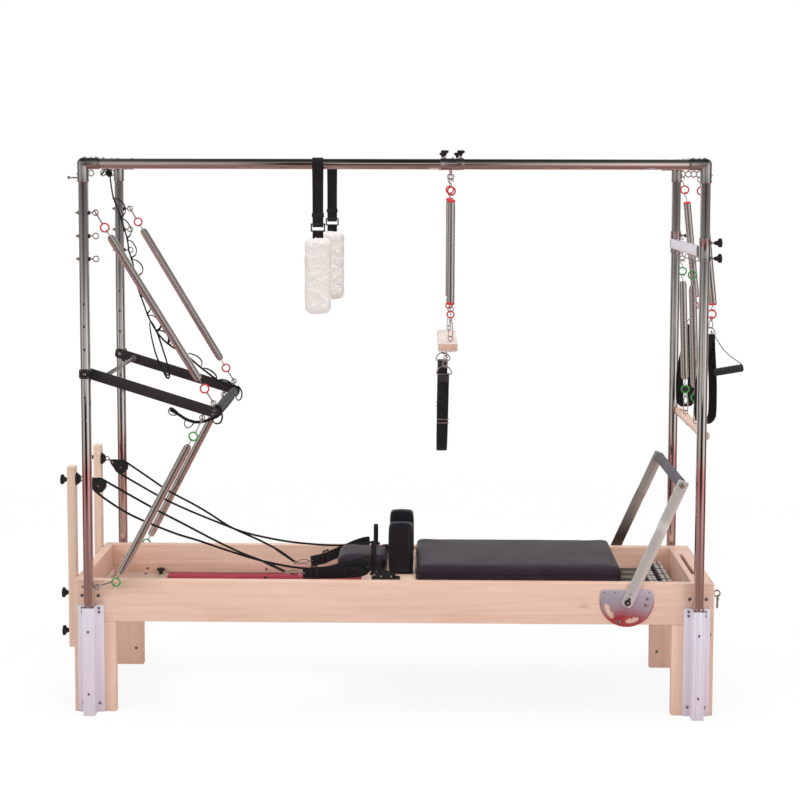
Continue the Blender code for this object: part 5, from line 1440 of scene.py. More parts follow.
for x, name in ((0.060, "head"), (0.780, "foot")):
    p = Part()
    p.rod((x, -0.2580, 0.4155), (x, 0.2580, 0.4155), 0.0050, 1, 20)
    for s in (-1, 1):
        y = s * 0.2495
        p.turned([(0.0060, -0.0088), (0.0175, -0.0088), (0.0195, -0.0072), (0.0200, -0.0050), (0.0200, 0.0050),
                  (0.0195, 0.0072), (0.0175, 0.0088), (0.0060, 0.0088)], (x, y, 0.4155), (0, 1, 0), 44, 0)
        p.turned([(0.0048, -0.0089), (0.0112, -0.0089), (0.0118, -0.0070), (0.0118, 0.0070), (0.0112, 0.0089),
                  (0.0048, 0.0089)], (x, y, 0.4155), (0, 1, 0), 36, 1)
        p.lathe([(0, 0), (0.0062, 0), (0.0062, 0.0012), (0.0044, 0.0020), (0, 0.0020)],
                (x, s * 0.2572, 0.4155), (0, s, 0), 20, 1)
    put(p, f"wheels_{name}", f"wheelset_{name}", [RUBBER, CHROME], f"wheelset_{name}")


# ---- upholstered pads --------------------------------------------------
def pad_mesh(name, xs, ys, zs, corner, top, bottom, crown, ripple=0.0, seed=0.0, lean=(0.0, 0.0), nx=56, ny=40):
    """A stuffed pad: rounded plan, rolled top edge, sides that draw in between the corners."""
    cx, cy = sum(xs) / 2, sum(ys) / 2
    hx, hy = abs(xs[1] - xs[0]) / 2, abs(ys[1] - ys[0]) / 2
    height = zs[1] - zs[0]
    n = 4 * (nx + ny) // 2
    ring_dirs = []
    outline_pts = []
    per = 10
    for qx, qy, a0 in ((1, 1, 0), (-1, 1, 90), (-1, -1, 180), (1, -1, 270)):
        for i in range(per + 1):
            t = rad(a0 + 90 * i / per)
            outline_pts.append(((hx - corner) * qx + corner * cos(t), (hy - corner) * qy + corner * sin(t), cos(t), sin(t)))
    dense = []
    m = len(outline_pts)
    for i in range(m):
        a, b = outline_pts[i], outline_pts[(i + 1) % m]
        d = math.hypot(b[0] - a[0], b[1] - a[1])
        steps = max(1, int(round(d / 0.014)))
        for k in range(steps):
            u = k / steps
            dense.append(tuple(a[j] + (b[j] - a[j]) * u for j in range(4)))
    k = len(dense)
    rows = []
    rows.append((bottom * 1.2, 0.0))
    for i in range(5):
        t = rad(90 * i / 4)
        rows.append((bottom * (1 - sin(t)), bottom * (1 - cos(t))))
    for i in range(1, 4):
        rows.append((0.0, bottom + (height - bottom - top) * i / 4))
    for i in range(9):
        t = rad(90 * i / 8)
        rows.append((top * (1 - cos(t)), height - top + top * sin(t)))
    verts, faces = [], []
    for inset, z in rows:
        side_k = sin(pi * min(1.0, max(0.0, z / height))) if inset < 0.001 else 0.0
        for x, y, nx_, ny_ in dense:
            draw = 0.0
            if abs(ny_) > 0.9:
                draw = 0.0022 * (1 - (x / hx) ** 2)
            elif abs(nx_) > 0.9:
                draw = 0.0016 * (1 - (y / hy) ** 2)
            f = inset + draw - 0.0010 * side_k
            verts.append(Vector((cx + x - nx_ * f, cy + y - ny_ * f, zs[0] + z)))
    for r in range(len(rows) - 1):
        for i in range(k):
            j = (i + 1) % k
            faces.append((r * k + i, r * k + j, (r + 1) * k + j, (r + 1) * k + i))
    # crowned top in shrinking rings
    base = (len(rows) - 1) * k
    last = base
    for step in range(1, 15):
        u = step / 15
        start = len(verts)
        for i in range(k):
            v = verts[base + i]
            w = Vector((cx + (v.x - cx) * (1 - u), cy + (v.y - cy) * (1 - u), v.z))
            w.z += crown * (1 - (1 - u) ** 2)
            verts.append(w)
        for i in range(k):
            j = (i + 1) % k
            faces.append((last + i, last + j, start + j, start + i))
        last = start
    verts.append(Vector((cx, cy, zs[1] + crown)))
    for i in range(k):
        faces.append((last + i, last + (i + 1) % k, len(verts) - 1))
    # flat bottom
    start = 0
    verts.append(Vector((cx, cy, zs[0])))
    for i in range(k):
        faces.append(((i + 1) % k, i, len(verts) - 1))
    lo, hi = zs
    for v in verts:
        q = (v.z - lo) / (hi - lo)
        v.x += lean[0] * q
        v.y += lean[1] * q
        if ripple and q > 0.1:
            v.z += ripple * noise.noise(Vector((v.x * 14 + seed, v.y * 14, 0.5))) * min(1, q)
    mesh = bpy.data.meshes.new(name)
    mesh.from_pydata([tuple(v) for v in verts], [], faces)
    bm = bmesh.new()
    bm.from_mesh(mesh)
    bmesh.ops.recalc_face_normals(bm, faces=bm.faces)
    bm.to_mesh(mesh)
    bm.free()
    return mesh


def swell(mesh, cap, hold=0.004, voxel=0.006, pressure=4.0, frames=20):
    """Inflates a pad's cover with a cloth simulation, with its base held, and returns the swollen mesh."""
    mesh.update()
    obj = bpy.data.objects.new(mesh.name + "_sim", mesh)
    scene.collection.objects.link(obj)
    rem = obj.modifiers.new("remesh", "REMESH")
    rem.mode, rem.voxel_size = "VOXEL", voxel
    dg = bpy.context.evaluated_depsgraph_get()
    even = bpy.data.meshes.new_from_object(obj.evaluated_get(dg), depsgraph=dg)
    obj.modifiers.clear()
    obj.data = even
    n = len(even.vertices)
    rest = np.empty(n * 3)
    even.vertices.foreach_get("co", rest)
    rest = rest.reshape(-1, 3)
    low = rest[:, 2].min()
    group = obj.vertex_groups.new(name="held")
    group.add([int(i) for i in np.nonzero(rest[:, 2] < low + hold)[0]], 1.0, "REPLACE")
    cloth = obj.modifiers.new("cloth", "CLOTH")
    st = cloth.settings
    st.quality, st.mass = 5, 0.3
    st.tension_stiffness = st.compression_stiffness = 18
    st.shear_stiffness, st.bending_stiffness = 8, 0.6
    st.use_pressure, st.uniform_pressure_force = True, pressure
    st.effector_weights.gravity = 0
    st.vertex_group_mass = "held"
    cloth.collision_settings.use_self_collision = False
    cloth.point_cache.frame_start, cloth.point_cache.frame_end = 1, frames
    for f in range(1, frames + 1):
        scene.frame_set(f)
    dg = bpy.context.evaluated_depsgraph_get()
    out = bpy.data.meshes.new_from_object(obj.evaluated_get(dg), depsgraph=dg)
    now = np.empty(n * 3)
    out.vertices.foreach_get("co", now)
    now = now.reshape(-1, 3)
    move = now - rest
    far = np.linalg.norm(move, axis=1)
    k = np.minimum(1.0, cap / np.maximum(far, 1e-9))
    now = rest + move * k[:, None]
    out.vertices.foreach_set("co", now.ravel())
    out.update()
    scene.frame_set(1)
    bpy.data.objects.remove(obj, do_unlink=True)
    return out


def seam_line(p, xs, ys, z, corner, inset, r=0.0012, mat=0, tilt=(0, 0)):
    """A piped seam that runs round a pad at height z."""
    cx, cy = sum(xs) / 2, sum(ys) / 2
    hx, hy = abs(xs[1] - xs[0]) / 2 - inset, abs(ys[1] - ys[0]) / 2 - inset
    pts = []
    for qx, qy, a0 in ((1, 1, 0), (-1, 1, 90), (-1, -1, 180), (1, -1, 270)):
        for i in range(9):
            t = rad(a0 + 90 * i / 8)
            pts.append(Vector((cx + (hx - corner) * qx + corner * cos(t), cy + (hy - corner) * qy + corner * sin(t), z)))
    dense = []
    for a, b in zip(pts, pts[1:] + pts[:1]):
        d = (b - a).length
        steps = max(1, int(d / 0.03))
        for k in range(steps):
            w = a.lerp(b, k / steps)
            draw = 0.0022 * (1 - ((w.x - cx) / hx) ** 2) if abs(abs(w.y - cy) - hy) < 1e-6 else 0.0
            draw_x = 0.0016 * (1 - ((w.y - cy) / hy) ** 2) if abs(abs(w.x - cx) - hx) < 1e-6 else 0.0
            w = Vector((w.x - math.copysign(draw_x, w.x - cx), w.y - math.copysign(draw, w.y - cy), w.z))
            dense.append(w)
    p.sweep(dense, circle(r, 6), mat, closed=True, up=(0, 0, 1))


def cover(name, mesh, mat_top, mat_side, split, body, node, cap, extra=None, smooth=180, corner_z=None):
    """Swells the pad, dresses it and hands it to its body."""
    mesh = swell(mesh, cap)
    obj = bpy.data.objects.new(name, mesh)
    scene.collection.objects.link(obj)
    mesh.materials.clear()
    mesh.materials.append(mat_top)
    mesh.materials.append(mat_side)
    for v in mesh.vertices:
        v.co.x += SX
    for poly in mesh.polygons:
        poly.material_index = 1 if split(poly) else 0
    mesh.shade_smooth()
    if extra is not None:
        extra(mesh)
    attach(obj, body)
    if node:
        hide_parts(node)
    return obj


never = lambda poly: False
PAD_BOX = ((0.0845, 0.8835), (-0.2485, 0.2485), (0.5025, 0.5560))
pad = pad_mesh("pad_main", *PAD_BOX, 0.030, 0.0155, 0.0050, 0.0028, 0.0006)
cover("pad_main", pad, PAD_COVER_PAINTED_SHEEN, PAD_COVER_PAINTED_SHADE, never, "carriage", "carriage_pad", 0.0030)
p = Part()
seam_line(p, *PAD_BOX[:2], 0.5270, 0.030, -0.0008, 0.0011)
p.box((0.092, 0.876), (-0.2430, 0.2430), (0.5021, 0.5040), 1, 0.0008, 1)
put(p, "pad_main_piping", "carriage", [PAD_COVER_PAINTED_SHADE, BLACK_COAT])

HEAD_BOX = ((-0.2250, -0.0290), (-0.1140, 0.1140), (0.5085, 0.5620))
pad = pad_mesh("headrest_pad", *HEAD_BOX, 0.042, 0.0200, 0.0060, 0.0025, 0.0004, 4.0)
cover("headrest_pad", pad, PAD_COVER_PAINTED_SHEEN, PAD_COVER_PAINTED_SHADE, never, "headrest", "headrest", 0.0026)
p = Part()
seam_line(p, *HEAD_BOX[:2], 0.5290, 0.042, -0.0006, 0.0010)
p.box((-0.210, -0.040), (-0.0980, 0.0980), (0.5056, 0.5092), 1, 0.0012, 2)
for y in (-0.062, 0.062):
    p.box((-0.072, -0.042), (y - 0.008, y + 0.008), (0.5053, 0.5066), 2, 0.0004, 1)
put(p, "headrest_base", "headrest", [PAD_COVER_PAINTED_SHADE, BLACK_COAT, CHROME])

for s, side in SIDES:
    box_ = ((-0.0205, 0.0745), tuple(sorted((s * 0.0865, s * 0.1485))), (0.5060, 0.7010))
    pad = pad_mesh(f"shoulder_pad_{side}", *box_, 0.0150, 0.0120, 0.0050, 0.0018, 0.0)
    cover(f"shoulder_pad_{side}", pad, PAD_COVER_PAINTED_SHADE, PAD_COVER_PAINTED_SHADE, never, f"shoulder_rest_{side}", f"shoulder_rest_{side}", 0.0022)
    p = Part()
    p.box((-0.0205, 0.0745), tuple(sorted((s * 0.0885, s * 0.1465))), (0.5026, 0.5062), 1, 0.0012, 2)
    yo = s * 0.1492
    seam = [(-0.0130, yo, 0.512), (-0.0135, yo, 0.560), (-0.0135, yo, 0.650), (-0.0120, yo, 0.6850)]
    put(p, f"shoulder_pad_{side}_base", f"shoulder_rest_{side}", [PAD_COVER_PAINTED_SHADE, BLACK_COAT])


# ---- webbing hand loops -------------------------------------------------
STRAP = rounded(0.042, 0.0026, 0.0012, 2)


def strap_piece(name, points, count, body, node, width=0.042, up=(0, 0, 1), closed=True, ups=None,
                mats=None, hollow=None):
    path = smooth_path(points, count, closed)
    ups_ = ups or [up] * len(path)
    q = Part().sweep(path, rounded(width, 0.0026, 0.0012, 2), 0, closed=closed, ups=ups_)
    obj = q.object(name, mats or [WEB])
    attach(obj, body)
    if node:
        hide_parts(node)
    return obj


near_front = [(-0.345, -0.2215, 0.5215), (-0.300, -0.2222, 0.5225), (-0.260, -0.2222, 0.5235), (-0.170, -0.2220, 0.5265),
              (-0.125, -0.2210, 0.5320), (-0.1065, -0.2175, 0.5440), (-0.120, -0.2135, 0.5560), (-0.170, -0.2120, 0.5460),
              (-0.260, -0.2115, 0.5275), (-0.325, -0.2130, 0.5225), (-0.352, -0.2172, 0.5215)]
far_front = [(-0.345, 0.2215, 0.4640), (-0.300, 0.2222, 0.4740), (-0.235, 0.2222, 0.5000), (-0.170, 0.2215, 0.5300),
             (-0.125, 0.2200, 0.5450), (-0.1065, 0.2170, 0.5460), (-0.125, 0.2130, 0.5440), (-0.200, 0.2120, 0.5180),
             (-0.290, 0.2125, 0.4790), (-0.330, 0.2135, 0.4670), (-0.352, 0.2178, 0.4620)]
for s, side in SIDES:
    pts = near_front if s < 0 else far_front
    p = Part()
    if s < 0:
        p.ring((-0.171, -0.2248, 0.5290), (0, 1, 0.05), 0.0200, 0.0021, 1, 36, 10)
        slide = ((-0.322, -0.2150, 0.5225), (-0.298, -0.2150, 0.5232))
    else:
        slide = ((-0.303, 0.2150, 0.4780), (-0.281, 0.2150, 0.4870))
    a, b = Vector(slide[0]), Vector(slide[1])
    for q in (a, b):
        p.sweep([q + Vector((0, -0.0100, 0)), q + Vector((0, 0.0100, 0))], rounded(0.0500, 0.0040, 0.0014, 2), 0,
                up=(0, 0, 1))
    for dz in (-0.0245, 0.0245):
        p.sweep([a + Vector((0, -0.0090, dz)), b + Vector((0, -0.0090, dz))], circle(0.0018, 8), 0)
        p.sweep([a + Vector((0, 0.0090, dz)), b + Vector((0, 0.0090, dz))], circle(0.0018, 8), 0)
    buckle = put(p, f"hand_loop_{side}_slider", "carriage", [BLACK, BLACK])
    strap_piece(f"hand_loop_{side}_strap", pts, 90, "carriage", f"hand_loop_{side}")

# =====================================================================
# Foot bar
# =====================================================================
FOOT_PIVOT, FOOT_TOP = (0.894, 0.442), (1.096, 0.895)
PLATE_C, PLATE_R = (0.892, 0.449), 0.103


def dplate_mat(name):
    """Ground steel plate that darkens and turns red towards its lower edge: painted shade and painted reflection."""
    m = Mat(name, Metallic=0.50)
    lines = m.noise(m.where((260, 260, 3)), 1.2, 4, 0.6)
    patch = m.noise(m.where(), 13, 4, 0.6, 0.4)
    xyz = m.node("ShaderNodeSeparateXYZ", {0: m.where()}).outputs
    low = m.math("ADD", xyz[2], m.math("MULTIPLY", m.math("ABSOLUTE", m.math("SUBTRACT", xyz[0], 0.851)), 0.30))
    low = m.math("ADD", low, m.math("MULTIPLY", m.math("SUBTRACT", patch, 0.5), 0.016))
    # painted shade: darker towards the bottom
    colour = m.mix(m.span(xyz[2], 0.400, 0.490, 0, 1), (0.43, 0.33, 0.40), (0.60, 0.54, 0.64))
    # painted reflection: red towards the lower edge, and along the rim low down
    colour = m.mix(m.span(low, 0.440, 0.386, 0, 1), colour, (0.52, 0.055, 0.070))
    dx = m.math("SUBTRACT", xyz[0], PLATE_C[0] + SX)
    dz = m.math("SUBTRACT", xyz[2], PLATE_C[1])
    rr = m.math("SQRT", m.math("ADD", m.math("MULTIPLY", dx, dx), m.math("MULTIPLY", dz, dz)))
    rim = m.math("MULTIPLY", m.span(rr, PLATE_R - 0.0060, PLATE_R - 0.0020, 0, 1), m.span(xyz[2], 0.455, 0.430, 0, 1))
    colour = m.mix(m.math("MULTIPLY", rim, 0.9), colour, (0.50, 0.060, 0.070))
    colour = m.mix(m.span(patch, 0.4, 0.7, 0, 0.2), colour, (0.42, 0.38, 0.42))
    colour = m.mix(m.math("MULTIPLY", m.edges(0.53, 0.62), 0.5), colour, (0.86, 0.84, 0.88))
    m.set("Base Color", colour)
    m.set("Roughness", m.span(m.math("ADD", lines, patch), 0.7, 1.3, 0.30, 0.42))
    m.set("Normal", m.bump(lines, 0.05, 0.0003))
    return m.m


DPLATE = dplate_mat("ground_d_plate")


def curved_slot(cx, cz, r, width, a0, a1, notches=()):
    """Outline of an arc slot with half-round ends and catches along its inner side."""
    w = width / 2
    outer = arc(cx, cz, r + w, a0, a1, 16)
    end1 = []
    ex, ez = cx + r * cos(rad(a1)), cz + r * sin(rad(a1))
    end1 = arc(ex, ez, w, a1 + 20, a1 + 160, 6)
    inner = []
    for i in range(33):
        a = a1 + (a0 - a1) * i / 32
        q = r - w
        for c in notches:
            q -= 0.0080 * max(0.0, 1 - abs(a - c) / 5.0)
        inner.append((cx + q * cos(rad(a)), cz + q * sin(rad(a))))
    sx_, sz_ = cx + r * cos(rad(a0)), cz + r * sin(rad(a0))
    end0 = arc(sx_, sz_, w, a0 + 200, a0 + 340, 6)
    return outer + end1 + inner + end0


for s, side in SIDES:
    p = Part()
    px, pz = FOOT_PIVOT
    loops = [arc(PLATE_C[0], PLATE_C[1], PLATE_R, 156.55, 383.45, 72)]
    loops.append(curved_slot(px, pz, 0.0800, 0.0175, 189, 224, (196, 217)))
    loops.append(curved_slot(px, pz, 0.0750, 0.0165, 271, 300, (278, 293)))
    for a, r, q in ((247, 0.083, 0.0090), (10, 0.076, 0.0062), (-9, 0.071, 0.0062)):
        loops.append(arc(px + r * cos(rad(a)), pz + r * sin(rad(a)), q, 0, 345, 23))
    p.plate(loops, 0.0040, upright(s * 0.3173), 0, 0.0006)
    out = Vector((0, s, 0))
    for a, r, q in ((247, 0.083, 0.0082), (10, 0.076, 0.0056), (-9, 0.071, 0.0056)):
        screw(p, (px + r * cos(rad(a)), s * 0.3158, pz + r * sin(rad(a))), out, q, 0.0030, 1)
    for x, z in ((0.806, 0.480), (0.978, 0.480), (0.846, 0.480)):
        screw(p, (x, s * 0.3192, z), out, 0.0034, 0.0010, 1)
    p.rod((px, s * 0.3156, pz), (px, s * 0.3285, pz), 0.0058, 2, 20)
    put(p, f"foot_plate_{side}", "root", [DPLATE, CHROME, CHROME], f"footbar_plate_{side}")
    # pivot: ring knob and its hub
    p = Part()
    c = Vector((px, s * 0.3264, pz))
    p.turned([(0.0062, 0), (0.0112, 0), (0.0120, 0.0008), (0.0120, 0.0038), (0.0108, 0.0054), (0.0078, 0.0056),
              (0.0066, 0.0044), (0.0062, 0.0030)], c, out, 36, 0)
    p.lathe([(0, 0), (0.0058, 0), (0.0058, 0.0046), (0.0046, 0.0064), (0.0018, 0.0068), (0, 0.0066)], c, out, 24, 1)
    a = rad(66)
    p.sweep([c + Vector((cos(a) * 0.0105, s * 0.0026, sin(a) * 0.0105)),
             c + Vector((cos(a) * 0.0200, s * 0.0026, sin(a) * 0.0200))], rounded(0.0085, 0.0046, 0.0018, 2), 0,
            up=(-sin(a), 0, cos(a)))
    put(p, f"foot_pivot_{side}", "root", [BLACK, CHROME])

p = Part()
(ax, az), (bx, bz) = FOOT_PIVOT, FOOT_TOP
t = unit((bx - ax, 0, bz - az))
perp = Vector((-t.z, 0, t.x))
total = math.hypot(bx - ax, bz - az)
for s in (-1, 1):
    stations = [(-0.0165, 0.3232, 0.55), (-0.0150, 0.3232, 0.72), (-0.0110, 0.3232, 0.90), (-0.004, 0.3232, 0.99),
                (0.0, 0.3232, 1.0)]
    for k in range(1, 10):
        stations.append((total * 0.60 * k / 9, 0.3232, 1.0))
    for k in range(1, 7):
        u = k / 6
        e = u * u * (3 - 2 * u)
        stations.append((total * (0.60 + 0.10 * u), 0.3232 - 0.0065 * e, 1.0))
    for k in range(1, 6):
        stations.append((total * (0.70 + 0.30 * k / 5), 0.3167, 1.0))
    stations += [(total + 0.010, 0.3167, 1.0), (total + 0.0145, 0.3167, 0.95), (total + 0.0168, 0.3167, 0.85),
                 (total + 0.0176, 0.3167, 0.72)]
    path = [Vector((ax, s * y, az)) + t * d for d, y, w in stations]
    widths = [w for d, y, w in stations]
    n = len(path)
    # the far arm takes the darker copy of the flat bar: painted shade
    p.sweep(path, rounded(0.0425, 0.0058, 0.0012, 2), 0 if s < 0 else 2, ups=[perp] * n,
            scale=lambda k, ww=widths, nn=n: (ww[min(nn - 1, int(round(k * (nn - 1))))], 1.0))
    out = Vector((0, s, 0))
    top = Vector((bx, s * 0.3196, bz))
    p.lathe([(0, 0), (0.0125, 0), (0.0125, 0.0008), (0.0110, 0.0016), (0, 0.0016)], top, out, 30, 1)
    screw(p, top + out * 0.0014, out, 0.0078, 0.0036, 1)
    screw(p, Vector((ax, s * 0.3260, az)) + t * 0.036 + perp * 0.004, out, 0.0032, 0.0008, 1)
p.rod((bx, -0.3150, bz), (bx, 0.3150, bz), 0.0080, 1, 24)
for s in (-1, 1):
    p.lathe([(0, 0), (0.0150, 0), (0.0156, 0.0010), (0.0156, 0.0090), (0.0140, 0.0110), (0, 0.0110)],
            (bx, s * 0.3140, bz), (0, -s, 0), 28, 1)
put(p, "foot_arms", "footbar", [FLAT_BAR, CHROME, FLAT_BAR_FAR_PAINTED_SHADE], "footbar_frame")


def grip(name, a, b, r, body, node, mat, bulge=0.0006, seed=0.0, seg=40, end=0.0040):
    """A foam sleeve with rolled ends and slightly uneven skin."""
    a, b = Vector(a), Vector(b)
    t = unit(b - a)
    n = (b - a).length
    rows = [(r * 0.60, 0.0), (r * 0.80, 0.0003), (r - end * 0.5, 0.0012), (r - end * 0.15, end * 0.6), (r, end)]
    steps = max(12, int(n / 0.012))
    for k in range(1, steps):
        rows.append((r, end + (n - 2 * end) * k / steps))
    rows += [(r, n - end), (r - end * 0.15, n - end * 0.6), (r - end * 0.5, n - 0.0012), (r * 0.80, n - 0.0003),
             (r * 0.60, n)]
    q = Part()
    q.lathe(rows, a, t, seg, 0)
    for i, v in enumerate(q.points):
        v = Vector(v)
        c = a + t * (v - a).dot(t)
        d = v - c
        if d.length > r * 0.9:
            d *= 1 + bulge / r * noise.noise(v * 55 + Vector((seed, 0, 0))) - bulge / r * 0.6
            q.points[i] = tuple(c + d)
    obj = put(q, name, body, [mat], node or (), 60)
    return obj


FOOT_FOAM = foam("foot_bar_foam", (0.090, 0.084, 0.102), 0.72)
grip("foot_grip", (bx, -0.289, bz), (bx, 0.289, bz), 0.0200, "footbar", "footbar_grip", FOOT_FOAM)

# =====================================================================
# Push-through bar
# =====================================================================
PUSH_END = (-0.672, 1.164)
vx, vz = PUSH_END[0] - PUSH_PIVOT[0], PUSH_END[1] - PUSH_PIVOT[1]
plen = math.hypot(vx, vz)
pt = Vector((vx / plen, 0, vz / plen))
pn = Vector((-pt.z, 0, pt.x))


def on_arm(d, off, y):
    v = Vector((PUSH_PIVOT[0], y, PUSH_PIVOT[1])) + pt * d + pn * off
    return v


p = Part()
for s in (-1, 1):
    y = s * 0.3225
    stations = [(-0.0190, 0.42), (-0.0170, 0.66), (-0.0120, 0.88), (-0.0050, 0.99), (0.0, 1.0), (plen * 0.25, 1.0),
                (plen * 0.5, 1.0), (plen * 0.75, 1.0), (plen - 0.030, 1.0), (plen - 0.012, 0.98), (plen - 0.004, 0.86),
                (plen + 0.0005, 0.62)]
    path = [on_arm(d, 0, y) for d, w in stations]
    widths = [w for d, w in stations]
    n = len(path)
    p.sweep(path, rounded(0.0410, 0.0080, 0.0016, 2), 0, ups=[pn] * n,
            scale=lambda k, ww=widths, nn=n: (ww[min(nn - 1, int(round(k * (nn - 1))))], 1.0))
    out = Vector((0, s, 0))
    for d, off, q in ((plen - 0.0105, 0.0072, 0.0046), (plen - 0.0105, -0.0072, 0.0046)):
        screw(p, on_arm(d, off, s * 0.3262), out, q, 0.0024, 2)
        screw(p, on_arm(d, off, s * 0.3188), -out, q, 0.0016, 2)
    # pivot bush
    p.turned([(0.0064, -0.0046), (0.0125, -0.0046), (0.0130, -0.0038), (0.0130, 0.0040), (0.0122, 0.0048),
              (0.0064, 0.0048)], on_arm(0, 0, y), (0, 1, 0), 32, 2)
    # eyelets for the springs
    for d, off in ((plen - 0.020, 0.033), (plen - 0.045, -0.033)):
        c = on_arm(d, off, y)
        p.ring(c, (0, 1, 0), 0.0095, 0.0022, 2, 26, 10)
        base = on_arm(d, math.copysign(0.0195, off), y)
        p.rod(base, base + (c - base) * 0.40, 0.0032, 2, 14)
        washer(p, base, c - base, 0.0062, 0.0022, 2)
p.rod(on_arm(0.062, 0, -0.3190), on_arm(0.062, 0, 0.3190), 0.0080, 1, 28)
p.rod(on_arm(plen - 0.004, 0, -0.3190), on_arm(plen - 0.004, 0, 0.3190), 0.0080, 0, 28)
for s in (-1, 1):
    p.lathe([(0, 0), (0.0120, 0), (0.0126, 0.0008), (0.0126, 0.0100), (0.0110, 0.0118), (0, 0.0118)],
            on_arm(0.062, 0, s * 0.3186), (0, -s, 0), 26, 1)
PUSH_COAT = plastic("push_bar_coating", (0.024, 0.019, 0.023), 0.46, 1100, 0.18, 0.35, 0.36)
put(p, "push_bar_arms", "push_bar", [PUSH_COAT, GREY_ROD, CHROME], "push_bar")
grip("push_bar_grip", on_arm(plen - 0.004, 0, -0.289), on_arm(plen - 0.004, 0, 0.289), 0.0176, "push_bar", None,
     FOAM_DARK, seed=4.0)


def collar(p, at, axis, r, mat):
    """The coloured cap on a spring's last turns."""
    p.lathe([(r * 0.50, -0.0010), (r * 0.86, -0.0004), (r * 1.06, 0.0030), (r * 1.07, 0.0090), (r * 1.02, 0.0100),
             (r * 0.96, 0.0100), (r * 0.90, 0.0030), (r * 0.50, 0.0006)], at, axis, 26, mat)


for s, side in SIDES:
    y = s * 0.3225
    top_eye = on_arm(plen - 0.020, 0.033, y)
    low_eye = on_arm(plen - 0.045, -0.033, y)
    a = Vector((EYE_X, s * POST_Y, EYE_Z[0]))
    p = Part()
    spring_line(p, a, top_eye, 0.100, 0.104, 0.065, 0.065)
    t = unit(top_eye - a)
    up_spring = p.object(f"push_spring_top_{side}_coil", [NICKEL, CHROME, RED], 46)
    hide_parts(f"push_spring_top_{side}")
    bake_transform(up_spring)
    a = Vector((LOW_EYE[0], s * POST_Y, LOW_EYE[1]))
    p = Part()
    t = unit(a - low_eye)
    if s < 0:
        up_eye, ring_at = Vector((-0.7262, y, 1.1360)), Vector((-1.0580, -0.3400, 0.5120))
    else:
        up_eye, ring_at = low_eye, Vector((-1.0600, 0.3400, 0.5050))
    u = unit(ring_at - up_eye)
    spring_line(p, up_eye, ring_at + u * 0.0180, 0.108, 0.056, 0.070, 0.0200)
    hook(p, low_eye, up_eye, 0.0019, 1, 0.0070, (0, 1, 0))
    snap_hook(p, a, ring_at - u * 0.004 - Vector((0.012, 0, 0)), (0, 1, 0), 0.0078, 0.0020, 1, 1)
    low_spring = p.object(f"push_spring_low_{side}_coil", [NICKEL, CHROME, GREEN], 46)
    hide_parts(f"push_spring_low_{side}")
    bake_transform(low_spring)

# =====================================================================
# Trapeze
# =====================================================================
TRAP_X = 0.218
p = Part()
for s in (-1, 1):
    y = s * POST_Y
    p.turned([(0.0196, -0.0445), (0.0212, -0.0445), (0.0220, -0.0438), (0.0220, -0.0400), (0.0214, -0.0390),
              (0.0214, 0.0390), (0.0220, 0.0400), (0.0220, 0.0438), (0.0212, 0.0445), (0.0196, 0.0445)],
             (TRAP_X, y, TOP_Z), (1, 0, 0), 56, 0)
    for k, dx in enumerate((-0.028, 0.032)):
        p.lathe([(0, 0), (0.0070, 0), (0.0074, 0.0008), (0.0070, 0.0060), (0.0050, 0.0068), (0, 0.0068)],
                (TRAP_X + dx, y, TOP_Z + 0.0208), (0, 0, 1), 24, 1)
        star_knob(p, (TRAP_X + dx, y, TOP_Z + 0.0270), (0, 0, 1), 0.0155, 0.0215, 5, 2, 0.0030, 1)
    screw(p, (TRAP_X + 0.002, y, TOP_Z + 0.0212), (0, 0, 1), 0.0046, 0.0040, 1)
    # saddle that joins the sleeve to the cross tube
    p.turned([(0.0152, -0.0130), (0.0176, -0.0130), (0.0182, -0.0122), (0.0182, 0.0100), (0.0168, 0.0120),
              (0.0152, 0.0120)], (TRAP_X, s * 0.3165, TOP_Z), (0, 1, 0), 36, 0)
p.pipe((TRAP_X, -0.3302, TOP_Z), (TRAP_X, 0.3302, TOP_Z), 0.0150, 0.0020, 3, 44)
for s in (-1, 1):
    y = s * 0.215
    eyebolt(p, (TRAP_X, y, 2.058), (0, 1, 0), (0, 0, 1), 0.0095, 0.0023, 0.060, 1)
    washer(p, (TRAP_X, y, TOP_Z - 0.0145), (0, 0, -1), 0.0070, 0.0022, 1)
    washer(p, (TRAP_X, y, TOP_Z + 0.0145), (0, 0, 1), 0.0070, 0.0020, 1)
    hex_nut(p, (TRAP_X, y, TOP_Z + 0.0162), (0, 0, 1), 0.0100, 0.0058, 1)
SLEEVE = metal("sliding_sleeve", (0.55, 0.54, 0.535), 0.19, "X", 120, dirt=0.25)
put(p, "trapeze_carrier", "trapeze_slider", [SLEEVE, CHROME, BLACK, STEEL_Y], "trapeze_slider")

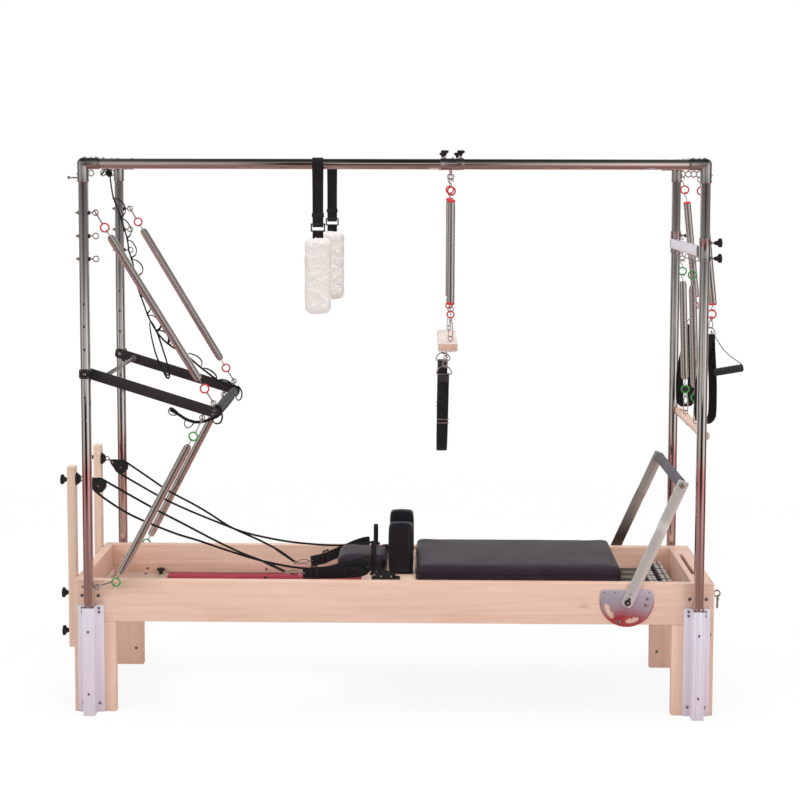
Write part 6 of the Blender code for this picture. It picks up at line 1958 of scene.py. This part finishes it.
z0 = 1.427
BAR_Y = 0.262
p = Part()
stations = [(-BAR_Y, 0.86), (-BAR_Y + 0.0006, 0.93), (-BAR_Y + 0.0020, 0.975), (-BAR_Y + 0.0050, 1.0)]
stations += [(-BAR_Y + 0.008 + (2 * BAR_Y - 0.016) * k / 12, 1.0) for k in range(1, 12)]
stations += [(BAR_Y - 0.0050, 1.0), (BAR_Y - 0.0020, 0.975), (BAR_Y - 0.0006, 0.93), (BAR_Y, 0.86)]
n = len(stations)
p.sweep([(0.2065, y, 1.4105) for y, w in stations], rounded(0.0330, 0.0750, 0.0065, 5), 0, ups=[(0, 0, 1)] * n,
        scale=lambda k, st=stations, nn=n: st[min(nn - 1, int(round(k * (nn - 1))))][1])
for s in (-1, 1):
    # end plates in the darker copy of the bar's wood: painted shade
    p.box((0.1712, 0.2418), tuple(sorted((s * (BAR_Y - 0.004), s * (BAR_Y + 0.0006)))), (1.3962, 1.4248), 2, 0.0030, 2)
    y = s * 0.215
    c = Vector((0.2165, y, z0 + 0.0125))
    eyebolt(p, c, (0, 1, 0), (0, 0, -1), 0.0090, 0.0022, 0.044, 1)
    washer(p, (0.2165, y, z0 - 0.0012), (0, 0, 1), 0.0072, 0.0020, 1)
    washer(p, (0.2165, y, z0 - 0.0322), (0, 0, -1), 0.0072, 0.0018, 1)
    hex_nut(p, (0.2165, y, z0 - 0.0338), (0, 0, -1), 0.0100, 0.0048, 1)
DOWEL_WOOD = maple("turned_dowel", "Y", light=(0.80, 0.585, 0.46), dark=(0.69, 0.46, 0.34), seed=6.4)
put(p, "trapeze_handle", "trapeze", [TRAPEZE_WOOD_PAINTED_SHEEN, CHROME, TRAPEZE_END_PAINTED_SHADE], "trapeze_bar")

for s, side in SIDES:
    y = s * 0.215
    p = Part()
    a = Vector((TRAP_X, y, 2.0485))
    end = Vector((0.2165, y, z0 + 0.0215))
    t = unit(end - a)
    total_ = (end - a).length
    ca, cb = a + t * 0.078, end - t * 0.122
    p.coil(ca, cb, 0.0140, 0.0014, mat=0, taper=7.0)
    collar(p, ca - t * 0.001, t, 0.0140, 2)
    collar(p, cb + t * 0.001, -t, 0.0140, 2)
    hook(p, a + t * 0.006, a + t * 0.028, 0.0020, 1, 0.0074, (1, 0, 0))
    p.ring(a + t * 0.0440, (0.25, 1, 0), 0.0150, 0.0030, 2, 32, 10)
    hook(p, a + t * 0.0615, ca + t * 0.008, 0.0019, 1, 0.0060, (1, 0, 0))
    p.ring(cb + t * 0.0170, (0, 1, 0), 0.0105, 0.0021, 1, 28, 10)
    hook(p, cb + t * 0.0070, cb - t * 0.008, 0.0019, 1, 0.0055, (1, 0, 0))
    p.ring(cb + t * 0.0380, (0.2, 1, 0), 0.0130, 0.0028, 2, 32, 10)
    snap_hook(p, cb + t * 0.0560, end + t * 0.004, (1, 0, 0), 0.0080, 0.0021, 1, 1)
    put(p, f"trapeze_spring_{side}_coil", "trapeze", [NICKEL, CHROME, RED], f"trapeze_spring_{side}", 46)

# sling below the handle: snap hooks, D rings and the webbing
p = Part()
for s in (-1, 1):
    y = s * 0.2300
    top = Vector((0.2005, y, 1.3940))
    # eyebolt under the bar, its ring and the carabiner
    eyebolt(p, (0.2005, y, 1.3800), (1, 0.3, 0), (0, 0, 1), 0.0095, 0.0021, 0.016, 0)
    washer(p, (0.2005, y, 1.3945), (0, 0, -1), 0.0070, 0.0018, 0)
    snap_hook(p, (0.1985, y, 1.3700), (0.1945, y, 1.3310), (1, 0, 0), 0.0090, 0.0022, 0, 0)
    d_ring(p, (0.1930, y, 1.3360), 0.0560, 0.0320, (1, 0, 0), (0, 0, -1), 0.0024, 0)
    for z in (1.1300, 1.1160):
        p.sweep([(0.1655, y, z), (0.2125, y, z)], rounded(0.0038, 0.0082, 0.0014, 2), 0, up=(0, 0, 1))
    p.box((0.1710, 0.2120), tuple(sorted((s * 0.2264, s * 0.2346))), (1.2740, 1.3000), 2, 0.0006, 1)
sling_metal = put(p, "trapeze_sling_fittings", "trapeze", [CHROME, WEB, BLACK])
pts = [(0.1915, -0.2300, 1.3080), (0.1912, -0.2302, 1.2800)]
mid_z, half_y, low_z = 1.280, 0.230, 0.972
for k in range(1, 16):
    a_ = pi * k / 16
    pts.append((0.1912 - 0.0050 * sin(a_), -half_y * cos(a_), mid_z - (mid_z - low_z) * sin(a_)))
pts += [(0.1912, 0.2302, 1.2800), (0.1915, 0.2300, 1.3080)]
path = smooth_path(pts, 110)
q = Part().sweep(path, rounded(0.0410, 0.0026, 0.0012, 2), 0, ups=[(1, 0, 0)] * len(path))
sling = q.object("trapeze_sling_strap", [WEB])
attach(sling, "trapeze")
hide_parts("trapeze_sling")

# =====================================================================
# Tower: sliding cross bar, roll-down bar, arm springs
# =====================================================================
p = Part()
for s in (-1, 1):
    y = s * POST_Y
    p.turned([(0.0196, 1.7440), (0.0212, 1.7440), (0.0220, 1.7448), (0.0220, 1.7490), (0.0214, 1.7500),
              (0.0214, 1.8280), (0.0220, 1.8290), (0.0220, 1.8332), (0.0212, 1.8340), (0.0196, 1.8340)],
             (POST_X, y, 0), (0, 0, 1), 56, 0)
    for z in (1.815, 1.757):
        p.lathe([(0, 0), (0.0066, 0), (0.0070, 0.0008), (0.0066, 0.0050), (0.0050, 0.0060), (0, 0.0060)],
                (POST_X + 0.0208, y, z), (1, 0, 0), 24, 1)
        star_knob(p, (POST_X + 0.0262, y, z), (1, 0, 0), 0.0180, 0.0290, 5, 2, 0.0090, 1)
# cross bar with rolled ends, welded to the sleeves
p.sweep([(1.146, -0.3300, 1.7825), (1.146, 0.3300, 1.7825)], rounded(0.0400, 0.0236, 0.0070, 4), 3, up=(0, 0, 1))
for s in (-1, 1):
    y = s * 0.3215
    p.sweep([(1.146, y, 1.7825), (1.146, y + s * 0.0100, 1.7825)], rounded(0.0420, 0.0262, 0.0078, 4), 0, up=(0, 0, 1))
for y in (-0.12, 0.12):
    eyebolt(p, (1.152, y, 1.733), (0, 1, 0), (0, 0, 1), 0.0095, 0.0023, 0.020, 1)
    washer(p, (1.152, y, 1.7572), (0, 0, -1), 0.0078, 0.0024, 1)
    hex_nut(p, (1.152, y, 1.8078), (0, 0, 1), 0.0110, 0.0055, 1)
for y in (-0.215, 0.0, 0.215):
    p.ring((1.1520, y, 1.7480), (0, 1, 0), 0.0085, 0.0021, 1, 26, 10)
    washer(p, (1.152, y, 1.7572), (0, 0, -1), 0.0070, 0.0020, 1)
put(p, "tower_bar", "tower_slider", [SLEEVE, CHROME, BLACK, ALU_Y], "tower_slider")

ROLL_X, DOWEL = 1.152, (1.180, 1.084)
p = Part()
rows = [(0, -0.322), (0.0120, -0.322), (0.0150, -0.3212), (0.0168, -0.3190), (0.0175, -0.3150)]
rows += [(0.0175, -0.315 + 0.630 * k / 10) for k in range(1, 10)]
rows += [(0.0175, 0.3150), (0.0168, 0.3190), (0.0150, 0.3212), (0.0120, 0.322), (0, 0.322)]
p.lathe(rows, (DOWEL[0], 0, DOWEL[1]), (0, 1, 0), 44, 0)
for s in (-1, 1):
    y = s * 0.12
    c = Vector((DOWEL[0] - 0.0045, y, DOWEL[1] + 0.0245))
    eyebolt(p, c, (0, 1, 0), (0.12, 0, -1), 0.0090, 0.0022, 0.046, 1)
    washer(p, (DOWEL[0] - 0.0015, y, DOWEL[1] + 0.0168), (0, 0, 1), 0.0064, 0.0020, 1)
    washer(p, (DOWEL[0], y, DOWEL[1] - 0.0168), (0, 0, -1), 0.0064, 0.0018, 1)
    hex_nut(p, (DOWEL[0], y, DOWEL[1] - 0.0184), (0, 0, -1), 0.0096, 0.0048, 1)
put(p, "roll_down_dowel", "roll_down", [DOWEL_WOOD, CHROME], "roll_down_bar")

for s, side in SIDES:
    y = s * 0.12
    a = Vector((ROLL_X, y, 1.7250))
    end = Vector((DOWEL[0] - 0.0045, y, DOWEL[1] + 0.0330))
    t = unit(end - a)
    p = Part()
    ca, cb = a + t * 0.084, end - t * 0.126
    p.coil(ca, cb, 0.0140, 0.0014, mat=0, taper=7.0)
    hook(p, a + t * 0.005, a + t * 0.026, 0.0020, 1, 0.0074, (1, 0, 0))
    p.ring(a + t * 0.0440, (0.2, 1, 0), 0.0150, 0.0030, 2, 32, 10)
    hook(p, a + t * 0.0615, ca + t * 0.008, 0.0019, 1, 0.0060, (1, 0, 0))
    hook(p, cb + t * 0.0230, cb - t * 0.008, 0.0019, 1, 0.0060, (1, 0, 0))
    p.ring(cb + t * 0.0400, (0.2, 1, 0), 0.0150, 0.0030, 2, 32, 10)
    p.lathe([(0, -0.0012), (0.0122, -0.0012), (0.0122, 0.0012), (0, 0.0012)], cb + t * 0.0400, (0.2, 1, 0), 26, 3)
    snap_hook(p, cb + t * 0.0600, end + t * 0.004, (1, 0, 0), 0.0085, 0.0022, 1, 1)
    put(p, f"roll_down_spring_{side}_coil", "roll_down", [NICKEL, CHROME, GREEN, BLACK],
        f"roll_down_spring_{side}", 46)

ARM_Y, ARM_A, ARM_B = 0.2, Vector((1.180, 0, 1.957)), Vector((1.221, 0, 1.572))
for s, side in SIDES:
    y = s * ARM_Y
    a, b = ARM_A + Vector((0, y, 0)), ARM_B + Vector((0, y, 0))
    t = unit(b - a)
    p = Part()
    p.coil(a, b, 0.0140, 0.0014, mat=0)
    collar(p, a - t * 0.001, t, 0.0140, 2)
    collar(p, b + t * 0.001, -t, 0.0140, 2)
    eye = Vector((1.1605, y, 2.0560))
    up_t = unit(a - eye)
    r1 = eye + up_t * 0.0500
    hook(p, eye + up_t * 0.006, eye + up_t * 0.036, 0.0020, 1, 0.0074, (1, 0, 0))
    p.ring(r1, (0.15, 1, 0), 0.0155, 0.0031, 2, 32, 10)
    hook(p, r1 + up_t * 0.0170, a + t * 0.008, 0.0019, 1, 0.0062, (1, 0, 0))
    tri = Vector((1.213, y, 1.4880))
    dn = unit(tri - b)
    r2 = b + dn * 0.0360
    hook(p, b + dn * 0.0180, b - t * 0.008, 0.0019, 1, 0.0062, (1, 0, 0))
    p.ring(r2, (0.15, 1, 0), 0.0155, 0.0031, 2, 32, 10)
    snap_hook(p, r2 + dn * 0.0150, tri + dn * 0.006, (1, 0, 0), 0.0078, 0.0021, 1, 1)
    # the strap hangs turned about the upright line through its ring
    d_top = Vector((1.2130 if s < 0 else 1.2050, y, 1.4850))
    turn, u_mid, half = (rad(45), -0.0240, 0.0465) if s < 0 else (rad(-60), -0.0300, 0.0370)
    ahead_, across_ = Vector((cos(turn), sin(turn), 0)), Vector((-sin(turn), cos(turn), 0))
    d_ring(p, d_top, 0.044, 0.030, tuple(across_), (0, 0, -1), 0.0022, 1)
    zt = 1.4575
    xt = d_top.x
    flat_loop = [(0.0, zt), (half * 0.34 + u_mid * 0.35, zt - 0.060), (half * 0.80 + u_mid * 0.80, zt - 0.150),
                 (u_mid + half, 1.235), (u_mid + half * 0.98, 1.156)]
    for a_ in (-35, -65, -90, -115, -145):
        flat_loop.append((u_mid + half * cos(rad(a_)), 1.156 + 0.038 * sin(rad(a_))))
    flat_loop += [(u_mid - half * 0.98, 1.156), (u_mid - half, 1.235), (u_mid * 0.80 - half * 0.80, zt - 0.150),
                  (u_mid * 0.35 - half * 0.36, zt - 0.060)]
    loop = [Vector((xt, y, z)) + ahead_ * u for u, z in flat_loop]
    path = smooth_path(loop, 100, True)
    q = Part().sweep(path, rounded(0.0380, 0.0026, 0.0012, 2), 0, closed=True, ups=[tuple(across_)] * len(path))
    strap = q.object(f"arm_strap_{side}", [WEB])
    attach(strap, f"arm_{side}")
    # sewn throat under the ring
    p.sweep([(xt, y, zt - 0.0300), (xt, y, zt + 0.0020)], rounded(0.0092, 0.0384, 0.0018, 2), 3, up=tuple(ahead_))
    if s < 0:
        g0, g1 = Vector((1.226, -0.235, 1.316)), Vector((1.3325, -0.235, 1.334))
        gt = unit(g1 - g0)
        for at in (g0 + gt * 0.004, g1 - gt * 0.004):
            start = d_top + Vector((0.002, -0.004, -0.012))
            mid = start.lerp(at + Vector((0, 0, 0.010)), 0.5) + Vector((-0.004, -0.004, -0.014))
            p.sweep(smooth_path([start, mid, at + Vector((0, 0.0, 0.013)), at], 22), circle(0.0016, 8), 4)
        for at, d in ((g0, -1), (g1, 1)):
            p.lathe([(0, 0), (0.0090, 0), (0.0094, 0.0006), (0.0094, 0.0016), (0.0080, 0.0020), (0, 0.0020)],
                    at - gt * d * 0.0006, gt * d, 24, 5)
    hardware = put(p, f"arm_spring_{side}_coil", f"arm_{side}", [NICKEL, CHROME, RED, WEB, ROPE, BLACK],
                   f"arm_spring_{side}", 46)
    if s < 0:
        grip("arm_handle_grip", g0, g1, 0.0150, "arm_near", None, FOAM_DARK, seed=9.0, seg=34)

# =====================================================================
# Fleece foot loops
# =====================================================================
for s, side in SIDES:
    x = -0.282 if s < 0 else -0.270
    y = s * POST_Y
    # strap over the rail, down to the slider
    top = []
    for a_ in range(0, 181, 15):
        top.append((x, y - 0.0226 * cos(rad(a_)), TOP_Z + 0.0226 * sin(rad(a_))))
    strap_pts = [(x, y - 0.0042, 1.8700), (x, y - 0.0046, 1.9700), (x, y - 0.0120, 2.0500), (x, y - 0.0205, 2.0850)] + top + \
                [(x, y + 0.0205, 2.0850), (x, y + 0.0120, 2.0500), (x, y + 0.0046, 1.9700), (x, y + 0.0042, 1.8700)]
    path = smooth_path(strap_pts, 84)
    strap = Part().sweep(path, rounded(0.0400, 0.0028, 0.0012, 2), 0, ups=[(1, 0, 0)] * len(path)).object(
        f"fleece_strap_{side}", [WEB])
    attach(strap, f"fleece_{side}")
    p = Part()
    for z in (1.8820, 1.8560):
        p.sweep([(x - 0.0245, y, z), (x + 0.0245, y, z)], rounded(0.0052, 0.0150, 0.0018, 2), 0, up=(0, 0, 1))
    for dx in (-0.0245, 0.0245):
        p.sweep([(x + dx, y, 1.8545), (x + dx, y, 1.8835)], rounded(0.0050, 0.0130, 0.0018, 2), 0, up=(1, 0, 0))
    p.box((x - 0.0200, x + 0.0200), (y - 0.0062, y + 0.0062), (1.8240, 1.8560), 1, 0.0014, 2)
    for z in (1.9150,):
        p.sweep([(x - 0.0225, y, z), (x + 0.0225, y, z)], rounded(0.0160, 0.0150, 0.0020, 2), 1, up=(0, 0, 1))
    hw = put(p, f"fleece_slider_{side}", f"fleece_{side}", [BLACK, WEB])
    # curly pad: a folded cuff, built of a loop shell and pushed out in curls
    mesh = pad_mesh(f"fleece_pad_{side}", (x - 0.0480, x + 0.0480), (y - 0.0235, y + 0.0235), (1.5480, 1.8310), 0.0220,
                    0.0240, 0.0240, 0.0010, 0.0)
    obj = bpy.data.objects.new(f"fleece_pad_{side}", mesh)
    scene.collection.objects.link(obj)
    rem = obj.modifiers.new("remesh", "REMESH")
    rem.mode, rem.voxel_size = "VOXEL", 0.0030
    sub = obj.modifiers.new("subdivide", "SUBSURF")
    sub.levels = sub.render_levels = 0
    dg = bpy.context.evaluated_depsgraph_get()
    even = bpy.data.meshes.new_from_object(obj.evaluated_get(dg), depsgraph=dg)
    obj.modifiers.clear()
    obj.data = even
    even.name = f"fleece_pad_{side}"
    n = len(even.vertices)
    co = np.empty(n * 3)
    even.vertices.foreach_get("co", co)
    co = co.reshape(-1, 3)
    nor = np.empty(n * 3)
    even.vertices.foreach_get("normal", nor)
    nor = nor.reshape(-1, 3)
    out = co.copy()
    for i in range(n):
        v = Vector(co[i])
        big = noise.noise(v * 42 + Vector((s * 5, 0, 0)))
        curl = 1 - abs(noise.noise(v * 120 + Vector((0, s * 3, 0)))) * 2
        small = 1 - abs(noise.noise(v * 260 + Vector((1, 0, s)))) * 2
        # where the cuff is folded, half way down, no waist is made
        h = (v.z - 1.548) / 0.283
        waist = 0.0
        out[i] = co[i] + nor[i] * (0.0030 * big + 0.0022 * curl + 0.0011 * small - 0.0006)
    out[:, 0] += SX
    even.vertices.foreach_set("co", out.ravel())
    even.update()
    even.materials.clear()
    even.materials.append(FLEECE)
    even.shade_smooth()
    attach(obj, f"fleece_{side}")
    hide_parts(f"fleece_loop_{side}")

# =====================================================================
# Floor, light and world
# =====================================================================
m = Mat("pale_floor")
soft = m.noise(m.where(), 1.5, 4, 0.5)
m.set("Base Color", m.mix(m.span(soft, 0.3, 0.7, 0, 1), (0.86, 0.86, 0.865), (0.90, 0.90, 0.90)))
m.set("Roughness", m.span(soft, 0.3, 0.7, 0.55, 0.65))
m.set("Specular IOR Level", 0.1)
glow = m.node("ShaderNodeEmission", {"Color": (1, 1, 1, 1), "Strength": 1.0}).outputs[0]
lit = m.t.nodes.new("ShaderNodeMixShader")
path_in = m.node("ShaderNodeLightPath").outputs
m.t.links.new(m.math("MULTIPLY", path_in["Is Camera Ray"], 0.88), lit.inputs[0])
m.t.links.new(m.bsdf.outputs[0], lit.inputs[1])
m.t.links.new(glow, lit.inputs[2])
flat_xy = m.node("ShaderNodeVectorMath", {0: m.where(), 1: (1, 1, 0)}, operation="MULTIPLY").outputs[0]
dist = m.node("ShaderNodeVectorMath", {0: flat_xy}, operation="LENGTH").outputs["Value"]
gone = m.math("MAXIMUM", m.span(dist, 2.4, 5.5, 0, 1), path_in["Is Glossy Ray"])
clear = m.node("ShaderNodeBsdfTransparent").outputs[0]
fade = m.t.nodes.new("ShaderNodeMixShader")
m.t.links.new(gone, fade.inputs[0])
m.t.links.new(lit.outputs[0], fade.inputs[1])
m.t.links.new(clear, fade.inputs[2])
m.t.links.new(fade.outputs[0], m.out.inputs[0])
floor_mesh = bpy.data.meshes.new("floor")
bm = bmesh.new()
bmesh.ops.create_grid(bm, x_segments=8, y_segments=8, size=7)
bm.to_mesh(floor_mesh)
bm.free()
floor_mesh.materials.append(m.m)
floor = bpy.data.objects.new("floor", floor_mesh)
floor.location = (0, 0, -0.0005)
scene.collection.objects.link(floor)

# The room: white to the eye, even and soft as light, and with the bands of a
# studio's panels and gaps where it is mirrored in metal.
world_ = bpy.data.worlds.new("studio")
scene.world = world_
world_.use_nodes = True
nt = world_.node_tree
nt.nodes.clear()


def wnode(kind, inputs=None, **props):
    n = nt.nodes.new(kind)
    for key, value in props.items():
        setattr(n, key, value)
    for key, value in (inputs or {}).items():
        if isinstance(value, bpy.types.NodeSocket):
            nt.links.new(value, n.inputs[key])
        else:
            n.inputs[key].default_value = value
    return n


def wmath(op, a, b=0.0):
    return wnode("ShaderNodeMath", {0: a, 1: b}, operation=op).outputs[0]


def wspan(v, a, b, c=0.0, d=1.0):
    return wnode("ShaderNodeMapRange", {"Value": v, "From Min": a, "From Max": b, "To Min": c, "To Max": d}).outputs[0]


def wramp(fac, stops):
    n = wnode("ShaderNodeValToRGB", {"Fac": fac})
    e = n.color_ramp.elements
    while len(e) < len(stops):
        e.new(0.5)
    for i, (at, v) in enumerate(stops):
        e[i].position = at
        e[i].color = (*v, 1) if hasattr(v, "__len__") else (v, v, v, 1)
    return n.outputs[0]


def wmix(fac, a, b, blend="MIX"):
    n = nt.nodes.new("ShaderNodeMix")
    n.data_type, n.blend_type = "RGBA", blend
    for i, value in ((0, fac), (6, a), (7, b)):
        if isinstance(value, bpy.types.NodeSocket):
            nt.links.new(value, n.inputs[i])
        else:
            n.inputs[i].default_value = (*value, 1) if hasattr(value, "__len__") else value
    return n.outputs[2]


direction = wnode("ShaderNodeTexCoord").outputs["Generated"]
dxyz = wnode("ShaderNodeSeparateXYZ", {0: direction}).outputs
azimuth = wmath("DIVIDE", wmath("ARCTAN2", dxyz[0], wmath("MULTIPLY", dxyz[1], -1.0)), 2 * pi)
azimuth = wmath("ADD", azimuth, 0.5)                       # 0.5 is straight towards the camera
elevation = wmath("ADD", wmath("DIVIDE", wmath("ARCSINE", dxyz[2]), pi), 0.5)   # 0.5 is level
around = wramp(azimuth, [(0.0, 0.80), (0.11, 0.84), (0.167, 0.40), (0.205, 0.05), (0.25, 0.10), (0.294, 0.48),
                         (0.37, 0.62), (0.410, 0.48), (0.436, 0.03), (0.50, 0.005), (0.535, 0.02),
                         (0.566, 0.50), (0.63, 1.0), (0.672, 0.86), (0.706, 0.42), (0.764, 0.02), (0.806, 0.03),
                         (0.861, 0.52), (0.917, 0.84), (1.0, 0.80)])
# above the panels it darkens, overhead and behind it is pale again
ahead = wramp(elevation, [(0.0, (0.40, 0.33, 0.32)), (0.12, (0.30, 0.24, 0.23)), (0.25, (0.32, 0.27, 0.25)),
                          (0.36, (0.36, 0.31, 0.29)), (0.400, (0.06, 0.05, 0.05)), (0.415, (0.012, 0.010, 0.010)),
                          (0.501, (0.010, 0.009, 0.009)), (0.513, (0.70, 0.66, 0.63)), (0.575, (0.70, 0.66, 0.63)),
                          (0.635, (0.17, 0.15, 0.14)), (0.72, (0.03, 0.028, 0.027)), (0.90, (0.02, 0.02, 0.02)),
                          (1.0, (0.03, 0.03, 0.03))])
front = wmath("MULTIPLY", wspan(azimuth, 0.452, 0.468), wspan(azimuth, 0.548, 0.532))
high = wmath("MAXIMUM", wspan(elevation, 0.57, 0.66), wspan(elevation, 0.40, 0.30))
sides = wmix(high, around, wramp(elevation, [(0.0, (0.40, 0.33, 0.32)), (0.25, (0.34, 0.29, 0.27)), (0.5, 0.5),
                                             (0.66, 0.24), (0.78, 0.07), (0.90, 0.03), (1.0, 0.03)]))
warm = wramp(elevation, [(0.0, (1.0, 0.80, 0.78)), (0.380, (1.0, 0.60, 0.59)), (0.412, (1.0, 0.42, 0.43)),
                         (0.422, (1.0, 0.47, 0.47)), (0.430, (1.0, 0.66, 0.62)), (0.437, (1.0, 0.81, 0.74)),
                         (0.452, (1.0, 0.91, 0.86)), (0.475, (1.0, 0.97, 0.955)), (1.0, (1.0, 0.99, 0.975))])
mirrored = wmix(front, sides, ahead)
mirrored = wmix(1.0, mirrored, warm, "MULTIPLY")
glossy_bg = wnode("ShaderNodeBackground", {"Color": mirrored, "Strength": 1.12}).outputs[0]
soft_light = wramp(elevation, [(0.0, 0.42), (0.45, 0.50), (0.55, 0.58), (1.0, 0.66)])
even_bg = wnode("ShaderNodeBackground", {"Color": soft_light, "Strength": 0.80}).outputs[0]
white_bg = wnode("ShaderNodeBackground", {"Color": (1, 1, 1, 1), "Strength": 1.0}).outputs[0]
kind = wnode("ShaderNodeLightPath").outputs
pick_a = wnode("ShaderNodeMixShader", {0: kind["Is Glossy Ray"], 1: even_bg, 2: glossy_bg}).outputs[0]
pick_b = wnode("ShaderNodeMixShader", {0: kind["Is Camera Ray"], 1: pick_a, 2: white_bg}).outputs[0]
wnode("ShaderNodeOutputWorld", {0: pick_b})


def area_light(name, at, target, sx, sy, watts, colour=(1, 1, 1)):
    data = bpy.data.lights.new(name, "AREA")
    data.shape = "RECTANGLE"
    data.size, data.size_y = sx, sy
    data.energy = watts
    data.color = colour
    obj = bpy.data.objects.new(name, data)
    at, target = Vector(at), Vector(target)
    obj.matrix_world = Matrix.Translation(at) @ (target - at).to_track_quat("-Z", "Y").to_matrix().to_4x4()
    obj.visible_glossy = False
    scene.collection.objects.link(obj)
    return obj


area_light("soft_left", (-12.0, -14.0, 9.0), (0, 0, 0.9), 7.0, 7.0, 900, (1.0, 0.985, 0.965))
area_light("soft_right", (12.5, -14.0, 9.0), (0, 0, 0.9), 7.0, 7.0, 900, (1.0, 0.985, 0.97))
area_light("soft_top", (0, -0.3, 8.0), (0, 0, 0.5), 6.0, 5.0, 470)
scene.view_settings.view_transform = "Standard"
